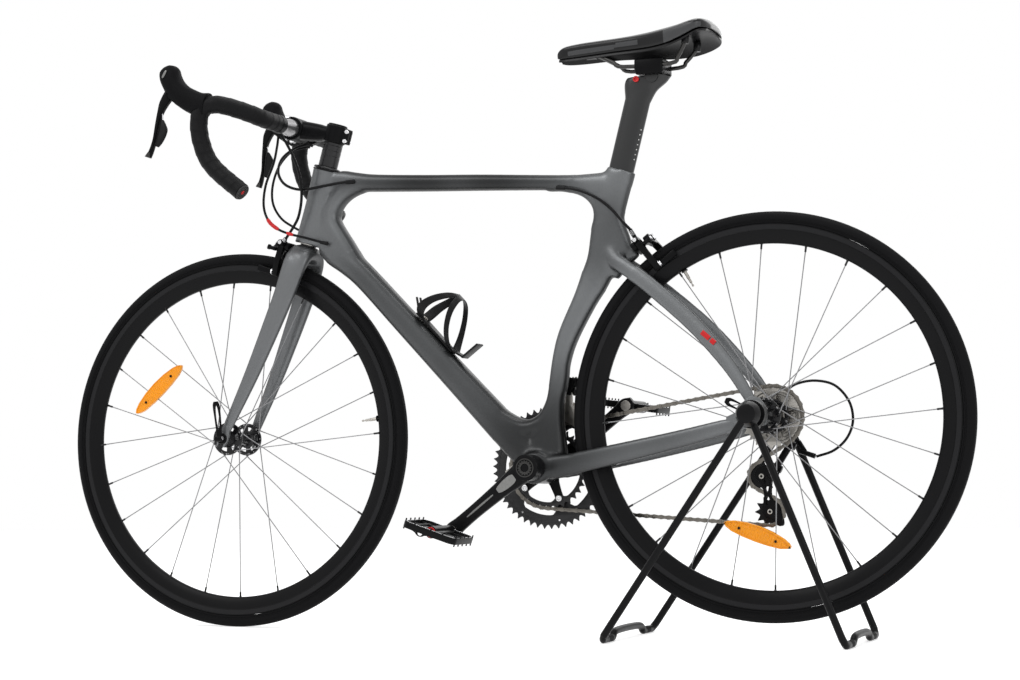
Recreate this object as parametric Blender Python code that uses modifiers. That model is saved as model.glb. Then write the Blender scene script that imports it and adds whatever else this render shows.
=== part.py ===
"""Road bike on its rear display stand, built as separate named pieces.

Lengths are metres and angles degrees unless a name says otherwise. The bike is laid out in its own
frame, wheels level: -X forward, +Y the drive side, +Z up. The empty "stance" then lifts the rear
wheel onto the stand, so that the front tyre and the stand's two bars stand on Z = 0.
"""

import math

import bmesh
import bpy
from mathutils import Matrix, Vector

# Driving dimensions
WHEELBASE = 0.980
WHEEL_RADIUS = 0.335
TYRE_WIDTH = 0.025
RIM_INNER_RADIUS = 0.282
RIM_OUTER_RADIUS = 0.3142
RIM_WIDTH = 0.0236
SPOKES_PER_SIDE = 12
SPOKE_RADIUS = 0.0011
BB_DROP = 0.071
CHAINSTAY_LENGTH = 0.4062
HEAD_ANGLE = 73.0
FORK_RAKE = 0.045
CRANK_LENGTH = 0.170
CRANK_ANGLE = 36.7
RING_TEETH = (34, 50)
COG_TEETH = (25, 23, 21, 19, 17, 15, 14, 13, 12, 11)
PULLEY_TEETH = 11
CHAIN_PITCH = 0.0127
BAR_HALF_WIDTH = 0.188
REAR_LIFT = 0.029
GAP = 0.0003
HEAD_SIDES = 12
BB_SIDES = 12
POST_SIDES = 12

# Widths between the faces that carry the hubs
FRONT_HUB_HALF = 0.050
REAR_HUB_HALF = 0.065

# Chain line
INNER_RING_Y = 0.0405
OUTER_RING_Y = 0.0475
FIRST_COG_Y = 0.0240
COG_STEP = 0.00395

# Head tube, headset and steerer, along the steering axis from the fork's offset point
HEAD_LOW = 0.3703
HEAD_HIGH = 0.5084
STEERER_RADIUS = 0.0143
BORE_RADIUS = 0.0188
BEARING_RADIUS = 0.0208
BEARING_HEIGHT = 0.0075
SPACER_RADIUS = 0.0172
STEM_HEIGHT = 0.031
STEM_LENGTH = 0.080
STEM_DROP = 5.8
SPACER_STACK = 0.0490

# Bottom bracket and cranks
BB_HALF = 0.034
BB_SHELL_RADIUS = 0.0272
BB_BORE_RADIUS = 0.0208
SPINDLE_RADIUS = 0.012
CUP_FLANGE = 0.0025
CRANK_INNER = 0.059
CRANK_OUTER = 0.073
PEDAL_AXLE_RADIUS = 0.0068
PEDAL_LENGTH = 0.098
PEDAL_WIDTH = 0.092
PEDAL_THICKNESS = 0.015

# Handlebar and controls
BAR_CLAMP_RADIUS = 0.0159
BAR_RADIUS = 0.0119
TAPE_RADIUS = 0.0158

# Seatpost and saddle
SEAT_ANGLE = 74.0
POST_DEPTH = 0.044
POST_WIDTH = 0.0235
RAIL_HALF_GAP = 0.022
RAIL_RADIUS = 0.0035
SADDLE_WIDTH = 0.143

# Stand
STAND_TUBE_RADIUS = 0.006
STAND_FRONT_HALF = 0.138
STAND_REAR_HALF = 0.122
STAND_FRONT_REACH = 0.243
STAND_REAR_REACH = 0.147

# Places that follow from the driving dimensions
FRONT_AXLE = Vector((-WHEELBASE / 2, 0, WHEEL_RADIUS))
REAR_AXLE = Vector((WHEELBASE / 2, 0, WHEEL_RADIUS))
BB = REAR_AXLE + Vector((-math.sqrt(CHAINSTAY_LENGTH**2 - BB_DROP**2), 0, -BB_DROP))
TILT = math.asin(REAR_LIFT / WHEELBASE)
STANCE = (
    Matrix.Translation(FRONT_AXLE + Vector(((1 - math.cos(TILT)) * WHEELBASE / 2, 0, 0)))
    @ Matrix.Rotation(-TILT, 4, "Y")
    @ Matrix.Translation(-FRONT_AXLE)
)
STEER_LEAN = math.radians(90 - HEAD_ANGLE)
STEER = (
    Matrix.Translation(FRONT_AXLE)
    @ Matrix.Rotation(STEER_LEAN, 4, "Y")
    @ Matrix.Translation((FORK_RAKE, 0, 0))
)
SEAT_LEAN = math.radians(90 - SEAT_ANGLE)
ALONG_Y = Matrix.Rotation(math.radians(-90), 4, "X")
DROP_ANGLE = math.radians(STEM_DROP)
STEM_FOOT = HEAD_HIGH + 0.0006 + SPACER_STACK
STEM_MIDDLE = STEM_FOOT + STEM_HEIGHT / 2
BAR_CENTRE = STEER @ Vector(
    (-STEM_LENGTH * math.cos(DROP_ANGLE), 0, STEM_MIDDLE - STEM_LENGTH * math.sin(DROP_ANGLE))
)


def material(name, colour, roughness, metallic=0.0):
    made = bpy.data.materials.new(name)
    made.use_nodes = True
    shader = made.node_tree.nodes["Principled BSDF"]
    shader.inputs["Base Color"].default_value = (*colour, 1)
    shader.inputs["Roughness"].default_value = roughness
    shader.inputs["Metallic"].default_value = metallic
    return made


def collection(name):
    made = bpy.data.collections.new(name)
    bpy.context.scene.collection.children.link(made)
    return made


# Shapes
def smooth(points, per_span=4):
    """Points along the curve that passes through the given points (centripetal, ends held)."""
    points = [Vector(p) for p in points]
    out = []
    for i in range(len(points) - 1):
        p1, p2 = points[i], points[i + 1]
        p0 = points[i - 1] if i else p1 * 2 - p2
        p3 = points[i + 2] if i + 2 < len(points) else p2 * 2 - p1
        for step in range(per_span):
            t = step / per_span
            out.append(
                (
                    p1 * 2
                    + (p2 - p0) * t
                    + (p0 * 2 - p1 * 5 + p2 * 4 - p3) * t**2
                    + (p1 * 3 - p0 - p2 * 3 + p3) * t**3
                )
                / 2
            )
    return out + [points[-1]]


def signed_power(value, power):
    return math.copysign(abs(value) ** power, value)


def oval(centre, across, up, half_across, half_up, sides=12, squareness=2.0):
    """Points of a superellipse round centre; a squareness of 2 is an ellipse."""
    power = 2 / squareness
    turns = [2 * math.pi * (i + 0.5) / sides for i in range(sides)]
    return [
        Vector(centre)
        + Vector(across) * (half_across * signed_power(math.cos(t), power))
        + Vector(up) * (half_up * signed_power(math.sin(t), power))
        for t in turns
    ]


def object_of(name, mesh, finish=None):
    made = bpy.data.objects.new(name, mesh)
    workshop.objects.link(made)
    if finish:
        mesh.materials.clear()
        mesh.materials.append(finish)
    return made


def mesh_of(name, build, finish=None):
    """An object whose mesh is what build(bm) makes, with outward faces."""
    bm = bmesh.new()
    build(bm)
    bmesh.ops.recalc_face_normals(bm, faces=bm.faces)
    mesh = bpy.data.meshes.new(name)
    bm.to_mesh(mesh)
    bm.free()
    return object_of(name, mesh, finish)


def loft(name, rings, finish=None, closed=False):
    """Skins rings of equal length; the ends are capped unless the loft closes on itself."""

    def build(bm):
        rows = [[bm.verts.new(p) for p in ring] for ring in rings]
        pairs = list(zip(rows, rows[1:]))
        if closed:
            pairs.append((rows[-1], rows[0]))
        for low, high in pairs:
            for i in range(len(low)):
                j = (i + 1) % len(low)
                bm.faces.new((low[i], low[j], high[j], high[i]))
        if not closed:
            bm.faces.new(rows[0])
            bm.faces.new(rows[-1])

    return mesh_of(name, build, finish)


def box(name, size, place=Matrix.Identity(4), bevel=0.0, finish=None):
    def build(bm):
        bmesh.ops.create_cube(bm, size=1, matrix=Matrix.Diagonal((*size, 1)))
        if bevel:
            bmesh.ops.bevel(bm, geom=bm.edges, offset=bevel, segments=1, affect="EDGES")
        bm.transform(place)

    return mesh_of(name, build, finish)


def rod(name, start, end, radius, sides=12, end_radius=None, finish=None):
    """A round rod or cone between two points."""
    start, end = Vector(start), Vector(end)
    turn = (end - start).to_track_quat("Z", "Y").to_matrix().to_4x4()

    def build(bm):
        bmesh.ops.create_cone(
            bm,
            cap_ends=True,
            segments=sides,
            radius1=radius,
            radius2=radius if end_radius is None else end_radius,
            depth=(end - start).length,
        )
        bm.transform(Matrix.Translation((start + end) / 2) @ turn)

    return mesh_of(name, build, finish)


def turned(name, profile, steps, centre=(0, 0, 0), turn=ALONG_Y, finish=None, ring=False):
    """Turns (radius, height) points about the local Z axis; a ring's profile closes on itself."""
    corners = zip(profile, profile[1:] + profile[:1])
    if sum(a[0] * b[1] - b[0] * a[1] for a, b in corners) > 0:
        profile = profile[::-1]
    mesh = bpy.data.meshes.new(name)
    edges = [(i, i + 1) for i in range(len(profile) - 1)]
    if ring:
        edges.append((len(profile) - 1, 0))
    mesh.from_pydata([(r, 0, h) for r, h in profile], edges, [])
    made = object_of(name, mesh, finish)
    made.matrix_world = Matrix.Translation(centre) @ turn
    screw = made.modifiers.new("turn", "SCREW")
    screw.steps = screw.render_steps = steps
    screw.use_merge_vertices = True
    screw.merge_threshold = 0.00001
    screw.use_smooth_shade = True
    return made


def wire(name, points, radius, finish=None, resolution=2, loop=False, radii=None):
    """A round bent tube or wire along points."""
    curve = bpy.data.curves.new(name, "CURVE")
    curve.dimensions = "3D"
    curve.bevel_depth = radius
    curve.bevel_resolution = resolution
    curve.use_fill_caps = True
    spline = curve.splines.new("POLY")
    spline.points.add(len(points) - 1)
    for i, point in enumerate(points):
        spline.points[i].co = (*point, 1)
        spline.points[i].radius = radii[i] if radii else 1
    spline.use_cyclic_u = loop
    made = bpy.data.objects.new(name, curve)
    workshop.objects.link(made)
    if finish:
        curve.materials.append(finish)
    return made


def plate(name, outlines, low, high, place=Matrix.Identity(4), finish=None):
    """A flat piece in the XZ plane between Y = low and Y = high; later outlines are its holes."""
    curve = bpy.data.curves.new(name, "CURVE")
    curve.dimensions = "2D"
    curve.fill_mode = "BOTH"
    curve.extrude = (high - low) / 2
    for outline in outlines:
        spline = curve.splines.new("POLY")
        spline.points.add(len(outline) - 1)
        for point, (x, z) in zip(spline.points, outline):
            point.co = (x, z, 0, 1)
        spline.use_cyclic_u = True
    made = bpy.data.objects.new(name, curve)
    workshop.objects.link(made)
    middle = Matrix.Translation((0, (low + high) / 2, 0))
    made.matrix_world = place @ middle @ Matrix.Rotation(math.radians(90), 4, "X")
    return as_mesh(made, finish)


def as_mesh(made, finish=None):
    """The object as one welded mesh in place of its curve or its modifiers."""
    bpy.context.view_layer.update()
    graph = bpy.context.evaluated_depsgraph_get()
    mesh = bpy.data.meshes.new_from_object(made.evaluated_get(graph))
    mesh.transform(made.matrix_world)
    bm = bmesh.new()
    bm.from_mesh(mesh)
    bmesh.ops.remove_doubles(bm, verts=bm.verts, dist=0.000002)
    bmesh.ops.recalc_face_normals(bm, faces=bm.faces)
    bm.to_mesh(mesh)
    bm.free()
    name = made.name
    bpy.data.objects.remove(made)
    solid = object_of(name, mesh, finish)
    solid.name = name
    return solid


def fused(name, pieces, finish, cuts=()):
    """One body: the union of pieces, less the cuts. The pieces are used up."""
    solids = [as_mesh(piece) for piece in pieces]
    tools = [as_mesh(cut) for cut in cuts]
    base = solids[0]
    for operation, others in (("UNION", solids[1:]), ("DIFFERENCE", tools)):
        for other in others:
            step = base.modifiers.new(operation.lower(), "BOOLEAN")
            step.operation = operation
            step.solver = "EXACT"
            step.object = other
    base.name = name + "_blank"
    made = as_mesh(base, finish)
    made.name = name
    for other in solids[1:] + tools:
        bpy.data.objects.remove(other)
    return made


def seat(made, pivot, parent=None):
    """Puts a finished piece in the bike, with its origin on the pivot that it moves about."""
    if made.type == "MESH" and not made.modifiers:
        made.data.transform(made.matrix_world)
        made.matrix_world = Matrix.Identity(4)
        made.data.shade_smooth()
        made.data.set_sharp_from_angle(angle=math.radians(35))
    if not made.modifiers:
        made.data.transform(Matrix.Translation(-Vector(pivot)))
        made.location = pivot
    made.parent = parent or stance
    workshop.objects.unlink(made)
    bicycle.objects.link(made)
    return made


def mm(points):
    """Points given in millimetres."""
    return [Vector(p) / 1000 for p in points]


def tube(name, rows, sides=12, squareness=2.4, place=Matrix.Identity(4), depth=None):
    """Lofts a tube through rows of x, y, z, half depth and half width, all in millimetres.

    The depth lies in the side view, or else along the given axis.
    """
    centres = mm([row[:3] for row in rows])
    rings = []
    for i, row in enumerate(rows):
        along = (centres[min(i + 1, len(rows) - 1)] - centres[max(i - 1, 0)]).normalized()
        if depth:
            up = (Vector(depth) - along * along.dot(Vector(depth))).normalized()
            across = along.cross(up)
        else:
            across = (Vector((0, 1, 0)) - along * along.y).normalized()
            up = along.cross(across)
        ring = oval(centres[i], across, up, row[4] / 1000, row[3] / 1000, sides, squareness)
        rings.append([place @ p for p in ring])
    return loft(name, rings)


def arc(centre, radius, start, end, steps):
    """Points (x, z) along an arc, angles in degrees from +X towards +Z."""
    turns = [math.radians(start + (end - start) * i / steps) for i in range(steps + 1)]
    return [(centre[0] + radius * math.cos(t), centre[1] + radius * math.sin(t)) for t in turns]


def circle(centre, radius, steps):
    return arc(centre, radius, 0, 360 - 360 / steps, steps - 1)


def toothed(centre, teeth, root, tip, phase=0.0):
    """An outline with pointed teeth: one point at the root and one at the tip for each tooth."""
    out = []
    for i in range(teeth):
        for share, radius in ((0.0, tip), (0.5, root)):
            turn = 2 * math.pi * (i + share) / teeth + phase
            out.append((centre[0] + radius * math.cos(turn), centre[1] + radius * math.sin(turn)))
    return out


def pitch_radius(teeth):
    return CHAIN_PITCH / (2 * math.sin(math.pi / teeth))


# Frame
DROPOUT_INNER = REAR_HUB_HALF + GAP
DROPOUT_THICKNESS = 0.006
DROPOUT_OUTER = DROPOUT_INNER + DROPOUT_THICKNESS
SLOT_HALF = 0.0049
HANGER = Vector((0.499, 0, 0.306))
POST_TOP = Vector((0.2535, 0, 0.761))
POST_BORE_DEPTH = 0.122
BRIDGE = Vector((0.276, 0, 0.621))
RADIAL = (BRIDGE - REAR_AXLE).normalized()
TANGENT = Vector((RADIAL.z, 0, -RADIAL.x))
BRAKE_BOLT_RADIUS = 0.003

TOP_TUBE = [
    (-316, 0, 787, 17, 15),
    (-266, 0, 783, 20.5, 17.5),
    (-240, 0, 781, 17.2, 18),
    (-200, 0, 776, 15.2, 18),
    (-100, 0, 767.5, 14.4, 17.5),
    (0, 0, 760, 14, 17),
    (100, 0, 751.5, 13.1, 16.5),
    (160, 0, 746, 13.4, 16),
    (190, 0, 741, 18, 16),
    (218, 0, 736, 23, 15.5),
    (240, 0, 734, 20, 15),
]
DOWN_TUBE = [
    (-316, 0, 709, 29, 16),
    (-298, 0, 684, 30, 19),
    (-282, 0, 660, 27, 21),
    (-257, 0, 638, 23.5, 22.5),
    (-223, 0, 606, 21.5, 22.5),
    (-150, 0, 526, 22.5, 22.5),
    (-50, 0, 417, 24.5, 22.5),
    (46, 0, 312, 27, 23),
    (76, 0, 279, 25, 24),
]
SEAT_TUBE = [
    (253.5, 0, 761, 25.2, 17.5),
    (237, 0, 713, 26.3, 17),
    (222, 0, 660, 25.8, 17),
    (213, 0, 614, 25, 17),
    (202.5, 0, 583, 26.5, 17),
    (181, 0, 544, 21, 17),
    (150.5, 0, 488, 18.2, 17),
    (136, 0, 446, 16, 17),
    (124, 0, 385, 14.5, 18),
    (112, 0, 330, 22, 20),
    (101, 0, 290, 25, 22),
    (96, 0, 274, 20, 22),
]
CHAINSTAY = [
    (88, 17, 262, 19, 11),
    (122, 23.5, 265, 20, 10),
    (165, 29, 270, 18.5, 8.5),
    (250, 43, 283.5, 17, 8),
    (350, 56, 301, 15, 7.5),
    (430, 66.5, 317, 13, 6),
    (456, 68.3, 323, 10, 2.6),
]
SEATSTAY = [
    (222, 12, 620, 15, 6),
    (255, 22.8, 597, 15, 7),
    (300, 29.5, 563, 14.5, 7),
    (380, 41, 490, 14, 6.5),
    (440, 55, 420, 12, 6),
    (474, 66.5, 368, 10, 4.5),
    (482, 68.3, 352, 8, 2.6),
]
DROPOUT = [
    (438, 307),
    (470, 315),
    (485.1, 317),
    (485.1, 335),
    (486.4, 338.7),
    (490, 340.1),
    (493.6, 338.7),
    (494.9, 335),
    (494.9, 317),
    (503, 319),
    (506, 335),
    (503, 350),
    (494, 362),
    (480, 367),
    (468, 358),
    (460, 343),
    (438, 334),
]


HANGER_OUTLINE = [
    (495.8, 323.5),
    (490.5, 306),
    (495, 298.5),
    (503, 298.5),
    (507.5, 306),
    (504.5, 323.5),
]
HEAD_ROWS = [
    (HEAD_LOW, 25.5, 24.8),
    (0.386, 24.5, 23.6),
    (0.44, 23.6, 22),
    (0.494, 24, 23),
    (HEAD_HIGH, 24.6, 24.4),
]


def dropout(side):
    outline = mm(DROPOUT)
    low, high = sorted((side * DROPOUT_INNER, side * DROPOUT_OUTER))
    cut = plate("dropout", [[(p.x, p.y) for p in outline]], low, high)
    if side < 0:
        return [cut]
    reach = [(p.x, p.y) for p in mm(HANGER_OUTLINE)]
    hanger = plate("hanger", [reach, circle((HANGER.x, HANGER.z), 0.0035, 8)], low + 0.0008, high)
    return [cut, hanger]


def post_section(point, half_depth, half_width, sides=POST_SIDES):
    """The seatpost's teardrop section, blunt at the front, square to its lean."""
    along = Vector((math.sin(SEAT_LEAN), 0, math.cos(SEAT_LEAN)))
    back = Vector((along.z, 0, -along.x))
    return oval(point, Vector((0, 1, 0)), back, half_width, half_depth, sides, 2.3)


def post_at(distance):
    """A point of the seatpost's axis, measured up from the frame's collar."""
    return POST_TOP + Vector((math.sin(SEAT_LEAN), 0, math.cos(SEAT_LEAN))) * distance


def upright_rod(name, low, high, radius):
    """A round rod along the steering axis between two heights."""
    return rod(name, STEER @ Vector((0, 0, low)), STEER @ Vector((0, 0, high)), radius, HEAD_SIDES)


def make_frame():
    across = STEER.to_3x3() @ Vector((1, 0, 0))
    head = loft(
        "head",
        [
            oval(STEER @ Vector((0, 0, h)), Vector((0, 1, 0)), across, w / 1000, d / 1000, 12)
            for h, d, w in HEAD_ROWS
        ],
    )
    pieces = [
        head,
        tube("top_tube", TOP_TUBE, sides=10, squareness=2.7),
        tube("down_tube", DOWN_TUBE, sides=10, squareness=3.0),
        tube("seat_tube", SEAT_TUBE, sides=10, squareness=2.4),
        rod("shell", BB - Vector((0, BB_HALF, 0)), BB + Vector((0, BB_HALF, 0)), BB_SHELL_RADIUS, 16),
        rod("bridge", BRIDGE - TANGENT * 0.062, BRIDGE, 0.0105, 8),
    ]
    for side in (-1, 1):
        for row in (CHAINSTAY, SEATSTAY):
            pieces.append(
                tube("stay", [(x, y * side, z, d, w) for x, y, z, d, w in row], sides=8, squareness=2.5)
            )
        pieces += dropout(side)
    cuts = [
        upright_rod("bore", 0.36, 0.52, BORE_RADIUS),
        upright_rod("low_cup", 0.36, HEAD_LOW + BEARING_HEIGHT, BEARING_RADIUS),
        upright_rod("high_cup", HEAD_HIGH - BEARING_HEIGHT, 0.52, BEARING_RADIUS),
        upright_rod("top_face", HEAD_HIGH, HEAD_HIGH + 0.03, 0.0275),
        rod("shell_bore", BB - Vector((0, 0.05, 0)), BB + Vector((0, 0.05, 0)), BB_BORE_RADIUS, BB_SIDES),
        rod("bolt_bore", BRIDGE - TANGENT * 0.022, BRIDGE + TANGENT * 0.02, BRAKE_BOLT_RADIUS + GAP, 8),
        loft(
            "post_bore",
            [
                post_section(post_at(s), POST_DEPTH / 2 + GAP, POST_WIDTH / 2 + GAP)
                for s in (-POST_BORE_DEPTH, 0.03)
            ],
        ),
    ]
    for s in CAGE_BOLTS:
        at = CAGE_FOOT + CAGE_ALONG * s
        cuts.append(rod("boss_bore", at + CAGE_OUT * 0.015, at + CAGE_OUT * 0.035, 0.0034, 6))
    return fused("frame", pieces, GRAPHITE, cuts)


def make_bottom_bracket():
    inner = (SPINDLE_RADIUS + GAP) / math.cos(math.pi / BB_SIDES)
    sleeve = BB_BORE_RADIUS - GAP
    flange = BB_HALF + GAP
    lip = flange + CUP_FLANGE
    profile = [
        (inner, -lip),
        (BB_SHELL_RADIUS - 0.004, -lip),
        (BB_SHELL_RADIUS - 0.003, -flange),
        (sleeve, -flange),
        (sleeve, flange),
        (BB_SHELL_RADIUS - 0.003, flange),
        (BB_SHELL_RADIUS - 0.004, lip),
        (inner, lip),
    ]
    return turned("bottom_bracket", profile, BB_SIDES, BB, ring=True, finish=BLACK_METAL)


def make_headset_bearing():
    low = HEAD_LOW + GAP
    inner = (STEERER_RADIUS + GAP) / math.cos(math.pi / HEAD_SIDES)
    outer = BEARING_RADIUS - GAP * 1.5
    high = low + BEARING_HEIGHT - GAP * 2
    profile = [(inner, low), (outer, low), (outer, high), (inner, high)]
    return turned("headset_lower_bearing", profile, HEAD_SIDES, turn=STEER, ring=True, finish=STEEL)


def make_headset_spacers():
    """The upper bearing, its cover and the spacers under the stem, clamped up as one stack."""
    inner = STEERER_RADIUS + GAP
    outer = BEARING_RADIUS * math.cos(math.pi / HEAD_SIDES) - GAP
    top = HEAD_HIGH + 0.0006
    profile = [
        (inner, HEAD_HIGH - BEARING_HEIGHT + GAP),
        (outer, HEAD_HIGH - BEARING_HEIGHT + GAP),
        (outer, top),
        (0.0242, top),
        (0.0236, top + 0.0042),
        (SPACER_RADIUS, top + 0.0052),
        (SPACER_RADIUS, STEM_FOOT - GAP),
        (inner, STEM_FOOT - GAP),
    ]
    return turned("headset_spacers", profile, HEAD_SIDES, turn=STEER, ring=True, finish=CARBON)


# Fork: rows of x forward of the steering axis, y, height, half depth and half thickness
FORK_TIP = 0.006
BLADE = [
    (-43.8, 53.3, 12, 9, 2.7),
    (-38, 51, 42, 10.5, 5),
    (-24, 47, 120, 14, 6.5),
    (-14, 43, 190, 17, 7.5),
    (-4, 38.5, 270, 20, 8.8),
    (-1, 35, 315, 22, 10),
    (0, 29, 341, 23.2, 12),
    (0, 16.5, 352.6, 23.6, 14.4),
    (0, 0, 355, 23.8, 14.2),
]
FORK_TAB = [
    (-52.5, -14),
    (-49.9, -14),
    (-49.9, 0),
    (-48.6, 3.7),
    (-45, 5.1),
    (-41.4, 3.7),
    (-40.1, 0),
    (-40.1, -14),
    (-37.5, -14),
    (-33, 0),
    (-34.5, 16),
    (-39, 25),
    (-47, 25),
    (-53, 14),
    (-56.5, 0),
]
FORK_INNER = FRONT_HUB_HALF + GAP
FORK_OUTER = FORK_INNER + FORK_TIP
CROWN_FACE = -0.0238


def make_fork():
    rows = [(x, -y, z, d, w) for x, y, z, d, w in BLADE] + BLADE[-2::-1]
    outline = [(p.x, p.y) for p in mm(FORK_TAB)]
    pieces = [
        tube("blades", rows, sides=10, place=STEER, depth=(1, 0, 0)),
        upright_rod("steerer", 0.355, STEM_FOOT + STEM_HEIGHT - 0.003, STEERER_RADIUS),
        plate("left_tab", [outline], -FORK_OUTER, -FORK_INNER, STEER),
        plate("right_tab", [outline], FORK_INNER, FORK_OUTER, STEER),
    ]
    low = FRONT_BOLT - FRONT_TANGENT * 0.022
    high = FRONT_BOLT + FRONT_TANGENT * 0.02
    cuts = [rod("bolt_bore", low, high, BRAKE_BOLT_RADIUS + GAP, 8)]
    return fused("fork", pieces, FORK_GREY, cuts)


FRONT_BOLT = STEER @ Vector((CROWN_FACE, 0, 0.3555))
FRONT_RADIAL = (FRONT_BOLT - FRONT_AXLE).normalized()
FRONT_TANGENT = Vector((-FRONT_RADIAL.z, 0, FRONT_RADIAL.x))


# Wheels: profiles are radius and half width pairs, mirrored to the other side
WHEEL_STEPS = 36
WHEEL_TURN = Matrix.Rotation(TILT, 4, "Y") @ ALONG_Y
SPOKE_END = RIM_INNER_RADIUS * math.cos(math.pi / WHEEL_STEPS) - GAP * 2
FLANGE_RADIUS = 0.029
SPOKE_HOLES = 0.0265
LACING = math.radians(55)
AXLE_RADIUS = 0.0045
SKEWER_RADIUS = 0.0025
SKEWER_BORE = SKEWER_RADIUS + GAP
FRONT_FLANGES = (-0.035, 0.035)
REAR_FLANGES = (-0.035, 0.019)


def both_sides(half):
    """A ring profile from points of its far half: (radius, height), top to bottom."""
    return half + [(r, -h) for r, h in reversed(half)]


def make_tyre(name, centre):
    half = TYRE_WIDTH / 2
    bed = RIM_OUTER_RADIUS + GAP
    profile = both_sides(
        [
            (bed, half - 0.0013),
            (bed + 0.0065, half),
            (WHEEL_RADIUS - 0.0055, half * 0.8),
            (WHEEL_RADIUS, half * 0.22),
        ]
    )
    return turned(name, profile, WHEEL_STEPS, centre, WHEEL_TURN, RUBBER, ring=True)


def make_rim(name, centre, valve_angle):
    half = RIM_WIDTH / 2
    profile = both_sides(
        [
            (RIM_INNER_RADIUS, 0.0045),
            (RIM_OUTER_RADIUS - 0.0104, half),
            (RIM_OUTER_RADIUS, half - 0.0005),
        ]
    )
    ring = turned(name, profile, WHEEL_STEPS, centre, WHEEL_TURN, ring=True)
    turn = math.radians(valve_angle)
    out = Vector((math.cos(turn), 0, math.sin(turn)))
    valve = rod("valve", centre + out * 0.250, centre + out * 0.290, 0.0029, 6)
    return fused(name, [ring, valve], RIM_BLACK)


def spokes(name, centre, flanges, first_angle):
    """Every spoke of one wheel as one object of separate rods, leading and trailing in turn."""

    def build(bm):
        for side, flange in enumerate(flanges):
            for i in range(SPOKES_PER_SIDE):
                turn = math.radians(first_angle) + 2 * math.pi * (i + side / 2) / SPOKES_PER_SIDE
                lead = 1 if i % 2 else -1
                hub = turn + lead * LACING
                start = Vector((math.cos(hub) * SPOKE_HOLES, flange + lead * 0.0016, math.sin(hub) * SPOKE_HOLES))
                tip = (0.0025 if flange > 0 else -0.0025) + lead * 0.0016
                end = Vector((math.cos(turn) * SPOKE_END, tip, math.sin(turn) * SPOKE_END))
                made = bmesh.ops.create_cone(
                    bm,
                    cap_ends=True,
                    segments=3,
                    radius1=SPOKE_RADIUS,
                    radius2=SPOKE_RADIUS,
                    depth=(end - start).length,
                )
                aim = (end - start).to_track_quat("Z", "Y").to_matrix().to_4x4()
                place = Matrix.Translation(centre + (start + end) / 2) @ aim
                bmesh.ops.transform(bm, matrix=place, verts=made["verts"])

    return mesh_of(name, build)


def reflector(name, centre, place, ends):
    """The lens-shaped reflector that clips onto the spokes, between two points of the side view."""
    start, end = (Vector(p) for p in ends)
    along = (end - start).normalized()
    across = Vector((-along.y, along.x))
    outline = []
    for share, half in ((0, 2), (0.12, 9), (0.5, 15), (0.88, 9), (1, 2)):
        outline.append(start.lerp(end, share) + across * half)
    for share, half in ((1, 2), (0.88, 9), (0.5, 12), (0.12, 9), (0, 2)):
        outline.append(start.lerp(end, share) - across * half)
    return plate(name, [[(p.x / 1000, p.y / 1000) for p in outline]], place - 0.004, place + 0.004)


def make_front_hub():
    half = FRONT_HUB_HALF
    profile = both_sides(
        [
            (SKEWER_BORE, half + 0.0045),
            (AXLE_RADIUS, half + 0.0045),
            (AXLE_RADIUS, half),
            (0.0095, half),
            (0.014, 0.0368),
            (FLANGE_RADIUS, 0.0366),
            (FLANGE_RADIUS, 0.0334),
            (0.0105, 0.0290),
        ]
    )
    body = turned("body", profile, 10, FRONT_AXLE, WHEEL_TURN, ring=True)
    wires = spokes("spokes", FRONT_AXLE, FRONT_FLANGES, FRONT_SPOKE_ANGLE)
    clip = reflector("reflector", FRONT_AXLE, -0.0145, ((-689, 391), (-595, 472)))
    return fused("front_hub", [body, wires, clip], HUB_BLACK)


def make_rear_hub():
    half = REAR_HUB_HALF
    profile = [
        (SKEWER_BORE, half + 0.0045),
        (AXLE_RADIUS, half + 0.0045),
        (AXLE_RADIUS, half),
        (CASSETTE_BORE - GAP, half),
        (CASSETTE_BORE - GAP, 0.0222),
        (0.0155, 0.0216),
        (FLANGE_RADIUS, 0.0206),
        (FLANGE_RADIUS, 0.0174),
        (0.0112, 0.012),
        (0.0112, -0.029),
        (FLANGE_RADIUS, -0.0334),
        (FLANGE_RADIUS, -0.0366),
        (0.014, -0.0368),
        (0.0095, -half),
        (AXLE_RADIUS, -half),
        (AXLE_RADIUS, -half - 0.0045),
        (SKEWER_BORE, -half - 0.0045),
    ]
    body = turned("body", profile, 10, REAR_AXLE, WHEEL_TURN, ring=True)
    wires = spokes("spokes", REAR_AXLE, REAR_FLANGES, REAR_SPOKE_ANGLE)
    clip = reflector("reflector", REAR_AXLE, -0.0135, ((414, 164), (521, 123)))
    return fused("rear_hub", [body, wires, clip], HUB_BLACK)


FRONT_SPOKE_ANGLE = 0.0
REAR_SPOKE_ANGLE = 0.0
VALVE_FRONT = 5.2
VALVE_REAR = 118.3
CASSETTE_BORE = 0.0085


def make_skewer(name, axle, outer):
    """The rod through the hollow axle, with the cam's cap on the left and the nut on the right."""
    face = outer + GAP
    profile = [
        (0, face + 0.0115),
        (0.0072, face + 0.0105),
        (0.0095, face + 0.004),
        (0.0095, face),
        (SKEWER_RADIUS, face),
        (SKEWER_RADIUS, -face),
        (0.0095, -face),
        (0.0085, -face - 0.0042),
        (0, -face - 0.0045),
    ]
    return turned(name, profile, 12, axle, finish=BLACK_METAL)


LEVER_ROOT = 0.0055


def lever_pivot(axle, outer):
    return axle - Vector((0, outer + GAP * 2 + 0.0045 + LEVER_ROOT, 0))


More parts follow.
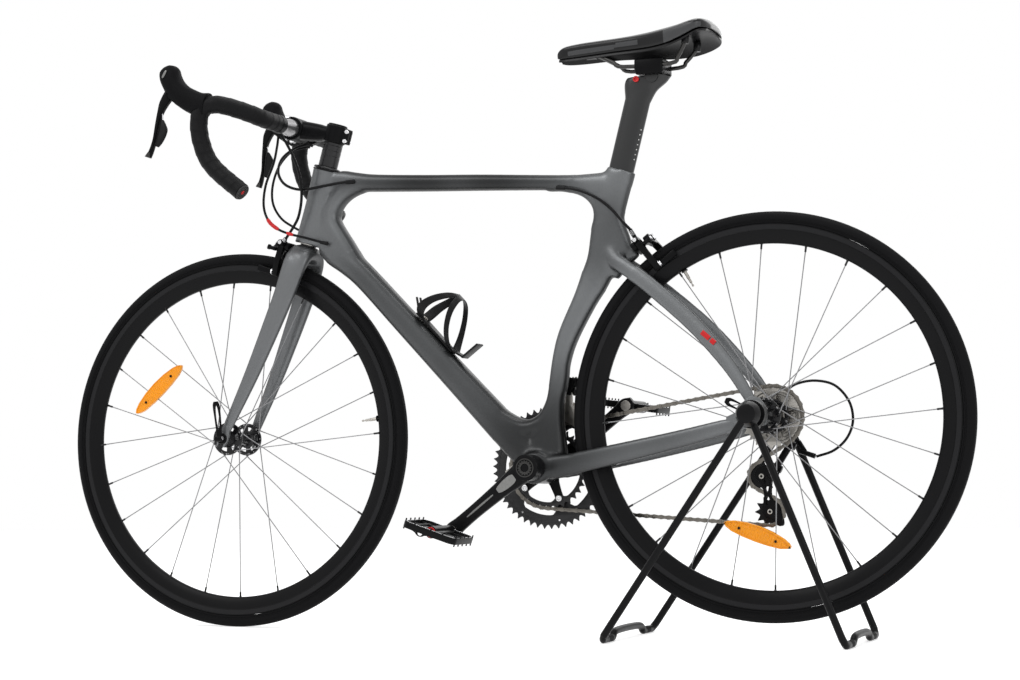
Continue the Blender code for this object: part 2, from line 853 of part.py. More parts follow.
def make_skewer_lever(name, axle, outer, direction, points):
    """The cam lever: a round root against the cap and an arm along the fork or stay."""
    pivot = lever_pivot(axle, outer)
    along = Vector((direction[0], 0, direction[1])).normalized()
    hinge = Vector((along.z, 0, -along.x))
    root = rod("root", pivot - hinge * 0.007, pivot + hinge * 0.007, LEVER_ROOT, 12)
    rings = []
    for reach, lateral, half_width, half_thick in points:
        centre = pivot + along * (reach / 1000) + Vector((0, lateral / 1000, 0))
        rings.append(oval(centre, hinge, Vector((0, 1, 0)), half_width / 1000, half_thick / 1000, 8, 2.6))
    return fused(name, [root, loft("arm", rings)], BLACK_METAL)


# Drive
def disc(name, centre, teeth, low, high, hub=None):
    """A toothed plate from its pitch radius, with a round middle when hub is given."""
    pitch = pitch_radius(teeth)
    if teeth < 20:
        outlines = [circle((centre.x, centre.z), pitch + 0.001, teeth)]
    else:
        outlines = [toothed((centre.x, centre.z), teeth, pitch - 0.0037, pitch + 0.0032)]
    if hub:
        outlines.append(circle((centre.x, centre.z), hub, 12))
    return plate(name, outlines, low, high)


def make_cassette():
    """Ten toothed discs on one splined sleeve, in the order of the real block."""
    start = 0.0226
    end = FIRST_COG_Y + COG_STEP * (len(COG_TEETH) - 1) + 0.0018
    y = Vector((0, 1, 0))
    pieces = [rod("sleeve", REAR_AXLE + y * start, REAR_AXLE + y * end, 0.0165, 10)]
    for i, teeth in enumerate(COG_TEETH):
        middle = FIRST_COG_Y + COG_STEP * i
        pieces.append(disc("cog", REAR_AXLE, teeth, middle - 0.0009, middle + 0.0009))
    bore = turned("bore", [(0, 0), (CASSETTE_BORE, 0), (CASSETTE_BORE, 0.09), (0, 0.09)], 12, REAR_AXLE, WHEEL_TURN)
    return fused("cassette", pieces, STEEL, [bore])


def make_chainrings():
    pieces = []
    for teeth, middle in zip(RING_TEETH, (INNER_RING_Y, OUTER_RING_Y)):
        pieces.append(disc("ring", BB, teeth, middle - 0.0009, middle + 0.0009, 0.0487))
    for turn in ring_bolt_turns():
        at = BB + Vector((math.cos(turn), 0, math.sin(turn))) * RING_BOLTS
        start = Vector((0, INNER_RING_Y - 0.0022, 0))
        end = Vector((0, OUTER_RING_Y + 0.0022, 0))
        pieces.append(rod("bolt", at + start, at + end, 0.0042, 6))
    return fused("chainrings", pieces, RING_BLACK)


RING_BOLTS = 0.055
CRANK_TURN = math.radians(CRANK_ANGLE)
SPINDLE_END = 0.0635
BOSS_INNER = BB_HALF + CUP_FLANGE + GAP * 3
CRANK_BOSS = 0.0225
PEDAL_BORE = (PEDAL_AXLE_RADIUS + GAP) / math.cos(math.pi / 10)
CRANK_ROWS = [
    (-0.017, 10, 7, 61.5),
    (0, 19, 9.5, 61),
    (0.02, 18, 10, 61.5),
    (0.06, 14, 8.5, 65),
    (0.115, 12, 7.2, 67),
    (0.15, 12.5, 7, 66.5),
    (0.17, 14, 6.8, 66),
    (0.184, 7, 5.5, 66),
]


def ring_bolt_turns():
    return [CRANK_TURN + math.radians(36 + 72 * i) for i in range(5)]


def crank_arm(side):
    """One crank arm from the spindle's axis to the pedal's, on the right at side = 1."""
    out = Vector((math.cos(CRANK_TURN), 0, math.sin(CRANK_TURN))) * side
    across = Vector((0, side, 0))
    up = out.cross(across)
    rings = []
    for reach, half_up, half_across, middle in CRANK_ROWS:
        centre = BB + out * reach + across * (middle / 1000)
        rings.append(oval(centre, across, up, half_across / 1000, half_up / 1000, 10, 3))
    return loft("arm", rings), BB + out * CRANK_LENGTH


def make_crank_right():
    arm, pedal_axle = crank_arm(1)
    star = []
    for turn in ring_bolt_turns():
        for share, radius in ((-36, 0.021), (-7.5, 0.0615), (7.5, 0.0615)):
            at = turn + math.radians(share)
            star.append((BB.x + radius * math.cos(at), BB.z + radius * math.sin(at)))
    holes = []
    for turn in ring_bolt_turns():
        at = (BB.x + RING_BOLTS * math.cos(turn), BB.z + RING_BOLTS * math.sin(turn))
        holes.append(circle(at, 0.0052, 6))
    low = INNER_RING_Y + 0.0014
    high = OUTER_RING_Y - 0.0014
    y = Vector((0, 1, 0))
    pieces = [
        arm,
        plate("spider", [star, *holes], low, high),
        rod("boss", BB + y * BOSS_INNER, BB + y * 0.064, 0.0175, BB_SIDES),
        rod("spindle", BB - y * SPINDLE_END, BB + y * 0.05, SPINDLE_RADIUS, BB_SIDES),
    ]
    cut = rod("thread", pedal_axle + y * 0.03, pedal_axle + y * 0.09, PEDAL_BORE, 10)
    return fused("crank_right", pieces, CRANK_BLACK, [cut])


def make_crank_left():
    arm, pedal_axle = crank_arm(-1)
    y = Vector((0, -1, 0))
    pieces = [arm, rod("boss", BB + y * BOSS_INNER, BB + y * 0.0722, CRANK_BOSS, 16)]
    cuts = [
        rod("bore", BB + y * 0.02, BB + y * (SPINDLE_END + GAP), SPINDLE_RADIUS + GAP, BB_SIDES),
        rod("thread", pedal_axle + y * 0.03, pedal_axle + y * 0.09, PEDAL_BORE, 10),
    ]
    return fused("crank_left", pieces, CRANK_BLACK, cuts)


def make_pedal(side):
    """An open cage pedal turning on its axle, which is screwed into the crank."""
    name = "pedal_right" if side > 0 else "pedal_left"
    axle = BB + Vector((math.cos(CRANK_TURN), 0, math.sin(CRANK_TURN))) * CRANK_LENGTH * side
    y = Vector((0, side, 0))
    near = 0.0795
    far = near + PEDAL_WIDTH
    lean = Matrix.Rotation(math.radians(20 if side < 0 else 10), 4, "Y")
    half = PEDAL_LENGTH / 2
    corner = 0.014

    def outline(inset, x_low, x_high):
        a, b = x_low + inset, x_high - inset
        low, high = near + inset, far - inset
        return [
            (a + corner, low),
            (b - corner, low),
            (b, low + corner),
            (b, high - corner),
            (b - corner, high),
            (a + corner, high),
            (a, high - corner),
            (a, low + corner),
        ]

    flat = Matrix.Translation(axle) @ lean @ Matrix.Rotation(math.radians(-90 * side), 4, "X")
    cage = plate(
        "cage",
        [outline(0, -half, half), outline(0.0085, -half, -0.0005), outline(0.0085, 0.0005, half)],
        -PEDAL_THICKNESS / 2,
        PEDAL_THICKNESS / 2,
        flat,
    )
    barrel = rod("barrel", axle + y * (near - 0.004), axle + y * far, 0.0105, 12)
    spindle = rod("spindle", axle + y * 0.0615, axle + y * (near + 0.01), PEDAL_AXLE_RADIUS, 10)
    return fused(name, [cage, barrel, spindle], CRANK_BLACK), axle


def chain_path():
    """The chain's loop in the side view: tangent lines and arcs round its four wheels."""
    wheels = [
        (BB, pitch_radius(RING_TEETH[0]), 1, INNER_RING_Y),
        (TENSION, pitch_radius(PULLEY_TEETH), 1, FIRST_COG_Y),
        (GUIDE, pitch_radius(PULLEY_TEETH), -1, FIRST_COG_Y),
        (REAR_AXLE, pitch_radius(COG_TEETH[0]), 1, FIRST_COG_Y),
    ]
    runs = []
    for i, (centre, radius, way, y) in enumerate(wheels):
        after, after_radius, after_way, after_y = wheels[(i + 1) % 4]
        between = after - centre
        length = math.hypot(between.x, between.z)
        base = math.atan2(between.z, between.x)
        tilt = math.asin((way * radius - after_way * after_radius) / length)
        normal = base - math.pi / 2 + tilt
        offset = Vector((math.cos(normal), 0, math.sin(normal)))
        start = Vector((centre.x, y, centre.z)) + offset * radius * way
        end = Vector((after.x, after_y, after.z)) + offset * after_radius * after_way
        runs.append((start, end))
    points = []
    straight = []
    for i, (centre, radius, way, y) in enumerate(wheels):
        arrive = runs[i - 1][1]
        leave = runs[i][0]
        a = math.atan2(arrive.z - centre.z, arrive.x - centre.x)
        b = math.atan2(leave.z - centre.z, leave.x - centre.x)
        sweep = (b - a) * way % (2 * math.pi) * way
        count = max(2, round(abs(sweep) / math.radians(20)))
        for k in range(count + 1):
            t = a + sweep * k / count
            points.append(Vector((centre.x + radius * math.cos(t), y, centre.z + radius * math.sin(t))))
        start, end = runs[i]
        length = (end - start).length
        if length > 0.15:
            hold = 0.024 / length
            near = start.lerp(end, hold)
            far = start.lerp(end, 1 - hold)
            near.y = start.y
            far.y = end.y
            points += [near, far]
            straight.append((near, far))
    return points, straight


GUIDE = Vector((0.469, 0, 0.238))
TENSION = Vector((0.481, 0, 0.180))


def make_chain():
    """Two link plates' bands round the whole loop, tied by cross pins along the free runs."""
    points, straight = chain_path()
    count = len(points)
    half_height = 0.0036
    pieces = []
    for low, high in ((-0.0029, -0.0012), (0.0012, 0.0029)):
        rings = []
        for i, point in enumerate(points):
            along = (points[(i + 1) % count] - points[i - 1]).normalized()
            side = Vector((-along.z, 0, along.x)).normalized() * half_height
            a, b = Vector((0, low, 0)), Vector((0, high, 0))
            rings.append([point + side + a, point + side + b, point - side + b, point - side + a])
        pieces.append(loft("band", rings, closed=True))
    for near, far in straight:
        for k in range(5):
            at = near.lerp(far, (k + 0.5) / 5)
            pieces.append(rod("pin", at - Vector((0, 0.0023, 0)), at + Vector((0, 0.0023, 0)), 0.0018, 6))
    return fused("chain", pieces, STEEL)


def make_pulley(name, centre):
    pitch = pitch_radius(PULLEY_TEETH)
    outline = toothed((centre.x, centre.z), PULLEY_TEETH, pitch - 0.004, pitch + 0.002)
    hole = circle((centre.x, centre.z), PULLEY_BORE, 10)
    return plate(name, [outline, hole], FIRST_COG_Y - 0.0009, FIRST_COG_Y + 0.0009, finish=BLACK_PLASTIC)


PULLEY_BORE = 0.0042


# Rear derailleur: the link's pins lie in the side view, square to the link
LINK_TOP = Vector((0.504, 0.081, 0.289))
LINK_FOOT = Vector((0.487, 0.0485, 0.2515))
LINK = (LINK_FOOT - LINK_TOP).normalized()
LINK_PIN = Vector((-LINK.z, 0, LINK.x)).normalized()
CAGE_PIVOT = Vector((0.480, 0, 0.245))
PIN_RADIUS = 0.0025
EYE_RADIUS = 0.0062
CAGE_LOW = (FIRST_COG_Y - 0.0052, FIRST_COG_Y - 0.0035)
CAGE_HIGH = (FIRST_COG_Y + 0.0035, FIRST_COG_Y + 0.0054)


BAR_REACH = 0.0125


def link_fork(at, side):
    """Two ears and their pin, with the bar that ties them behind the link's eye."""
    reach = 0.0065
    back = LINK * side * BAR_REACH
    pieces = [rod("pin", at - LINK_PIN * 0.0095, at + LINK_PIN * 0.0095, PIN_RADIUS, 8)]
    for way in (-1, 1):
        low = at + LINK_PIN * way * reach
        high = at + LINK_PIN * way * (reach + 0.0034)
        pieces.append(rod("ear", low, high, EYE_RADIUS, 8))
        middle = (low + high) / 2
        pieces.append(rod("web", middle, middle + back, 0.00165, 6))
    pieces.append(rod("bar", at - LINK_PIN * 0.0099 + back, at + LINK_PIN * 0.0099 + back, 0.0042, 6))
    return pieces


def make_derailleur_bracket():
    y = Vector((0, 1, 0))
    back = LINK_TOP - LINK * BAR_REACH
    pieces = link_fork(LINK_TOP, -1)
    pieces += [
        rod("boss", HANGER + y * (DROPOUT_OUTER + GAP), HANGER + y * 0.0785, 0.0085, 10),
        rod("bolt", HANGER + y * (DROPOUT_INNER + 0.001), HANGER + y * 0.075, 0.0032, 8),
        rod("neck", HANGER + y * 0.0752, back, 0.005, 6),
        rod("barrel_arm", back + LINK_PIN * 0.0099, Vector((0.528, 0.084, 0.277)), 0.004, 8),
        rod("barrel", Vector((0.520, 0.0832, 0.2775)), Vector((0.5455, 0.0815, 0.2685)), 0.0042, 8),
    ]
    return fused("rear_derailleur_bracket", pieces, BLACK_METAL)


def make_derailleur_link():
    pieces = [
        rod("eye", LINK_TOP - LINK_PIN * 0.0061, LINK_TOP + LINK_PIN * 0.0061, EYE_RADIUS, 12),
        rod("eye", LINK_FOOT - LINK_PIN * 0.0061, LINK_FOOT + LINK_PIN * 0.0061, EYE_RADIUS, 12),
        loft(
            "beam",
            [
                oval(LINK_TOP + LINK * s, LINK_PIN, LINK.cross(LINK_PIN), 0.0058, 0.0045, 8, 3)
                for s in (0.002, (LINK_FOOT - LINK_TOP).length - 0.002)
            ],
        ),
    ]
    cuts = [
        rod("bore", at - LINK_PIN * 0.02, at + LINK_PIN * 0.02, PIN_RADIUS + GAP, 8)
        for at in (LINK_TOP, LINK_FOOT)
    ]
    return fused("rear_derailleur_link", pieces, BLACK_METAL, cuts)


def make_derailleur_knuckle():
    y = Vector((0, 1, 0))
    face = CAGE_HIGH[1] + GAP * 2
    pieces = link_fork(LINK_FOOT, 1)
    pieces.append(rod("boss", CAGE_PIVOT + y * face, CAGE_PIVOT + y * 0.0405, 0.0105, 14))
    cut = rod("bore", CAGE_PIVOT + y * (face - 0.002), CAGE_PIVOT + y * (face + 0.0078), 0.0053, 10)
    return fused("rear_derailleur_knuckle", pieces, BLACK_METAL, [cut])


def cage_outline(wide):
    """The cage plate round both pulleys, with the tail that guides the chain in."""
    return [
        (p.x, p.y)
        for p in mm(
            [
                (459, 246), (464, 252), (478, 256), (488, 251), (491, 243), (486, 232), (484, 205),
                (497, 186), (502, 166), (501, 157), (493, 157), (486, 166), (474, 170), (468, 182),
                (472, 205), (468 - wide, 225), (458 - wide, 236),
            ]
        )
    ]


def make_derailleur_cage():
    y = Vector((0, 1, 0))
    low, high = CAGE_LOW[0], CAGE_HIGH[1]
    pieces = [
        plate("outer", [cage_outline(0)], *CAGE_HIGH),
        plate("inner", [cage_outline(2)], *CAGE_LOW),
        rod("stub", CAGE_PIVOT + y * (CAGE_HIGH[0] + 0.0008), CAGE_PIVOT + y * (high + 0.0078), 0.005, 10),
    ]
    for centre in (GUIDE, TENSION):
        pieces.append(rod("axle", centre + y * (low + 0.0004), centre + y * (high - 0.0004), PULLEY_BORE - GAP, 8))
    return fused("rear_derailleur_cage", pieces, BLACK_METAL)


def make_rear_derailleur_housing():
    route = [
        (499, 67, 366),
        (505, 68, 378),
        (522, 70, 389),
        (552, 73, 393),
        (584, 76, 384),
        (606, 79, 357),
        (611, 80.5, 325),
        (600, 81, 297),
        (577, 81.2, 277),
        (547.5, 81.4, 267.9),
    ]
    return housing("rear_derailleur_housing", route, SHIFT_HOUSING_RADIUS)


# Front derailleur
FD_PIVOT = Vector((0.134, 0.0315, 0.393))


def make_front_derailleur_body():
    """The bolt-on bracket behind the seat tube's right side, with the pin that its cage swings on."""
    x = Vector((1, 0, 0))
    lean = Matrix.Rotation(math.radians(18), 4, "Y")
    pieces = [
        box("plate", (0.018, 0.005, 0.030), Matrix.Translation((0.138, 0.0212, 0.402)) @ lean, 0.001),
        box("body", (0.022, 0.012, 0.016), Matrix.Translation((0.143, 0.0285, 0.4078)), 0.002),
        rod("pin", FD_PIVOT - x * 0.016, FD_PIVOT + x * 0.016, 0.0024, 8),
        rod("lug", FD_PIVOT + x * 0.0095, FD_PIVOT + x * 0.014, 0.0078, 8),
        rod("lug", FD_PIVOT - x * 0.014, FD_PIVOT - x * 0.0095, 0.0078, 8),
        box("web", (0.030, 0.0066, 0.0064), Matrix.Translation((0.134, 0.0285, 0.4025))),
    ]
    return fused("front_derailleur_body", pieces, BLACK_METAL)


def make_front_derailleur_cage():
    """The two cage plates either side of the chain, joined at the tail and hung from the pin."""
    centre = (BB.x, BB.z)
    inboard = INNER_RING_Y - 0.0103
    outboard = INNER_RING_Y + 0.0048

    def blade(low, high, inner, outer, start, end):
        rim = arc(centre, outer, start, end, 5)
        return plate("blade", [rim + arc(centre, inner, end, start, 5)], low, high)

    ring = pitch_radius(RING_TEETH[1])
    x = Vector((1, 0, 0))
    pieces = [
        blade(inboard, inboard + 0.0014, 0.0865, 0.117, 33, 80),
        blade(outboard - 0.0012, outboard, ring + 0.0052, 0.121, 36, 80),
        blade(inboard + 0.0005, outboard - 0.0005, 0.1142, 0.1164, 60, 77),
        blade(inboard + 0.0005, outboard - 0.0005, 0.1085, 0.1164, 36.5, 39),
        rod("eye", FD_PIVOT - x * 0.0088, FD_PIVOT + x * 0.0088, 0.0052, 10),
        box("arm", (0.012, 0.009, 0.024), Matrix.Translation((0.134, 0.0345, 0.3790)), 0.001),
    ]
    cut = rod("bore", FD_PIVOT - x * 0.02, FD_PIVOT + x * 0.02, 0.0027, 8)
    return fused("front_derailleur_cage", pieces, STEEL, [cut])


# Brakes: laid out from the mounting bolt, X to the cable's side, Y away from the mount, Z off the rim
ARM_PIVOT = (0.021, 0.003)
ARM_BOLT = 0.003
INNER_LAYER = (0.0086, 0.0196)
OUTER_LAYER = (0.0216, 0.0336)
PAD_FACE = RIM_WIDTH / 2 + 0.0015
PAD_DROP = 0.049
PAD_REACH = 0.029


def brake_frame(bolt, tangent, radial):
    across = tangent.cross(radial)
    made = Matrix((across, tangent, radial)).transposed().to_4x4()
    made.translation = bolt + tangent * GAP
    return made


def flip(outline, side):
    return [(x * side / 1000, z / 1000) for x, z in outline]


BRACKET = [(-9, -4), (-4, -9), (8, -8), (24, -4.5), (28, 3), (24, 9.5), (8, 10), (-4, 9), (-9, 4)]
NEAR_ARM = [
    (15, 9),
    (23, 12.5),
    (29, 12),
    (36, 10),
    (36, 4),
    (30, 1),
    (29.5, -10),
    (29, -26),
    (26, -42),
    (22, -53),
    (16, -53),
    (17, -42),
    (21.5, -30),
    (22, -18),
    (18, -8),
    (13.5, -1),
    (13, 5),
]
FAR_ARM = [
    (-7, 7),
    (0, 9.5),
    (10, 8),
    (20, -3),
    (34, -4),
    (34, -10),
    (22, -10),
    (8, -8),
    (-6, -9),
    (-15, -9),
    (-21, -18),
    (-21, -30),
    (-17, -42),
    (-16, -53),
    (-22, -53),
    (-26, -42),
    (-29, -28),
    (-29, -14),
    (-22, 0),
]


def brake_point(place, side, point):
    return place @ Vector((point[0] * side / 1000, point[1] / 1000, point[2] / 1000))


def make_arm(name, place, side, outline, layer, bore, pad_side, extra):
    """One arm in its own layer, with its pad holder at the rim."""
    at = Matrix.Translation(((PAD_FACE + 0.00325) * pad_side, PAD_REACH, -PAD_DROP))
    pad = box("pad", (0.0065, 0.046, 0.011), place @ at, 0.001)
    hole = circle((bore[0] * side, bore[1]), ARM_BOLT + GAP, 8)
    body = plate("arm", [flip(outline, side), hole], *layer, place)
    return fused(name, [body, pad, extra], BLACK_METAL)


def make_brake(prefix, place, side, barrel):
    """One dual-pivot caliper: its bracket, the arm on the cable's side and the arm that crosses over."""

    def across(x, y, z):
        return brake_point(place, side, (x, y, z))

    pivot_x, pivot_z = ARM_PIVOT[0] * 1000, ARM_PIVOT[1] * 1000
    pieces = [
        plate("plate", [flip(BRACKET, side)], 0, 0.008, place),
        rod("bolt", across(0, -19, 0), across(0, 39, 0), ARM_BOLT, 8),
        rod("nut", across(0, 34.2, 0), across(0, 40.5, 0), 0.0058, 6),
        rod("post", across(pivot_x, 3, pivot_z), across(pivot_x, 20.2, pivot_z), ARM_BOLT, 8),
    ]
    bracket = fused(prefix + "_brake_bracket", pieces, BLACK_METAL)
    stop = rod("barrel", across(*barrel[0]), across(*barrel[1]), 0.0042, 8)
    cable = rod("cable", across(31, 26, -9), across(31, 36.5, -9), 0.004, 6)
    near = make_arm(prefix + "_brake_arm_left", place, side, NEAR_ARM, INNER_LAYER, ARM_PIVOT, side, stop)
    far = make_arm(prefix + "_brake_arm_right", place, side, FAR_ARM, OUTER_LAYER, (0, 0), -side, cable)
    return bracket, near, far


FRONT_BRAKE = brake_frame(FRONT_BOLT, FRONT_TANGENT, FRONT_RADIAL)
REAR_BRAKE = brake_frame(BRIDGE, TANGENT, RADIAL)
FRONT_BARREL = ((31, 13, 6), (31, 7.5, 16.5))
REAR_BARREL = ((31, 16, 7), (31, 18.5, 27))


# Cables in their housings, all along their real routes
HOUSING_RADIUS = 0.0025
SHIFT_HOUSING_RADIUS = 0.0022


def housing(name, points, radius, end=None):
    """A cable's housing along its route in millimetres, held at both ends."""
    route = mm(points)
    if end:
        route.append(end)
    return wire(name, route, radius, BLACK_PLASTIC)


FRONT_BRAKE_ROUTE = [
    (-357, -60.5, 866),
    (-349, -57.5, 853),
    (-340, -51, 830),
    (-333, -46, 807),
    (-329.5, -42, 781),
    (-331, -39, 752),
    (-339, -35.5, 724),
    (-351, -33, 706),
]
REAR_BRAKE_ROUTE = [
    (-357, 60.5, 866),
    (-364, 48, 867),
    (-380, 33, 859),
    (-392, 8, 838),
    (-389, -14, 811),
    (-373, -27, 788),
    (-350, -33, 775),
    (-326, -33.5, 771),
    (-298, -30, 774),
    (-266, -26, 778),
    (-243, -21.5, 780),
]
SHIFT_LEFT_ROUTE = [
    (-363, -60.5, 864),
    (-364, -64.5, 845),
    (-369, -69, 816),
    (-383, -73.5, 778),
    (-388.5, -72.5, 742),
    (-384, -64, 716),
    (-371, -52, 701),
    (-352, -42, 692),
    (-328, -34, 685),
    (-310, -29.5, 679),
    (-294, -25.5, 674),
]
SHIFT_RIGHT_ROUTE = [
    (-363, 60.5, 864),
    (-368, 50, 862),
    (-388, 38, 855),
    (-408, 27, 829),
    (-416, 15, 792),
    (-413, 9, 758),
    (-400, 14, 731),
    (-380, 25, 714),
    (-352, 32.5, 698),
    (-320, 30.5, 683),
    (-294, 25.5, 674),
]
SEATSTAY_ROUTE = [
    (150, -17.8, 736),
    (175, -20.5, 731),
    (200, -22, 721),
    (222, -22.5, 708),
    (244, -25, 688.5),
    (261.5, -29.2, 668.5),
]


def make_housings():
    front_end = FRONT_BRAKE @ Vector((-0.031, 0.0073, 0.0169))
    rear_end = REAR_BRAKE @ Vector((0.031, 0.0186, 0.0277))
    return [
        housing("front_brake_housing", FRONT_BRAKE_ROUTE, HOUSING_RADIUS, end=front_end),
        housing("rear_brake_housing_front", REAR_BRAKE_ROUTE, HOUSING_RADIUS),
        housing("shift_housing_left", SHIFT_LEFT_ROUTE, SHIFT_HOUSING_RADIUS),
        housing("shift_housing_right", SHIFT_RIGHT_ROUTE, SHIFT_HOUSING_RADIUS),
        housing("rear_brake_housing", SEATSTAY_ROUTE, HOUSING_RADIUS, end=rear_end),
    ]


# Seatpost and saddle
POST_INSERT = 0.100
TILT_AXIS = Vector((0.316, 0, 0.912))
HEAD_RADIUS = 0.011
HEAD_HALF = 0.0157
RAIL_DIRECTION = Vector((68, 0, -2)).normalized()
RAIL_MIDDLE = Vector((0.3115, 0, 0.9292))


def slab(name, rows, y, side, sides=12, squareness=2.6):
    """Lofts a form between its two side-view edges.

    Each row is x, z, x, z and half width in millimetres, with a sixth number for how far outward it stands.
    """
    rings = []
    for x1, z1, x2, z2, half, *out in rows:
        a = Vector((x1, 0, z1)) / 1000
        b = Vector((x2, 0, z2)) / 1000
        stand = side * out[0] / 1000 if out else 0
        middle = (a + b) / 2 + Vector((0, y + stand, 0))
        up = (a - b).normalized()
        across = Vector((0, 1, 0))
        rings.append(oval(middle, across, up, half / 1000, (a - b).length / 2, sides, squareness))
    return loft(name, rings)


def make_seatpost():
    half_depth, half_width = POST_DEPTH / 2, POST_WIDTH / 2
    rings = [post_section(post_at(s), half_depth, half_width) for s in (-POST_INSERT, 0.128)]
    rows = [(265, 906, 320, 888, 11.5), (274, 917, 337, 901, 12.5), (296, 922, 345, 910, 13)]
    for x1, z1, x2, z2, half in rows:
        a = Vector((x1, 0, z1)) / 1000
        b = Vector((x2, 0, z2)) / 1000
        along = (b - a).normalized()
        across = Vector((0, 1, 0))
        rings.append(oval((a + b) / 2, across, along, half / 1000, (a - b).length / 2, POST_SIDES, 2.4))
    y = Vector((0, HEAD_HALF, 0))
    body = loft("post", rings)
    cap = box("cap", (0.2, 0.1, 0.05), Matrix.Translation(TILT_AXIS + Vector((0, 0, 0.0272))))
    pieces = [fused("blank", [body], None, [cap]), rod("head", TILT_AXIS - y, TILT_AXIS + y, HEAD_RADIUS, 16)]
    return fused("seatpost", pieces, POST_BLACK)


def make_saddle_clamp():
    """Both halves of the rail clamp, seated on the post's round head."""
    turn = Matrix.Rotation(math.atan2(-RAIL_DIRECTION.z, RAIL_DIRECTION.x), 4, "Y")
    middle = RAIL_MIDDLE + Vector((0.0035, 0, -0.0016))
    block = box("block", (0.050, 0.056, 0.0265), Matrix.Translation(middle) @ turn, 0.003)
    y = Vector((0, 1, 0))
    reach = y * (HEAD_HALF + GAP)
    room = Matrix.Translation(TILT_AXIS + Vector((0, 0, -0.0072)))
    cuts = [
        rod("seat", TILT_AXIS - reach, TILT_AXIS + reach, HEAD_RADIUS + GAP, 16),
        box("room", (0.1, 0.036, 0.0245), room),
        box("split", (0.1, 0.0035, 0.012), Matrix.Translation(RAIL_MIDDLE + Vector((0, 0.032, 0)))),
    ]
    for side in (-1, 1):
        at = RAIL_MIDDLE + y * RAIL_HALF_GAP * side
        run = RAIL_DIRECTION * 0.05
        cuts.append(rod("groove", at - run, at + run, RAIL_RADIUS + GAP, 8))
    return fused("saddle_clamp", [block], BLACK_METAL, cuts)


def rail_path():
    gap = RAIL_HALF_GAP * 1000
    low = RAIL_MIDDLE - RAIL_DIRECTION * 0.042
    high = RAIL_MIDDLE + RAIL_DIRECTION * 0.042
    half = [
        (205, 0, 962.5),
        (208.5, 6, 962),
        (220, 11, 958),
        (235, 15.5, 950),
        (252, 19.8, 940),
        (low.x * 1000, gap, low.z * 1000),
        (high.x * 1000, gap, high.z * 1000),
        (366, 24.5, 937),
        (375, 29.5, 948),
        (382, 34.5, 959),
        (384, 36, 966),
    ]
    left = [(x, -y, z) for x, y, z in half[:0:-1]]
    return mm(left + half)


def make_saddle_rails():
    return wire("saddle_rails", rail_path(), RAIL_RADIUS, STEEL)


# x, half width, height of the crown, of the upper edge and of the flank's foot, all in millimetres
SADDLE = [
    (147, 6, 967, 965, 960.5),
    (151, 11, 974, 970, 958),
    (163, 16.5, 979.5, 974.5, 956),
    (190, 20, 982, 976.5, 955.5),
    (220, 22, 983, 977, 956),
    (252, 25, 983.5, 977, 956.5),
    (285, 31, 984.5, 976.5, 955.5),
    (315, 40, 986.5, 976, 954),
    (345, 52, 989, 977, 954),
    (372, 63, 991.5, 979, 957.5),
    (392, SADDLE_WIDTH * 500 - 2, 995, 982, 963),
    (406, SADDLE_WIDTH * 500, 996.5, 984.5, 968.5),
    (416, SADDLE_WIDTH * 500 - 5.5, 996, 986, 972.5),
    (423, 50, 993, 985, 975),
    (427, 30, 987, 982, 976.5),
]
PAD_THICKNESS = 12.0
SHELL_THICKNESS = 3.0
SHELL_GAP = 2.0
TUCK = 2.5


def cover_points(row):
    """The cushion's crown and its underside at one place, each from the right edge to the left."""
    x, half, crown, edge, foot = row
    top = []
    for i in range(7):
        share = 1 - i / 3
        top.append(Vector((x, share * half, crown - (crown - edge) * abs(share) ** 2.6)))
    tucked = half - min(TUCK, half * 0.2)
    under = []
    for i in range(5):
        share = 1 - i / 2
        middle = max(crown - PAD_THICKNESS, foot + 1.0)
        under.append(Vector((x, share * tucked, middle + (foot - middle) * abs(share) ** 2.2)))
    return top, under


def make_saddle_cover():
    rings = []
    for row in SADDLE:
        top, under = cover_points(row)
        rings.append([p / 1000 for p in top + under[::-1]])
    return loft("saddle_cover", rings, SADDLE_BLACK)


def make_shell():
    """The hull under the cushion, with the sockets that hold the rails' ends."""
    rings = []
    for i, row in enumerate(SADDLE[1:-1]):
        under = [p.copy() for p in cover_points(row)[1]]
        if i == 0:
            for point in under:
                point.x += 3
        top = [p - Vector((0, 0, SHELL_GAP)) for p in under]
        low = [p - Vector((0, 0, SHELL_GAP + SHELL_THICKNESS)) for p in under]
        rings.append([p / 1000 for p in low + top[::-1]])
    pieces = [loft("shell", rings)]
    for y in (-0.0352, 0.0352):
        pieces.append(rod("boss", Vector((0.3825, y, 0.955)), Vector((0.384, y, 0.9706)), 0.0065, 8))
    pieces.append(box("boss", (0.020, 0.016, 0.012), Matrix.Translation((0.206, 0, 0.9603))))
    sleeve = wire("sleeve", rail_path(), (RAIL_RADIUS + GAP) / math.cos(math.pi / 6), resolution=1)
    return fused("saddle_shell", pieces, SHELL_GREY, [sleeve])


# Cockpit
STEM_NECK = [
    (0.004, 0.0165, 0.0140),
    (0.019, 0.0155, 0.0132),
    (0.032, 0.0150, 0.0152),
    (0.062, 0.0165, 0.0172),
    (0.078, 0.0175, 0.0165),
]


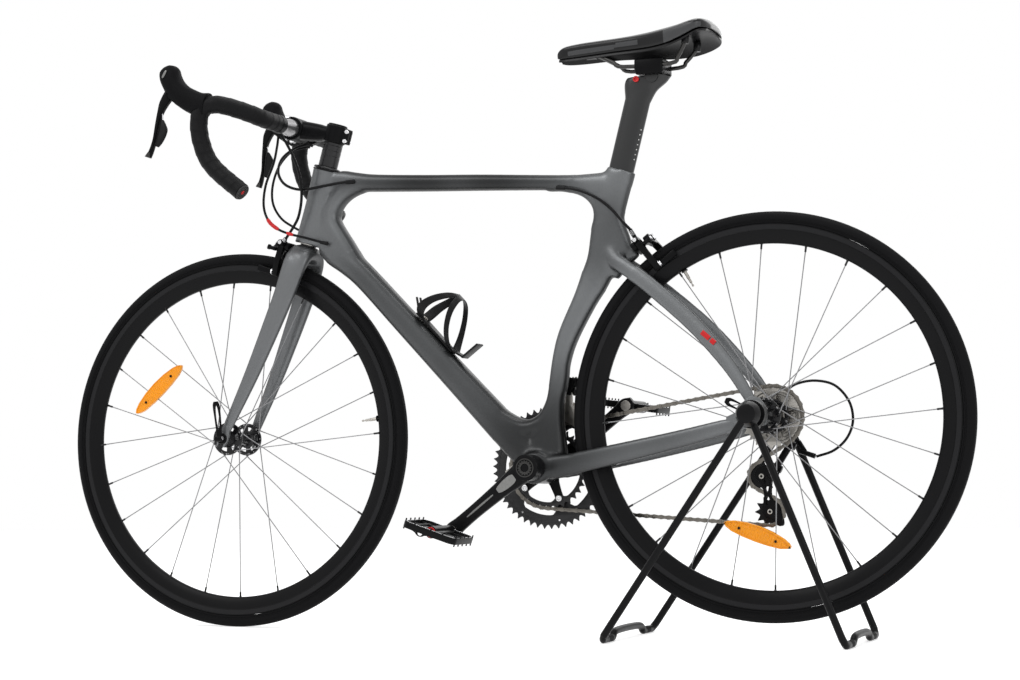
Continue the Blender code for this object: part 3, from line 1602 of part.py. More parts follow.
def make_stem():
    mid = STEER @ Vector((0, 0, STEM_MIDDLE))
    toward = (BAR_CENTRE - mid).normalized()
    y = Vector((0, 1, 0))
    up = toward.cross(y)
    low = STEER @ Vector((0, 0, STEM_FOOT))
    high = STEER @ Vector((0, 0, STEM_FOOT + STEM_HEIGHT))
    neck = loft(
        "neck",
        [oval(mid + toward * s, y, up, w, d, 10, 2.8) for s, w, d in STEM_NECK],
    )
    side = y * 0.0215
    bar_bore = (BAR_CLAMP_RADIUS + GAP) / math.cos(math.pi / 12)
    upright = STEER.to_3x3().to_4x4()
    back = upright @ Vector((1, 0, 0))
    pieces = [
        rod("clamp", low, high, 0.0195, HEAD_SIDES),
        neck,
        rod("bar_clamp", BAR_CENTRE - side, BAR_CENTRE + side, 0.0212, 14),
        rod("cap", high - (high - low) * 0.02, high + (high - low) * 0.11, 0.0172, HEAD_SIDES),
        box("ears", (0.014, 0.017, 0.027), Matrix.Translation(mid + back * 0.0215) @ upright, 0.002),
    ]
    for way in (-1, 1):
        for lift in (-1, 1):
            at = BAR_CENTRE + y * 0.0145 * way + up * 0.0185 * lift
            pieces.append(rod("screw", at - toward * 0.006, at + toward * 0.0165, 0.0042, 6))
        at = mid + back * 0.0245 + upright @ Vector((0, 0, 0.0085 * way))
        pieces.append(rod("screw", at - y * 0.0105, at + y * 0.0105, 0.0036, 6))
    cuts = [
        rod("bore", low - (high - low) * 0.2, high - (high - low) * 0.06, STEERER_RADIUS + GAP, HEAD_SIDES),
        rod("bar_bore", BAR_CENTRE - side * 1.4, BAR_CENTRE + side * 1.4, bar_bore, 12),
        box("slit", (0.020, 0.003, 0.060), Matrix.Translation(mid + back * 0.026) @ upright),
    ]
    return fused("stem", pieces, BLACK_METAL, cuts)


TAPE_START = 0.062


BAR_BEND = [
    (-359.5, 64, 886.5),
    (-370, 38, 892),
    (-390, 17, 900),
    (-411, 5, 906),
    (-430, 0, 906),
    (-443, 0, 898.5),
    (-448.5, 0, 886),
    (-449.5, 0, 867),
    (-445, 0, 842),
    (-433.5, 0, 813),
    (-412, 0, 787),
    (-368, 0, 750),
]


def bar_path():
    """The left half of the bar, middle to end, with the radius there: x, y, z in metres."""
    centre = BAR_CENTRE
    w = BAR_HALF_WIDTH
    flat = [
        (centre.x, 0, centre.z),
        (centre.x, -0.026, centre.z),
        (centre.x, -0.046, centre.z),
        (centre.x, -TAPE_START, centre.z),
        (centre.x, -w + 0.095, centre.z),
    ]
    bend = mm([(x, inward - 1000 * w, z) for x, inward, z in BAR_BEND])
    points = [Vector(p) for p in flat] + bend
    radii = [BAR_CLAMP_RADIUS, BAR_CLAMP_RADIUS, BAR_RADIUS + 0.0006] + [BAR_RADIUS] * (len(points) - 3)
    return points, radii


def pipe_rings(points, radii, sides=8):
    """Rings square to a path, each turned as little as possible from the one before."""
    out = []
    across = None
    for i, point in enumerate(points):
        before = points[max(i - 1, 0)]
        after = points[min(i + 1, len(points) - 1)]
        along = ((after - point).normalized() + (point - before).normalized()).normalized()
        if across is None:
            across = along.cross(Vector((0, 0, 1))).normalized()
        across = (across - along * across.dot(along)).normalized()
        out.append(oval(point, across, along.cross(across), radii[i], radii[i], sides))
    return out


def make_handlebar():
    points, radii = bar_path()
    half = pipe_rings(points, radii)
    other = [[Vector((p.x, -p.y, p.z)) for p in ring] for ring in half[:0:-1]]
    bar = loft("bar", other + half)
    end, before = points[-1], points[-2]
    along = (end - before).normalized()
    pieces = [bar]
    for side in (1, -1):
        flipped = Matrix.Scale(side, 4, (0, 1, 0))
        low = flipped @ (end - along * 0.0008)
        high = flipped @ (end + along * 0.003)
        pieces.append(rod("plug", low, high, TAPE_RADIUS - 0.001, 10, TAPE_RADIUS - 0.0035))
    return fused("handlebar", pieces, BAR_SILVER)


def make_tape(side):
    points = bar_path()[0]
    along = (points[-1] - points[-2]).normalized()
    points[-1] = points[-1] - along * (0.0008 + GAP)
    outer = pipe_rings(points, [TAPE_RADIUS] * len(points))[3:]
    inner = pipe_rings(points, [BAR_RADIUS + GAP * 2] * len(points))[3:]

    def build(bm):
        rows = []
        for ring in outer + inner[::-1]:
            rows.append([bm.verts.new((p.x, p.y * -side, p.z)) for p in ring])
        for low, high in zip(rows, rows[1:] + rows[:1]):
            for i in range(len(low)):
                j = (i + 1) % len(low)
                bm.faces.new((low[i], low[j], high[j], high[i]))

    return mesh_of("bar_tape_right" if side > 0 else "bar_tape_left", build, TAPE_BLACK)


HOOD = [
    (-441, 929, -455, 889, 15),
    (-456, 936, -473, 899, 16),
    (-469, 943.5, -488, 909.5, 16.5),
    (-479, 954, -505, 923, 16.5),
    (-484.5, 965, -516, 943, 16),
    (-487, 974.5, -522.5, 958, 15),
    (-493, 981, -523.5, 971, 12),
    (-503, 984, -518.5, 978.5, 6.5),
]
LEVER_PIVOT = Vector((-0.5065, 0, 0.931))
# Lever and paddle rows: front x, z, rear x, z, half width, and how far out from the hood they stand
LEVER = [
    (-514, 938, -500.5, 935, 7.6, 0),
    (-520, 929, -502, 924, 7.6, 0.5),
    (-525, 918, -510, 913.5, 7.4, 1.5),
    (-527.5, 902.5, -518.5, 900, 7, 3.5),
    (-531, 880, -524.5, 879, 6.6, 6),
    (-534.5, 854.5, -529.5, 854, 6, 9),
    (-541.5, 836, -534.5, 833.5, 5.3, 11),
    (-549, 826, -538.5, 822.5, 4.6, 12),
]
PADDLE = [
    (-520.2, 889, -516.5, 888, 2.6, 5),
    (-522.6, 880, -511.5, 879, 3.4, 6),
    (-524.9, 870, -508, 869, 3.6, 7),
    (-527.4, 858, -511.5, 857, 3.6, 8.5),
    (-529.4, 848, -518, 846.5, 3.4, 9.5),
    (-530.4, 842.5, -524.5, 840, 3, 10),
]
SHIFT_AXIS = (Vector((-0.5204, 0.005, 0.889)), Vector((-0.5302, 0.0098, 0.8425)))
MOUTH = [(-0.550, 0.9445), (-0.5135, 0.9445), (-0.4925, 0.934), (-0.4925, 0.895), (-0.550, 0.895)]


def lateral(side):
    return BAR_HALF_WIDTH * side


def outward(vector, side):
    """The vector with its Y measured outwards on the given side."""
    return Vector((vector.x, vector.y * side, vector.z))


def hand_name(stem, side):
    return stem + ("_right" if side > 0 else "_left")


def make_hood(side):
    y = lateral(side)
    body = slab("hood", HOOD, y, side, sides=12, squareness=2.5)
    points = bar_path()[0]
    rings = pipe_rings(points, [TAPE_RADIUS + GAP] * len(points))[6:]
    sleeve = loft("sleeve", [[Vector((p.x, p.y * -side, p.z)) for p in ring] for ring in rings])
    across = Vector((0, 1, 0))
    pivot = LEVER_PIVOT + across * y
    mouth = loft("mouth", [[Vector((x, y + s * 0.0088, z)) for x, z in MOUTH] for s in (-1, 1)])
    pin = rod("pin", pivot - across * 0.0145, pivot + across * 0.0145, 0.0028, 8)
    return fused(hand_name("lever_hood", side), [body], HOOD_BLACK, [sleeve, mouth, pin])


def make_brake_lever(side):
    y = lateral(side)
    across = Vector((0, 1, 0))
    pivot = LEVER_PIVOT + across * y
    blade = slab("lever", LEVER, y, side, sides=8, squareness=3)
    pin = rod("pin", pivot - across * 0.0142, pivot + across * 0.0142, 0.0025, 8)
    return fused(hand_name("brake_lever", side), [blade, pin], BLACK_METAL)


def make_shift_lever(side):
    made = slab(hand_name("shift_lever", side), PADDLE, lateral(side), side, sides=8, squareness=3)
    made.data.materials.append(BLACK_METAL)
    return made


# Bottle cage: laid out along the down tube's upper face, S down the tube and N away from it
CAGE_ALONG = Vector((0.6665, 0, -0.7455))
CAGE_OUT = Vector((0.7455, 0, 0.6665))
CAGE_FOOT = Vector((-0.150, 0, 0.526))
CAGE_BOLTS = (0.020, 0.084)
BOTTLE_RADIUS = 0.0356


# One side's arm: angle round the bottle from the base, how far down the tube and half its width, mm
CAGE_ARM = [
    (16, 17, 9),
    (50, 13, 9),
    (72, 13, 8),
    (100, 18, 7),
    (138, 29, 6.5),
    (165, 37, 6),
    (180, 41, 7),
]
CAGE_LEG = [
    (16, 99, 9),
    (40, 89, 7.5),
    (64, 78, 6.5),
    (90, 66, 6),
    (120, 54, 6),
    (155, 45, 6),
    (180, 42, 6.5),
]


def cage_band(place, middle, rows):
    """A flat band bent round the bottle from one side of the base to the other."""
    rings = []
    for way, steps in ((1, rows[:-1]), (-1, rows[::-1])):
        for angle, s, half in steps:
            t = math.radians(angle) * way
            ring = []
            for edge, depth in ((-1, 0), (1, 0), (1, 1), (-1, 1)):
                radius = BOTTLE_RADIUS + 0.0005 + 0.0024 * depth
                along = (s + edge * half) / 1000
                spot = Vector((along, radius * math.sin(t), middle - radius * math.cos(t)))
                ring.append(place @ spot)
            rings.append(ring)
    return loft("band", rings)


def make_bottle_cage():
    place = Matrix((CAGE_ALONG, (0, 1, 0), CAGE_OUT)).transposed().to_4x4()
    place.translation = CAGE_FOOT
    base = 0.0262
    middle = base + 0.003 + BOTTLE_RADIUS
    pieces = [
        box("base", (0.096, 0.022, 0.0045), place @ Matrix.Translation((0.052, 0, base + 0.0012)), 0.001),
        box("step", (0.029, 0.022, 0.0035), place @ CAGE_STEP),
        box("toe", (0.0035, 0.028, 0.038), place @ CAGE_TOE, 0.001),
    ]
    for rows in (CAGE_ARM, CAGE_LEG):
        pieces.append(cage_band(place, middle + 0.0002 * (rows is CAGE_LEG), rows))
    for side in (-1, 1):
        prong = Matrix.Translation((-0.003, 0.0075 * side, 0.0372)) @ Matrix.Rotation(math.radians(34), 4, "Y")
        pieces.append(box("prong", (0.032, 0.006, 0.0025), place @ prong))
    for s in CAGE_BOLTS:
        low = place @ Vector((s, 0, base - 0.008))
        high = place @ Vector((s, 0, base + 0.006))
        pieces.append(rod("bolt", low, high, 0.003, 6))
    return fused("bottle_cage", pieces, BLACK_PLASTIC)


CAGE_STEP = Matrix.Translation((0.1098, 0, 0.0322)) @ Matrix.Rotation(math.radians(-17.5), 4, "Y")
CAGE_TOE = Matrix.Translation((0.1235, 0, 0.0528)) @ Matrix.Rotation(math.radians(6), 4, "Y")


# Stand, laid out in the world round the lifted rear axle
STAND_AXLE = STANCE @ REAR_AXLE
CUP_START = 0.0795
GROOVE = (0.1137, 0.1303)
CUP_END = 0.146
REAR_EYE = (0.0095, 0.0165)


def hoop(name, half, foot_x):
    """One bent bar: down a leg, across the floor with a raised middle, and up the other leg."""
    axle = STAND_AXLE
    foot = Vector((foot_x, 0, STAND_TUBE_RADIUS))
    leg = (foot - Vector((axle.x, 0, axle.z))).normalized()
    corner = foot - leg * 0.030
    rise = 0.010
    half_path = [
        Vector((axle.x, half, axle.z)) + leg * 0.006,
        Vector((corner.x, half, corner.z)),
        Vector((foot.x - leg.x * 0.010, half - 0.002, foot.z - leg.z * 0.010)),
        Vector((foot.x - leg.x * 0.001, half - 0.010, STAND_TUBE_RADIUS)),
        Vector((foot.x, half - 0.026, STAND_TUBE_RADIUS)),
        Vector((foot.x, half - 0.056, STAND_TUBE_RADIUS)),
        Vector((foot.x, half - 0.080, STAND_TUBE_RADIUS + rise)),
    ]
    other = [Vector((p.x, -p.y, p.z)) for p in reversed(half_path)]
    return wire(name, half_path + other, STAND_TUBE_RADIUS, resolution=2)


def make_stand_front():
    pieces = [hoop("bar", STAND_FRONT_HALF, STAND_AXLE.x - STAND_FRONT_REACH)]
    for side in (-1, 1):
        profile = [
            (0, CUP_END),
            (0.015, CUP_END - 0.001),
            (0.0205, GROOVE[1]),
            (0.0088, GROOVE[1]),
            (0.0088, GROOVE[0]),
            (0.0225, GROOVE[0]),
            (0.0225, 0.096),
            (0.0165, CUP_START),
            (0.0115, CUP_START),
            (0.0115, 0.0905),
            (0, 0.0905),
        ]
        if side < 0:
            profile = [(r, -h) for r, h in reversed(profile)]
        pieces.append(turned("cup", profile, 12, STAND_AXLE))
    return fused("stand_front_hoop", pieces, STAND_BLACK)


def make_stand_rear():
    pieces = [hoop("bar", STAND_REAR_HALF, STAND_AXLE.x + STAND_REAR_REACH)]
    inner, outer = REAR_EYE
    cuts = []
    for side in (-1, 1):
        low, high = sorted((side * (GROOVE[0] + GAP), side * (GROOVE[1] - GAP)))
        y = Vector((0, 1, 0))
        pieces.append(rod("eye", STAND_AXLE + y * low, STAND_AXLE + y * high, outer, 12))
        cuts.append(rod("bore", STAND_AXLE + y * (low - 0.002), STAND_AXLE + y * (high + 0.002), inner, 12))
    return fused("stand_rear_hoop", pieces, STAND_BLACK, cuts)


# Build
for old in list(bpy.data.objects):
    bpy.data.objects.remove(old)

bicycle = collection("Road bike")
workshop = collection("Workshop")

GRAPHITE = material("Graphite frame paint", (0.075, 0.08, 0.085), 0.32, 0.55)
FORK_GREY = material("Grey fork paint", (0.16, 0.17, 0.18), 0.3, 0.55)
CARBON = material("Carbon spacers", (0.02, 0.02, 0.022), 0.3)
STEEL = material("Bright steel", (0.42, 0.41, 0.39), 0.35, 1.0)
BLACK_METAL = material("Black anodised aluminium", (0.016, 0.016, 0.018), 0.35, 0.4)
BLACK_PLASTIC = material("Black plastic", (0.012, 0.012, 0.012), 0.4)
CRANK_BLACK = material("Crank black", (0.018, 0.018, 0.02), 0.3, 0.4)
RING_BLACK = material("Chainring black", (0.014, 0.014, 0.015), 0.35, 0.4)
RIM_BLACK = material("Satin black rim", (0.014, 0.014, 0.016), 0.42, 0.3)
HUB_BLACK = material("Hub and spoke black", (0.016, 0.016, 0.017), 0.35, 0.5)
RUBBER = material("Tyre rubber", (0.014, 0.014, 0.014), 0.75)
POST_BLACK = material("Seatpost black", (0.015, 0.016, 0.018), 0.42)
SADDLE_BLACK = material("Saddle cover", (0.01, 0.01, 0.01), 0.45)
SHELL_GREY = material("Saddle shell", (0.1, 0.1, 0.105), 0.45)
BAR_SILVER = material("Handlebar grey", (0.3, 0.3, 0.31), 0.35, 0.7)
TAPE_BLACK = material("Bar tape", (0.016, 0.016, 0.017), 0.85)
HOOD_BLACK = material("Hood rubber", (0.013, 0.013, 0.013), 0.7)
STAND_BLACK = material("Stand black", (0.01, 0.01, 0.011), 0.3)

stance = bpy.data.objects.new("stance", None)
bicycle.objects.link(stance)
stance.matrix_world = STANCE

seat(make_frame(), BB)
seat(make_bottom_bracket(), BB)
seat(make_headset_bearing(), FRONT_AXLE)
seat(make_headset_spacers(), FRONT_AXLE)
seat(make_fork(), FRONT_AXLE)
seat(make_bottle_cage(), CAGE_FOOT)

seat(make_tyre("front_tyre", FRONT_AXLE), FRONT_AXLE)
seat(make_tyre("rear_tyre", REAR_AXLE), REAR_AXLE)
seat(make_rim("front_rim", FRONT_AXLE, VALVE_FRONT), FRONT_AXLE)
seat(make_rim("rear_rim", REAR_AXLE, VALVE_REAR), REAR_AXLE)
seat(make_front_hub(), FRONT_AXLE)
seat(make_rear_hub(), REAR_AXLE)
seat(make_skewer("front_axle_skewer", FRONT_AXLE, FORK_OUTER), FRONT_AXLE)
seat(make_skewer("rear_axle_skewer", REAR_AXLE, DROPOUT_OUTER), REAR_AXLE)
FRONT_ARM = [(1, 0.5, 4.5, 2.4), (14, 1.5, 5.5, 2.2), (36, 0.8, 6.5, 2), (58, -1.2, 7, 1.9), (66, -2, 4.5, 1.6)]
REAR_ARM = [(1, 1.5, 4.5, 2.2), (11, 5, 5, 1.9), (34, 6, 6.2, 1.8), (50, 6, 6.8, 1.7), (57, 6, 4, 1.5)]
seat(
    make_skewer_lever("front_skewer_lever", FRONT_AXLE, FORK_OUTER, (-0.07, 1), FRONT_ARM),
    lever_pivot(FRONT_AXLE, FORK_OUTER),
)
seat(
    make_skewer_lever("rear_skewer_lever", REAR_AXLE, DROPOUT_OUTER, (-0.89, 0.456), REAR_ARM),
    lever_pivot(REAR_AXLE, DROPOUT_OUTER),
)

seat(make_cassette(), REAR_AXLE)
seat(make_chainrings(), BB)
seat(make_crank_right(), BB)
seat(make_crank_left(), BB)
for way in (-1, 1):
    pedal, pedal_axle = make_pedal(way)
    seat(pedal, pedal_axle)
seat(make_chain(), BB)
seat(make_pulley("guide_pulley", GUIDE), GUIDE)
seat(make_pulley("tension_pulley", TENSION), TENSION)
seat(make_derailleur_bracket(), HANGER)
seat(make_derailleur_link(), LINK_TOP)
seat(make_derailleur_knuckle(), LINK_FOOT)
seat(make_derailleur_cage(), CAGE_PIVOT)
seat(make_front_derailleur_body(), FD_PIVOT)
seat(make_front_derailleur_cage(), FD_PIVOT)

for prefix, place, side, barrel in (
    ("front", FRONT_BRAKE, -1, FRONT_BARREL),
    ("rear", REAR_BRAKE, 1, REAR_BARREL),
):
    bracket, near_arm, far_arm = make_brake(prefix, place, side, barrel)
    seat(bracket, place.translation)
    seat(near_arm, brake_point(place, side, (ARM_PIVOT[0] * 1000, 0, ARM_PIVOT[1] * 1000)))
    seat(far_arm, place.translation)
for made in make_housings():
    seat(as_mesh(made, BLACK_PLASTIC), BB)
seat(as_mesh(make_rear_derailleur_housing(), BLACK_PLASTIC), HANGER)

seat(make_seatpost(), POST_TOP)
seat(make_saddle_clamp(), TILT_AXIS)
seat(as_mesh(make_saddle_rails(), STEEL), RAIL_MIDDLE)
seat(make_shell(), RAIL_MIDDLE)
seat(make_saddle_cover(), RAIL_MIDDLE)

seat(make_stem(), BAR_CENTRE)
seat(make_handlebar(), BAR_CENTRE)
for way in (-1, 1):
    hand = Vector((0, lateral(way), 0))
    seat(make_tape(way), BAR_CENTRE)
    seat(make_hood(way), BAR_CENTRE)
    seat(make_brake_lever(way), LEVER_PIVOT + hand)
    seat(make_shift_lever(way), outward(SHIFT_AXIS[0], way) + hand)

front_stand = make_stand_front()
rear_stand = make_stand_rear()
for made in (front_stand, rear_stand):
    made.data.transform(Matrix.Translation(-STAND_AXLE))
    made.location = STAND_AXLE
    made.data.shade_smooth()
    made.data.set_sharp_from_angle(angle=math.radians(35))
    workshop.objects.unlink(made)
    bicycle.objects.link(made)
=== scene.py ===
"""Road bike on its rear display stand: the looks of every piece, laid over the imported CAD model.

Lengths are metres and angles degrees unless a name says otherwise. The bike is laid out in its own
frame, wheels level: -X forward, +Y the drive side, +Z up. STANCE then lifts the rear wheel onto the
stand. The tables of the main forms are the ones that the CAD source is built from.
"""

import math

import bmesh
import bpy
from mathutils import Matrix, Vector


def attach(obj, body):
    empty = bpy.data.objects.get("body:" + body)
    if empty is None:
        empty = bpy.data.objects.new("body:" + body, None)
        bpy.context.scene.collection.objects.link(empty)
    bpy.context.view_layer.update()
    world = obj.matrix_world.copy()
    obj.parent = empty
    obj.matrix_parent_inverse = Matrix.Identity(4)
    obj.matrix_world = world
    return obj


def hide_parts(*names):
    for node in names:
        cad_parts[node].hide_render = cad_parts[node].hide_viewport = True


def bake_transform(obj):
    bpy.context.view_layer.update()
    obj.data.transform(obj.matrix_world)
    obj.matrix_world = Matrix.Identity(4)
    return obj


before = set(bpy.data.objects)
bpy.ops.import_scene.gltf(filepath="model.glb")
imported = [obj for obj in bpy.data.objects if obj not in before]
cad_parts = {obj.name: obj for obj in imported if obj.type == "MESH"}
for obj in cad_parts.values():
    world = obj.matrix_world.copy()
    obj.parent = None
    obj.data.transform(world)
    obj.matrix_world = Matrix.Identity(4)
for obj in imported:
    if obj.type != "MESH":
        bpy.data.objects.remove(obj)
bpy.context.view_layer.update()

bl_info = {"name": "Road bike", "version": (1, 0, 0), "blender": (4, 5, 0),
    "location": "3D View > Sidebar > Road bike",
    "description": "Builds a road bike on its rear display stand, piece by piece", "category": "Add Mesh"}

# Driving dimensions, the same as in the CAD source
WHEELBASE = 0.980
WHEEL_RADIUS = 0.335
TYRE_WIDTH = 0.025
RIM_INNER = 0.282
RIM_OUTER = 0.3142
RIM_WIDTH = 0.0236
SPOKES_PER_SIDE = 12
BB_DROP = 0.071
CHAINSTAY_LENGTH = 0.4062
HEAD_ANGLE = 73.0
FORK_RAKE = 0.045
CRANK_LENGTH = 0.170
CRANK_TURN = math.radians(36.7)
RING_TEETH = (34, 50)
COG_TEETH = (25, 23, 21, 19, 17, 15, 14, 13, 12, 11)
PULLEY_TEETH = 11
CHAIN_PITCH = 0.0127
BAR_HALF_WIDTH = 0.188
REAR_LIFT = 0.029
GAP = 0.0003
FRONT_HUB_HALF = 0.050
REAR_HUB_HALF = 0.065
INNER_RING_Y = 0.0405
OUTER_RING_Y = 0.0475
FIRST_COG_Y = 0.0240
COG_STEP = 0.00395
HEAD_LOW = 0.3703
HEAD_HIGH = 0.5084
STEM_HEIGHT = 0.031
STEM_LENGTH = 0.080
BB_SHELL_RADIUS = 0.0272
BB_HALF = 0.034
BAR_CLAMP_RADIUS = 0.0159
BAR_RADIUS = 0.0119
TAPE_RADIUS = 0.0158
POST_DEPTH = 0.044
POST_WIDTH = 0.0235
STAND_RADIUS = 0.006

# Places that follow from them
X = Vector((1, 0, 0))
Y = Vector((0, 1, 0))
Z = Vector((0, 0, 1))
HERE = Matrix.Identity(4)
FRONT_AXLE = Vector((-WHEELBASE / 2, 0, WHEEL_RADIUS))
REAR_AXLE = Vector((WHEELBASE / 2, 0, WHEEL_RADIUS))
BB = REAR_AXLE + Vector((-math.sqrt(CHAINSTAY_LENGTH**2 - BB_DROP**2), 0, -BB_DROP))
TILT = math.asin(REAR_LIFT / WHEELBASE)
STANCE = (Matrix.Translation(FRONT_AXLE + X * ((1 - math.cos(TILT)) * WHEELBASE / 2)) @ Matrix.Rotation(-TILT,
    4, "Y") @ Matrix.Translation(-FRONT_AXLE))
STEER = (Matrix.Translation(FRONT_AXLE) @ Matrix.Rotation(math.radians(90 - HEAD_ANGLE), 4, "Y") @
    Matrix.Translation((FORK_RAKE, 0, 0)))
STEM_FOOT = HEAD_HIGH + 0.0006 + 0.0490
STEM_MIDDLE = STEM_FOOT + STEM_HEIGHT / 2
STEM_DROP = math.radians(5.8)
BAR_CENTRE = STEER @ Vector((-STEM_LENGTH * math.cos(STEM_DROP), 0,
    STEM_MIDDLE - STEM_LENGTH * math.sin(STEM_DROP)))
SEAT_LEAN = math.radians(16)
POST_TOP = Vector((0.2535, 0, 0.761))
STAND_AXLE = STANCE @ REAR_AXLE


# Laying out points


def mm(points):
    return [Vector(p) / 1000 for p in points]


def smooth(points, per_span=6):
    """Points along the curve that passes through the given rows of numbers, ends held."""
    rows = [list(p) for p in points]
    out = []
    for i in range(len(rows) - 1):
        b, c = rows[i], rows[i + 1]
        a = rows[i - 1] if i else [2 * p - q for p, q in zip(b, c)]
        d = rows[i + 2] if i + 2 < len(rows) else [2 * q - p for p, q in zip(b, c)]
        for step in range(per_span):
            t = step / per_span
            out.append([(2 * q + (r - p) * t + (2 * p - 5 * q + 4 * r - s) * t**2 + (3 * q - p - 3 * r + s) *
                t**3) / 2 for p, q, r, s in zip(a, b, c, d)])
    return out + [rows[-1]]


def oval(centre, across, up, half_across, half_up, sides=24, squareness=2.0):
    """Points of a superellipse round centre; a squareness of 2 is an ellipse."""
    power = 2 / squareness
    ring = []
    for i in range(sides):
        turn = 2 * math.pi * (i + 0.5) / sides
        a = math.copysign(abs(math.cos(turn)) ** power, math.cos(turn))
        b = math.copysign(abs(math.sin(turn)) ** power, math.sin(turn))
        ring.append(Vector(centre) + Vector(across) * (half_across * a) + Vector(up) * (half_up * b))
    return ring


def arc(centre, radius, start, end, steps):
    turns = [math.radians(start + (end - start) * i / steps) for i in range(steps + 1)]
    return [(centre[0] + radius * math.cos(t), centre[1] + radius * math.sin(t)) for t in turns]


def circle(centre, radius, steps=24):
    return arc(centre, radius, 0, 360, steps)[:-1]


def pitch_radius(teeth):
    return CHAIN_PITCH / (2 * math.sin(math.pi / teeth))


def toothed(centre, teeth, phase=0.0):
    """A sprocket's outline: round valleys that seat the rollers and pointed teeth between them."""
    pitch = pitch_radius(teeth)
    outline = []
    for i in range(teeth):
        valley = 2 * math.pi * (i + phase) / teeth
        step = 2 * math.pi / teeth
        for share, radius in ((-0.2, -0.0024), (0, -0.0040), (0.2, -0.0024), (0.36, 0.0008), (0.46, 0.0034),
                (0.54, 0.0034), (0.64, 0.0008)):
            turn = valley + step * share
            outline.append((centre[0] + (pitch + radius) * math.cos(turn), centre[1] + (pitch + radius) *
                math.sin(turn)))
    return outline


def pipe_rings(points, radii, sides=20):
    """Rings square to a path, each turned as little as possible from the one before."""
    points = [Vector(p) for p in points]
    if not isinstance(radii, (list, tuple)):
        radii = [radii] * len(points)
    out = []
    across = None
    for i, point in enumerate(points):
        before = points[max(i - 1, 0)]
        after = points[min(i + 1, len(points) - 1)]
        along = (after - before).normalized()
        if across is None:
            aim = Z if abs(along.z) < 0.9 else X
            across = along.cross(aim).normalized()
        across = (across - along * across.dot(along)).normalized()
        out.append(oval(point, across, along.cross(across), radii[i], radii[i], sides))
    return out


def tube_rings(rows, sides=40, squareness=2.4, place=HERE, depth=None, per_span=5):
    """Rings of a frame tube through rows of x, y, z, half depth and half width, in millimetres."""
    rows = smooth(rows, per_span)
    centres = mm([row[:3] for row in rows])
    rings = []
    for i, row in enumerate(rows):
        along = (centres[min(i + 1, len(rows) - 1)] - centres[max(i - 1, 0)]).normalized()
        if depth:
            up = (Vector(depth) - along * along.dot(Vector(depth))).normalized()
            across = along.cross(up)
        else:
            across = (Y - along * along.y).normalized()
            up = along.cross(across)
        ring = oval(centres[i], across, up, row[4] / 1000, row[3] / 1000, sides, squareness)
        rings.append([place @ p for p in ring])
    return rings


# Working on meshes with Blender's own tools


def clear_choice():
    if bpy.context.mode != "OBJECT":
        bpy.ops.object.mode_set(mode="OBJECT")
    bpy.ops.object.select_all(action="DESELECT")


def choose(*pieces):
    clear_choice()
    for piece in pieces:
        piece.select_set(True)
    bpy.context.view_layer.objects.active = pieces[0]


def edit(piece):
    choose(piece)
    bpy.ops.object.mode_set(mode="EDIT")
    bpy.ops.mesh.select_all(action="SELECT")


def weld(piece, distance=0.000002):
    """Merges doubles, closes open ends and turns the faces outwards."""
    edit(piece)
    bpy.ops.mesh.remove_doubles(threshold=distance)
    bpy.ops.mesh.select_all(action="DESELECT")
    bpy.ops.mesh.select_non_manifold(use_wire=False, use_multi_face=False, use_verts=False)
    bpy.ops.mesh.edge_face_add()
    bpy.ops.mesh.select_all(action="SELECT")
    bpy.ops.mesh.normals_make_consistent(inside=False)
    bpy.ops.object.mode_set(mode="OBJECT")
    return piece


def skin(name, rings, loop=False):
    """A grid wrapped over rings of points, capped at its ends unless the rings close on themselves."""
    clear_choice()
    rows = [*rings, rings[0]] if loop else list(rings)
    around = len(rows[0])
    bpy.ops.mesh.primitive_grid_add(x_subdivisions=around, y_subdivisions=len(rows) - 1, size=1)
    made = bpy.context.object
    made.name = name
    spots = [Vector(p) for ring in rows for p in [*ring, ring[0]]]
    flat = [number for spot in spots for number in spot]
    made.data.vertices.foreach_set("co", flat)
    edit(made)
    bpy.ops.mesh.remove_doubles(threshold=0.000002)
    if not loop:
        bpy.ops.mesh.select_all(action="DESELECT")
        bpy.ops.mesh.select_non_manifold(use_wire=False, use_multi_face=False, use_verts=False)
        bpy.ops.mesh.fill_holes(sides=0)
    bpy.ops.mesh.select_all(action="SELECT")
    bpy.ops.mesh.normals_make_consistent(inside=False)
    bpy.ops.object.mode_set(mode="OBJECT")
    return made


def pipe(name, points, radii, sides=20, loop=False):
    return skin(name, pipe_rings(points, radii, sides), loop)


def turned(name, profile, centre, turn=HERE, steps=64, ring=False):
    """Turns (radius, height) points about the local Z axis; a ring's profile closes on itself."""
    rings = []
    for radius, height in profile:
        ring = [Vector((radius * math.cos(a), radius * math.sin(a), height)) for a in turns_of(steps)]
        rings.append([Vector(centre) + turn.to_3x3() @ p for p in ring])
    return skin(name, rings, ring)


def turns_of(steps):
    return [2 * math.pi * i / steps for i in range(steps)]


ALONG_Y = Matrix.Rotation(math.radians(-90), 4, "X")


def rod(name, start, end, radius, sides=24, end_radius=None, chamfer=0.0004):
    """A round bar between two points, with softened rims."""
    start, end = Vector(start), Vector(end)
    length = (end - start).length
    turn = (end - start).to_track_quat("Z", "Y").to_matrix().to_4x4()
    high = radius if end_radius is None else end_radius
    soft = min(chamfer, radius * 0.3, length * 0.3)
    profile = [(0, 0), (radius - soft, 0), (radius, soft), (high, length - soft), (high - soft, length),
        (0, length)]
    return turned(name, profile, start, turn, sides)


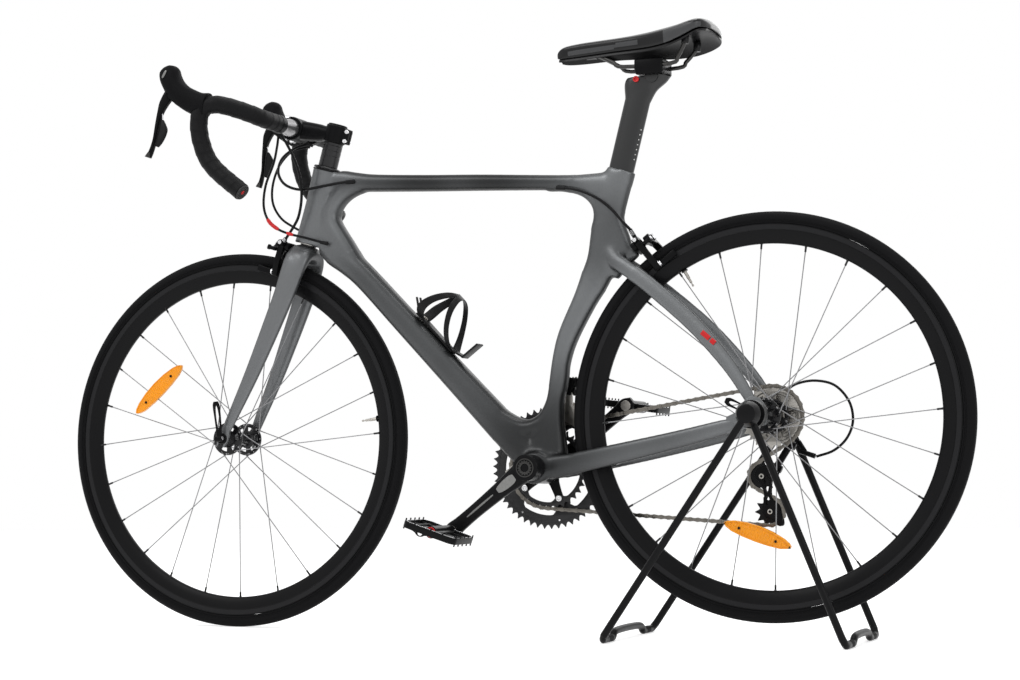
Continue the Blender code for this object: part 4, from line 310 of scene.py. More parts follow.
def block(name, size, place, bevel=0.001, segments=3):
    """A box with rounded edges, set at place."""
    clear_choice()
    bpy.ops.mesh.primitive_cube_add(size=1)
    made = bpy.context.object
    made.name = name
    made.data.transform(Matrix.Diagonal((*size, 1)))
    edit(made)
    bpy.ops.mesh.bevel(offset=bevel, offset_type="OFFSET", segments=segments, affect="EDGES")
    bpy.ops.object.mode_set(mode="OBJECT")
    made.data.transform(place)
    return made


def plate(name, outlines, low, high, place=HERE, soft=0.0003):
    """A flat piece in the XZ plane between Y = low and Y = high; later outlines are its holes."""
    curve = bpy.data.curves.new(name, "CURVE")
    curve.dimensions = "2D"
    curve.fill_mode = "BOTH"
    soft = min(soft, (high - low) * 0.4)
    curve.extrude = (high - low) / 2 - soft
    curve.bevel_depth = soft
    curve.bevel_resolution = 1
    curve.offset = -soft
    for outline in outlines:
        spline = curve.splines.new("POLY")
        spline.points.add(len(outline) - 1)
        for point, (x, z) in zip(spline.points, outline):
            point.co = (x, z, 0, 1)
        spline.use_cyclic_u = True
    made = bpy.data.objects.new(name, curve)
    bpy.context.scene.collection.objects.link(made)
    choose(made)
    bpy.ops.object.convert(target="MESH")
    made = bpy.context.object
    made.data.transform(place @ Matrix.Translation((0, (low + high) / 2, 0)) @
        Matrix.Rotation(math.radians(90), 4, "X"))
    edit(made)
    bpy.ops.mesh.remove_doubles(threshold=0.000002)
    bpy.ops.mesh.normals_make_consistent(inside=False)
    bpy.ops.object.mode_set(mode="OBJECT")
    return made


def joined(name, pieces):
    """Several bodies kept as one piece."""
    choose(*pieces)
    if len(pieces) > 1:
        bpy.ops.object.join()
    made = bpy.context.object
    made.name = name
    return made


def use_modifier(piece, kind, **settings):
    step = piece.modifiers.new(kind.lower(), kind)
    for key, value in settings.items():
        setattr(step, key, value)
    choose(piece)
    bpy.ops.object.modifier_apply(modifier=step.name)
    return piece


def cut(piece, *tools, solver="EXACT"):
    """Takes the tools' shapes out of the piece, and the tools away."""
    for tool in tools:
        use_modifier(piece, "BOOLEAN", operation="DIFFERENCE", solver=solver, object=tool)
        bpy.data.objects.remove(tool)
    return piece


def remeshed(piece, voxel, rounds):
    """One even skin over everything the piece holds, smoothed so that the forms flow together."""
    choose(piece)
    piece.data.remesh_voxel_size = voxel
    piece.data.use_remesh_fix_poles = False
    bpy.ops.object.voxel_remesh()
    use_modifier(piece, "SMOOTH", factor=0.5, iterations=rounds)
    return piece


def copy_of(node, name):
    """The CAD node's own shape as a clean mesh that can be worked on."""
    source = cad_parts[node]
    made = bpy.data.objects.new(name, source.data.copy())
    bpy.context.scene.collection.objects.link(made)
    made.data.materials.clear()
    edit(made)
    bpy.ops.mesh.remove_doubles(threshold=0.000002)
    if made.data.has_custom_normals:
        bpy.ops.mesh.customdata_custom_splitnormals_clear()
    bpy.ops.mesh.dissolve_limited(angle_limit=math.radians(0.6))
    bpy.ops.object.mode_set(mode="OBJECT")
    return made


def soften(piece, width=0.0004, angle=38, segments=2):
    """Rounds the sharp edges as a cast or machined piece has them."""
    return use_modifier(piece, "BEVEL", width=width, segments=segments, limit_method="ANGLE",
        angle_limit=math.radians(angle))


def in_stance(*pieces):
    """Moves pieces from the bike's own frame to where the stand holds it."""
    for piece in pieces:
        piece.data.transform(STANCE)
    return pieces


def fit(piece, body, nodes, slot, look, smooth_angle=32):
    """Finishes a piece: its surface, its shading, what it rides on and the CAD nodes it stands for."""
    choose(piece)
    if look:
        piece.data.materials.clear()
        piece.data.materials.append(FINISH[look])
    bpy.ops.object.shade_smooth_by_angle(angle=math.radians(smooth_angle))
    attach(piece, body)
    if nodes:
        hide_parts(*nodes)
    return piece


def settle(piece, *finishing):
    """Moves a finished piece to where the stand holds it and fits it there."""
    in_stance(piece)
    return fit(piece, *finishing)


def dressed(node, body, slot, look, bevel=0.0004, extra=(), angle=38):
    """A CAD node's own shape with softened edges, and any small pieces that it carries."""
    base = copy_of(node, node + "_skin")
    if bevel:
        soften(base, bevel, angle)
    if extra:
        in_stance(*extra)
        base = joined(node + "_skin", [base, *extra])
    return fit(base, body, [node], slot, look)


# Finishes


def new_group(name, inputs, outputs):
    """A shader node group with named sockets, its two ends ready to be wired."""
    tree = bpy.data.node_groups.new(name, "ShaderNodeTree")
    for socket, kind, default in inputs:
        tree.interface.new_socket(socket, in_out="INPUT", socket_type=kind).default_value = default
    for socket, kind in outputs:
        tree.interface.new_socket(socket, in_out="OUTPUT", socket_type=kind)
    return tree, tree.nodes.new("NodeGroupInput"), tree.nodes.new("NodeGroupOutput")


def add(tree, kind, given=(), **settings):
    """A shader node with its settings, and with the values given for some of its sockets."""
    node = tree.nodes.new("ShaderNode" + kind)
    for key, value in settings.items():
        setattr(node, key, value)
    for socket, value in dict(given).items():
        node.inputs[socket].default_value = value
    return node


def wire_up(tree, *links):
    """Links the sockets named in rows of a node, its output, the next node and its input."""
    for start, out, end, socket in links:
        tree.links.new(start.outputs[out], end.inputs[socket])


def build_variation_group():
    """Slow unevenness of colour and gloss over a surface, as handling and casting leave it."""
    tree, start, end = new_group("Uneven surface", [("Colour", "NodeSocketColor", (0.5, 0.5, 0.5, 1)),
        ("Roughness", "NodeSocketFloat", 0.5), ("Scale", "NodeSocketFloat", 40.0),
        ("Amount", "NodeSocketFloat", 0.2)], [("Colour", "NodeSocketColor"),
        ("Roughness", "NodeSocketFloat")])
    place = add(tree, "TexCoord")
    noise = add(tree, "TexNoise", {"Detail": 5.0, "Roughness": 0.62})
    centred = add(tree, "Math", {1: 0.5}, operation="SUBTRACT")
    swing = add(tree, "Math", operation="MULTIPLY")
    gain = add(tree, "Math", {1: 1.0}, operation="ADD")
    tint = add(tree, "VectorMath", operation="SCALE")
    rough = add(tree, "Math", operation="MULTIPLY", use_clamp=True)
    wire_up(tree, (place, "Object", noise, "Vector"), (start, "Scale", noise, "Scale"),
        (noise, "Fac", centred, 0), (centred, 0, swing, 0), (start, "Amount", swing, 1), (swing, 0, gain, 0),
        (start, "Colour", tint, 0), (gain, 0, tint, "Scale"), (start, "Roughness", rough, 0),
        (gain, 0, rough, 1), (tint, 0, end, "Colour"), (rough, 0, end, "Roughness"))
    return tree


def build_grain_group():
    """Fine pitting or grain as a height, in the surface's own space."""
    tree, start, end = new_group("Fine grain", [("Scale", "NodeSocketFloat", 900.0)],
        [("Height", "NodeSocketFloat")])
    place = add(tree, "TexCoord")
    noise = add(tree, "TexNoise", {"Detail": 2.0})
    cells = add(tree, "TexVoronoi")
    total = add(tree, "Math", operation="ADD")
    wire_up(tree, (place, "Object", noise, "Vector"), (place, "Object", cells, "Vector"),
        (start, "Scale", noise, "Scale"), (start, "Scale", cells, "Scale"), (noise, "Fac", total, 0),
        (cells, "Distance", total, 1), (total, 0, end, "Height"))
    return tree


def build_flake_group():
    """Metal flakes in a clear lacquer: each one a shade lighter or darker than the paint."""
    tree, start, end = new_group("Paint flake", [("Colour", "NodeSocketColor", (0.1, 0.1, 0.1, 1)),
        ("Flake size", "NodeSocketFloat", 2600.0), ("Contrast", "NodeSocketFloat", 0.5)],
        [("Colour", "NodeSocketColor"), ("Metallic", "NodeSocketFloat")])
    place = add(tree, "TexCoord")
    cells = add(tree, "TexVoronoi")
    grey = add(tree, "SeparateColor")
    spread = add(tree, "MapRange", {"To Min": 0.78})
    tint = add(tree, "VectorMath", operation="SCALE")
    high = add(tree, "Math", {0: 1.0}, operation="ADD")
    metal = add(tree, "MapRange", {"To Min": 0.3, "To Max": 0.7})
    wire_up(tree, (place, "Object", cells, "Vector"), (start, "Flake size", cells, "Scale"),
        (cells, "Color", grey, "Color"), (grey, "Red", spread, "Value"), (start, "Contrast", high, 1),
        (high, 0, spread, "To Max"), (start, "Colour", tint, 0), (spread, "Result", tint, "Scale"),
        (grey, "Green", metal, "Value"), (tint, 0, end, "Colour"), (metal, "Result", end, "Metallic"))
    return tree


def build_fade_group():
    """A soft darkening of the colour round one spot."""
    tree, start, end = new_group("Spot darkening", [("Colour", "NodeSocketColor", (0.1, 0.1, 0.1, 1)),
        ("Centre", "NodeSocketVector", (0.0, 0.0, 0.0)), ("Near", "NodeSocketFloat", 0.08),
        ("Far", "NodeSocketFloat", 0.25), ("Shade", "NodeSocketFloat", 0.5)], [("Colour", "NodeSocketColor")])
    place = add(tree, "TexCoord")
    reach = add(tree, "VectorMath", operation="DISTANCE")
    spread = add(tree, "MapRange", interpolation_type="SMOOTHSTEP")
    tint = add(tree, "VectorMath", operation="SCALE")
    wire_up(tree, (place, "Object", reach, 0), (start, "Centre", reach, 1), (reach, "Value", spread, "Value"),
        (start, "Near", spread, "From Min"), (start, "Far", spread, "From Max"),
        (start, "Shade", spread, "To Min"), (start, "Colour", tint, 0), (spread, "Result", tint, "Scale"),
        (tint, 0, end, "Colour"))
    return tree


def build_painted_flank_shade_group():
    """Painted shade: full colour on the flanks that face sideways, and a darker shade of it painted on the
    edges that face up and down.
    """
    tree, start, end = new_group("Painted flank shade", [("Colour", "NodeSocketColor", (0.1, 0.1, 0.1, 1)),
        ("Edge", "NodeSocketFloat", 0.5)], [("Colour", "NodeSocketColor")])
    place = add(tree, "TexCoord")
    parts = add(tree, "SeparateXYZ")
    sideways = add(tree, "Math", operation="ABSOLUTE")
    spread = add(tree, "MapRange", {"From Min": 0.35, "From Max": 0.97}, interpolation_type="SMOOTHSTEP")
    tint = add(tree, "VectorMath", operation="SCALE")
    wire_up(tree, (place, "Normal", parts, 0), (parts, "Y", sideways, 0), (sideways, 0, spread, "Value"),
        (start, "Edge", spread, "To Min"), (start, "Colour", tint, 0), (spread, "Result", tint, "Scale"),
        (tint, 0, end, "Colour"))
    return tree


GROUPS = {}


def placed_group(tree, name, **values):
    node = add(tree, "Group")
    node.node_tree = GROUPS[name]
    for socket, value in values.items():
        node.inputs[socket].default_value = value
    return node


def finish(name, colour, roughness, metallic=0.0, vary=0.25, scale=35.0, grain=900.0, depth=0.05, coat=0.0,
        coat_roughness=0.06, specular=0.5, flake=0.0):
    """A finish with uneven gloss, fine grain and, where asked, a lacquer or metal flakes."""
    material = bpy.data.materials.new(name)
    material.use_nodes = True
    tree = material.node_tree
    shader = tree.nodes["Principled BSDF"]
    shader.inputs["Metallic"].default_value = metallic
    shader.inputs["Specular IOR Level"].default_value = specular
    shader.inputs["Coat Weight"].default_value = coat
    shader.inputs["Coat Roughness"].default_value = coat_roughness
    uneven = placed_group(tree, "uneven", Colour=(*colour, 1), Roughness=roughness, Scale=scale, Amount=vary)
    wire_up(tree, (uneven, "Colour", shader, "Base Color"), (uneven, "Roughness", shader, "Roughness"))
    if flake:
        flakes = placed_group(tree, "flake", Contrast=flake)
        wire_up(tree, (uneven, "Colour", flakes, "Colour"), (flakes, "Colour", shader, "Base Color"),
            (flakes, "Metallic", shader, "Metallic"))
    if depth:
        pitting = placed_group(tree, "grain", Scale=grain)
        bump = add(tree, "Bump", {"Strength": depth, "Distance": 0.001})
        wire_up(tree, (pitting, "Height", bump, "Height"), (bump, "Normal", shader, "Normal"))
    return material


def recoloured(material, group, **values):
    """Passes a finish's colour through one of the shader groups."""
    tree = material.node_tree
    paint = tree.nodes["Principled BSDF"].inputs["Base Color"]
    node = placed_group(tree, group, **values)
    tree.links.new(paint.links[0].from_socket, node.inputs["Colour"])
    tree.links.new(node.outputs["Colour"], paint)


def with_fades(material, *fades):
    """Darkens a finish round the given spots: centre in millimetres of the bike frame, near, far, shade."""
    for centre, near, far, shade in fades:
        recoloured(material, "fade", Centre=STANCE @ (Vector(centre) / 1000), Near=near, Far=far, Shade=shade)


def with_painted_flank_shade(material, edge, tint):
    """Paints shade on a lacquer's upper and lower edges and tones down its mirror-like rim."""
    shader = material.node_tree.nodes["Principled BSDF"]
    shader.inputs["Specular Tint"].default_value = (tint, tint, tint, 1)
    recoloured(material, "flank", Edge=edge)


def with_pattern(material, kind, across, along, strength, distance=0.001):
    """Adds a raised pattern that follows the piece's own UV map to the finish's bump."""
    tree = material.node_tree
    bump = next(node for node in tree.nodes if node.type == "BUMP")
    spot = add(tree, "UVMap")
    scale = add(tree, "Mapping", {"Scale": (across, along, 1)})
    raised = add(tree, "Bump", {"Strength": strength, "Distance": distance})
    if kind == "holes":
        texture = add(tree, "TexVoronoi", {"Randomness": 0.0, "Scale": 1.0})
        out = "Distance"
    else:
        texture = add(tree, "TexWave", {"Scale": 1.0}, wave_type="BANDS", bands_direction="DIAGONAL")
        out = "Fac"
    wire_up(tree, (spot, "UV", scale, "Vector"), (scale, "Vector", texture, "Vector"),
        (texture, out, raised, "Height"), (bump, "Normal", raised, "Normal"),
        (raised, "Normal", tree.nodes["Principled BSDF"], "Normal"))
    return material


FINISH = {}


def build_finishes(paint):
    """Every finish on the bike, by the plain name that the pieces ask for."""
    GROUPS["uneven"] = build_variation_group()
    GROUPS["grain"] = build_grain_group()
    GROUPS["flake"] = build_flake_group()
    frame_colour = tuple(paint.frame_colour)
    fork_colour = tuple(paint.fork_colour)
    amber = tuple(paint.reflector_colour)
    red = tuple(paint.accent_colour)
    GROUPS["fade"] = build_fade_group()
    GROUPS["flank"] = build_painted_flank_shade_group()
    FINISH.update(frame=finish("Graphite frame lacquer", frame_colour, 0.36, 0.75, 0.10, 12, 2400, 0.0, 0.15,
        0.2, flake=0.12), fork=finish("Grey fork lacquer", fork_colour, 0.34, 0.75, 0.10, 12, 2400, 0.0, 0.15,
        0.2, flake=0.12), tyre=finish("Tyre rubber", (0.0065, 0.0065, 0.007), 0.6, 0.0, 0.35, 25, 1500, 0.16,
        specular=0.05), rim=finish("Satin black rim", (0.004, 0.004, 0.0045), 0.34, 0.0, 0.3, 20, 900, 0.03,
        specular=0.10), brake_track=finish("Brake track", (0.008, 0.008, 0.009), 0.42, 0.2, 0.35, 90, 2600,
        0.12, specular=0.2), hub=finish("Black anodised hub", (0.006, 0.006, 0.007), 0.24, 0.2, 0.3, 60, 1800,
        0.03, specular=0.35), spoke=finish("Spoke steel", (0.22, 0.22, 0.225), 0.34, 0.9, 0.25, 120, 2000,
        0.02), steel=finish("Nickel steel", (0.36, 0.345, 0.32), 0.33, 1.0, 0.35, 120, 1600, 0.06),
        dark_steel=finish("Dark rail steel", (0.035, 0.034, 0.033), 0.3, 0.7, 0.3, 120, 1600, 0.03),
        chain=finish("Chain steel", (0.15, 0.14, 0.125), 0.38, 0.95, 0.5, 240, 1800, 0.08),
        silver=finish("Polished alloy", (0.70, 0.70, 0.71), 0.2, 1.0, 0.2, 60, 1500, 0.03),
        brushed=finish("Brushed alloy panel", (0.20, 0.20, 0.195), 0.42, 0.8, 0.5, 220, 2200, 0.1),
        light_band=finish("Light grey band", (0.17, 0.17, 0.165), 0.4, 0.1, 0.2, 60, 1500, 0.03),
        black_metal=finish("Black painted metal", (0.005, 0.005, 0.0055), 0.3, 0.0, 0.35, 60, 1300, 0.04,
        specular=0.06), crank=finish("Black crank", (0.006, 0.006, 0.0065), 0.3, 0.0, 0.25, 30, 1300, 0.04,
        specular=0.07), ring=finish("Black chainring", (0.022, 0.022, 0.023), 0.36, 0.3, 0.35, 80, 1700, 0.08,
        specular=0.3), plastic=finish("Black moulded plastic", (0.006, 0.006, 0.0065), 0.42, 0.0, 0.25, 50,
        1500, 0.06, specular=0.12), housing=finish("Cable housing", (0.004, 0.004, 0.0045), 0.3, 0.0, 0.2, 80,
        2400, 0.03, specular=0.12), hood=finish("Hood rubber", (0.005, 0.005, 0.0055), 0.56, 0.0, 0.22, 40,
        1700, 0.12, specular=0.05), tape=finish("Bar tape", (0.006, 0.006, 0.0065), 0.5, 0.0, 0.35, 60, 1300,
        0.15, specular=0.1), carbon=finish("Carbon spacers", (0.014, 0.014, 0.015), 0.25, 0.1, 0.7, 420, 900,
        0.05, specular=0.35), post=finish("Black seatpost lacquer", (0.010, 0.0105, 0.011), 0.28, 0.0, 0.2,
        14, 2400, 0.01, specular=0.45), leather=finish("Saddle cover", (0.005, 0.005, 0.0055), 0.24, 0.0, 0.3,
        # The grey on the saddle's flanks is a painted reflection.
        45, 1500, 0.05, specular=0.25), leather_grey=finish("Saddle flank painted reflection", (0.03, 0.031, 0.033), 0.36,
        0.1, 0.3, 45, 1500, 0.12), shell=finish("Saddle shell", (0.006, 0.006, 0.0065), 0.3, 0.0, 0.3, 50,
        1500, 0.04, specular=0.2), bar=finish("Grey handlebar", (0.30, 0.295, 0.30), 0.3, 0.85, 0.25, 60,
        2000, 0.04), stand=finish("Black stand enamel", (0.005, 0.005, 0.0055), 0.34, 0.0, 0.3, 40, 1200,
        0.04, specular=0.1), red=finish("Red anodised", red, 0.3, 0.3, 0.2, 60, 1500, 0.03, specular=0.4),
        white=finish("White print", (0.55, 0.55, 0.54), 0.5, 0.0, 0.1, 60, 1500, 0.03),
        amber=finish("Amber lens", amber, 0.2, 0.0, 0.35, 260, 420, 0.4, 0.15, 0.05, specular=0.2))
    # Painted shade on the upper and lower edges of the frame and fork lacquers.
    with_painted_flank_shade(FINISH["frame"], 0.42, 0.35)
    with_painted_flank_shade(FINISH["fork"], 0.5, 0.35)
    # Darker round the bottom bracket and the chainstays behind it, along the down tube and top tube, and
    # where the seat stays meet the seat tube.
    with_fades(FINISH["frame"], ((88, 0, 285), 0.04, 0.20, 0.30), ((20, 0, 350), 0.05, 0.17, 0.55),
        ((-150, 0, 530), 0.10, 0.24, 0.45), ((-150, 0, 790), 0.06, 0.15, 0.34),
        ((-40, 0, 790), 0.08, 0.18, 0.38), ((70, 0, 780), 0.06, 0.15, 0.34),
        ((215, 0, 650), 0.03, 0.11, 0.60), ((260, 0, 290), 0.08, 0.22, 0.65))
    with_pattern(FINISH["tape"], "holes", 9, 60, 0.25, 0.0006)
    with_pattern(FINISH["tyre"], "bands", 40, 0.2, 0.05, 0.0004)


# Frame and fork

TOP_TUBE = [(-316, 0, 787, 17, 15), (-266, 0, 783, 20.5, 17.5), (-240, 0, 781, 17.2, 18),
    (-200, 0, 776, 15.2, 18), (-100, 0, 767.5, 14.4, 17.5), (0, 0, 760, 14, 17), (100, 0, 751.5, 13.1, 16.5),
    (160, 0, 746, 13.4, 16), (190, 0, 741, 18, 16), (218, 0, 736, 23, 15.5), (240, 0, 734, 20, 15)]
DOWN_TUBE = [(-316, 0, 709, 29, 16), (-298, 0, 684, 30, 19), (-282, 0, 660, 27, 21),
    (-257, 0, 638, 23.5, 22.5), (-223, 0, 606, 21.5, 22.5), (-150, 0, 526, 22.5, 22.5),
    (-50, 0, 417, 24.5, 22.5), (46, 0, 312, 27, 23), (76, 0, 279, 25, 24)]
SEAT_TUBE = [(253.5, 0, 761, 25.2, 17.5), (237, 0, 713, 26.3, 17), (222, 0, 660, 25.8, 17),
    (213, 0, 614, 25, 17), (202.5, 0, 583, 26.5, 17), (181, 0, 544, 21, 17), (150.5, 0, 488, 18.2, 17),
    (136, 0, 446, 16, 17), (124, 0, 385, 15, 18), (117, 0, 348, 20, 19.5), (110, 0, 316, 30, 21.5),
    (104, 0, 292, 38, 23), (98, 0, 270, 34, 24)]
HEAD_WEB = [(-225, 0, 777, 15, 16), (-258, 0, 767, 17, 18), (-281, 0, 748, 17, 19), (-292, 0, 723, 17, 20),
    (-284, 0, 700, 17, 20.5), (-261, 0, 664, 16.5, 21), (-243, 0, 641, 12.5, 20), (-222, 0, 616, 8, 16)]
CRANK_WEB = [(-30, 0, 402, 15, 18), (2, 0, 371, 16, 20), (37, 0, 344, 16, 21), (73, 0, 331, 16, 21),
    (108, 0, 349, 16, 20), (130, 0, 400, 14, 17), (137, 0, 440, 13, 16)]
SEAT_WEB = [(120, 0, 747, 13, 15), (152, 0, 745, 14, 15.5), (190, 0, 735, 17, 16), (214, 0, 712, 18, 16),
    (222, 0, 684, 20, 16), (219, 0, 648, 20, 16)]
STAY_WEB = [(232, 0, 690, 20, 15), (236, 0, 660, 23, 15.5), (242, 0, 636, 25, 14.5), (246, 0, 614, 21, 14),
    (226, 0, 586, 20, 14)]
CHAINSTAY = [(88, 17, 262, 19, 11), (122, 23.5, 265, 20, 10), (165, 29, 270, 18.5, 8.5),
    (250, 43, 283.5, 17, 8), (350, 56, 301, 15, 7.5), (430, 66.5, 317, 13, 6), (456, 68.3, 323, 10, 2.6)]
SEATSTAY = [(216, 3, 668, 6, 4), (219, 6.5, 646, 11, 6), (228, 10.5, 627, 14, 7), (240, 15.8, 609, 15, 7),
    (256, 21.8, 596.5, 15, 7), (300, 29.5, 563, 14.5, 7), (380, 41, 490, 14, 6.5), (440, 55, 420, 12, 6),
    (474, 66.5, 368, 10, 4.5), (482, 68.3, 352, 8, 2.6)]
DROPOUT = [(438, 307), (470, 315), (485.1, 317), (485.1, 335), (486.4, 338.7), (490, 340.1), (493.6, 338.7),
    (494.9, 335), (494.9, 317), (503, 319), (506, 335), (503, 350), (494, 362), (480, 367), (468, 358),
    (460, 343), (438, 334)]
HANGER_OUTLINE = [(495.8, 323.5), (490.5, 306), (492.0, 300.5), (495, 298.2), (503, 298.2), (506.0, 300.5),
    (507.5, 306), (504.5, 323.5)]
HEAD_ROWS = [(HEAD_LOW, 25.5, 24.8), (0.386, 24.5, 23.6), (0.44, 23.6, 22), (0.494, 24, 23),
    (HEAD_HIGH, 24.6, 24.4)]
DROPOUT_INNER = REAR_HUB_HALF + GAP
DROPOUT_OUTER = DROPOUT_INNER + 0.006
HANGER = Vector((0.499, 0, 0.306))
BRIDGE = Vector((0.276, 0, 0.621))
BRIDGE_OUT = (BRIDGE - REAR_AXLE).normalized()
BRIDGE_BACK = Vector((BRIDGE_OUT.z, 0, -BRIDGE_OUT.x))
FRAME_VOXEL = 0.0021
FORK_VOXEL = 0.0017


def steer_rod(low, high, radius, sides=48):
    return rod("steer_rod", STEER @ (Z * low), STEER @ (Z * high), radius, sides)


def post_ring(distance, half_depth, half_width, sides=48):
    """The seatpost's teardrop section at a distance up from the frame's collar."""
    along = Vector((math.sin(SEAT_LEAN), 0, math.cos(SEAT_LEAN)))
    back = Vector((along.z, 0, -along.x))
    return oval(POST_TOP + along * distance, Y, back, half_width, half_depth, sides, 2.3)


def dropout_plates(side):
    low, high = sorted((side * DROPOUT_INNER, side * DROPOUT_OUTER))
    made = [plate("dropout", [[(x / 1000, z / 1000) for x, z in DROPOUT]], low, high, soft=0.0006)]
    if side > 0:
        reach = [(x / 1000, z / 1000) for x, z in HANGER_OUTLINE]
        made.append(plate("hanger", [reach, circle((HANGER.x, HANGER.z), 0.0035)], low + 0.0008, high))
    return made


JUNCTIONS = [((-0.290, 0, 0.715), 0.075), ((0.095, 0, 0.320), 0.085), ((0.215, 0, 0.725), 0.055),
    ((0.235, 0, 0.615), 0.060)]


def soften_junctions(body, rounds):
    """Extra smoothing where tubes meet, so that they run into each other in wide fillets."""
    group = body.vertex_groups.new(name="junctions")
    for vertex in body.data.vertices:
        if any((vertex.co - Vector(spot)).length < reach for spot, reach in JUNCTIONS):
            group.add([vertex.index], 1.0, "REPLACE")
    use_modifier(body, "SMOOTH", factor=0.5, iterations=rounds, vertex_group="junctions")
    body.vertex_groups.clear()


def build_frame(settings):
    """One flowing carbon skin from the lofted tubes, with the ends that carry the wheel added crisp."""
    across = STEER.to_3x3() @ X
    head = [oval(STEER @ (Z * h), Y, across, w / 1000, d / 1000, 40) for h, d, w in smooth(HEAD_ROWS, 3)]
    pieces = [skin("head", head), skin("top_tube", tube_rings(TOP_TUBE, squareness=2.7)),
        skin("down_tube", tube_rings(DOWN_TUBE, squareness=2.6)),
        skin("seat_tube", tube_rings(SEAT_TUBE, squareness=2.4)),
        *(skin("web", tube_rings(rows, squareness=2.3)) for rows in (HEAD_WEB, CRANK_WEB, SEAT_WEB,
        STAY_WEB)), rod("shell", BB - Y * BB_HALF, BB + Y * BB_HALF, BB_SHELL_RADIUS, 48),
        rod("bridge", BRIDGE - BRIDGE_BACK * 0.058, BRIDGE, 0.0105)]
    for side in (-1, 1):
        for rows in (CHAINSTAY, SEATSTAY):
            pieces.append(skin("stay", tube_rings([(x, y * side, z, d, w) for x, y, z, d, w in rows], 28,
                2.5)))
    body = remeshed(joined("frame_skin", pieces), FRAME_VOXEL, settings.blend_rounds)
    soften_junctions(body, settings.blend_rounds * 2)
    tools = [steer_rod(0.36, 0.52, 0.0188), steer_rod(0.355, HEAD_LOW + 0.0075, 0.0213),
        steer_rod(HEAD_HIGH - 0.0075, 0.54, 0.0213), steer_rod(HEAD_HIGH, HEAD_HIGH + 0.03, 0.034),
        steer_rod(HEAD_LOW - 0.03, HEAD_LOW, 0.034), rod("bore", BB - Y * 0.05, BB + Y * 0.05, 0.0209, 48),
        rod("face", BB + Y * BB_HALF, BB + Y * 0.05, 0.040, 48), rod("face", BB - Y * 0.05, BB - Y * BB_HALF,
        0.040, 48), skin("collar_face", [post_ring(s, 0.045, 0.045) for s in (-0.0002, 0.03)]),
        skin("post_bore", [post_ring(s, POST_DEPTH / 2 + GAP, POST_WIDTH / 2 + GAP) for s in (-0.122,
        0.031)]), rod("bolt_bore", BRIDGE - BRIDGE_BACK * 0.022, BRIDGE + BRIDGE_BACK * 0.02, 0.0034)]
    cut(body, *tools)
    body = joined("frame_skin", [body, *dropout_plates(-1), *dropout_plates(1)])
    settle(body, "frame", ["frame"], "graphite_paint", "frame", 65)


def build_frame_trim(settings):
    """The small pieces on the frame: cable ports, rings and the red mark on the stay."""
    ring = turned("collar", [(0.0243, 0), (0.0249, 0.0004), (0.0249, 0.0020), (0.0243, 0.0024),
        (0.0235, 0.0012)], STEER @ (Z * (HEAD_HIGH - 0.0025)), STEER, 64, ring=True)
    ports = []
    for start, end, radius in (((-288, -24.5, 672.5), (-302, -26.5, 676), 0.0036),
            ((-288, 24.5, 672.5), (-302, 26.5, 676), 0.0036), ((-236, -18.5, 779.5), (-252, -22.5, 779),
            0.0040), ((142, -15.8, 737), (158, -18.5, 734.5), 0.0040)):
        ports.append(rod("port", Vector(start) / 1000, Vector(end) / 1000, radius, 24, radius * 0.82))
    settle(joined("frame_ports", [ring, *ports]), "frame", [], "black_plastic", "plastic")
    marks = []
    for start, end in (((397, -49.6, 474.5), (410, -52.0, 463.0)),
            ((412.5, -52.4, 460.8), (419.5, -53.7, 454.6))):
        low, high = Vector(start) / 1000, Vector(end) / 1000
        along = (high - low).normalized()
        up = along.cross(Y).normalized()
        marks.append(skin("mark", [oval(p, up, Y, 0.0042, 0.0022, 16, 6) for p in (low, low.lerp(high, 0.5),
            high)]))
    settle(joined("seatstay_mark", marks), "frame", [], "graphite_paint", "red")


BLADE = [(-43.8, 53.3, 12, 9, 2.7), (-38, 51, 42, 10.5, 5), (-24, 47, 120, 14, 6.5), (-14, 43, 190, 17, 7.5),
    (-4, 38.5, 270, 20, 8.8), (-1, 35, 315, 22, 10), (0, 29, 341, 23.2, 12), (0, 16.5, 352.6, 23.6, 14.4),
    (0, 0, 355, 23.8, 14.2)]
FORK_TAB = [(-52.5, -14), (-49.9, -14), (-49.9, 0), (-48.6, 3.7), (-45, 5.1), (-41.4, 3.7), (-40.1, 0),
    (-40.1, -14), (-37.5, -14), (-33, 0), (-34.5, 16), (-39, 25), (-47, 25), (-53, 14), (-56.5, 0)]
CROWN_BOLT = STEER @ Vector((-0.0238, 0, 0.3555))
CROWN_OUT = (CROWN_BOLT - FRONT_AXLE).normalized()
CROWN_FRONT = Vector((-CROWN_OUT.z, 0, CROWN_OUT.x))


def build_fork(settings):
    rows = [(x, -y, z, d, w) for x, y, z, d, w in BLADE] + BLADE[-2::-1]
    blades = skin("blades", tube_rings(rows, 36, place=STEER, depth=(1, 0, 0)))
    blades = remeshed(blades, FORK_VOXEL, settings.blend_rounds // 2)
    cut(blades, rod("bolt_bore", CROWN_BOLT - CROWN_FRONT * 0.022, CROWN_BOLT + CROWN_FRONT * 0.02, 0.0034))
    outline = [(x / 1000, z / 1000) for x, z in FORK_TAB]
    inner = FRONT_HUB_HALF + GAP
    tabs = [plate("tab", [outline], low, high, STEER, 0.0006) for low, high in ((-inner - 0.006, -inner),
        (inner, inner + 0.006))]
    settle(joined("fork_skin", [blades, *tabs]), "steering", ["fork"], "grey_paint", "fork", 40)
    tube = steer_rod(0.362, STEM_FOOT + STEM_HEIGHT - 0.003, 0.0143)
    in_stance(tube)
    tube.name = "steerer_tube"
    fit(tube, "steering", [], "carbon", "carbon")


# Headset, stem, seatpost and saddle


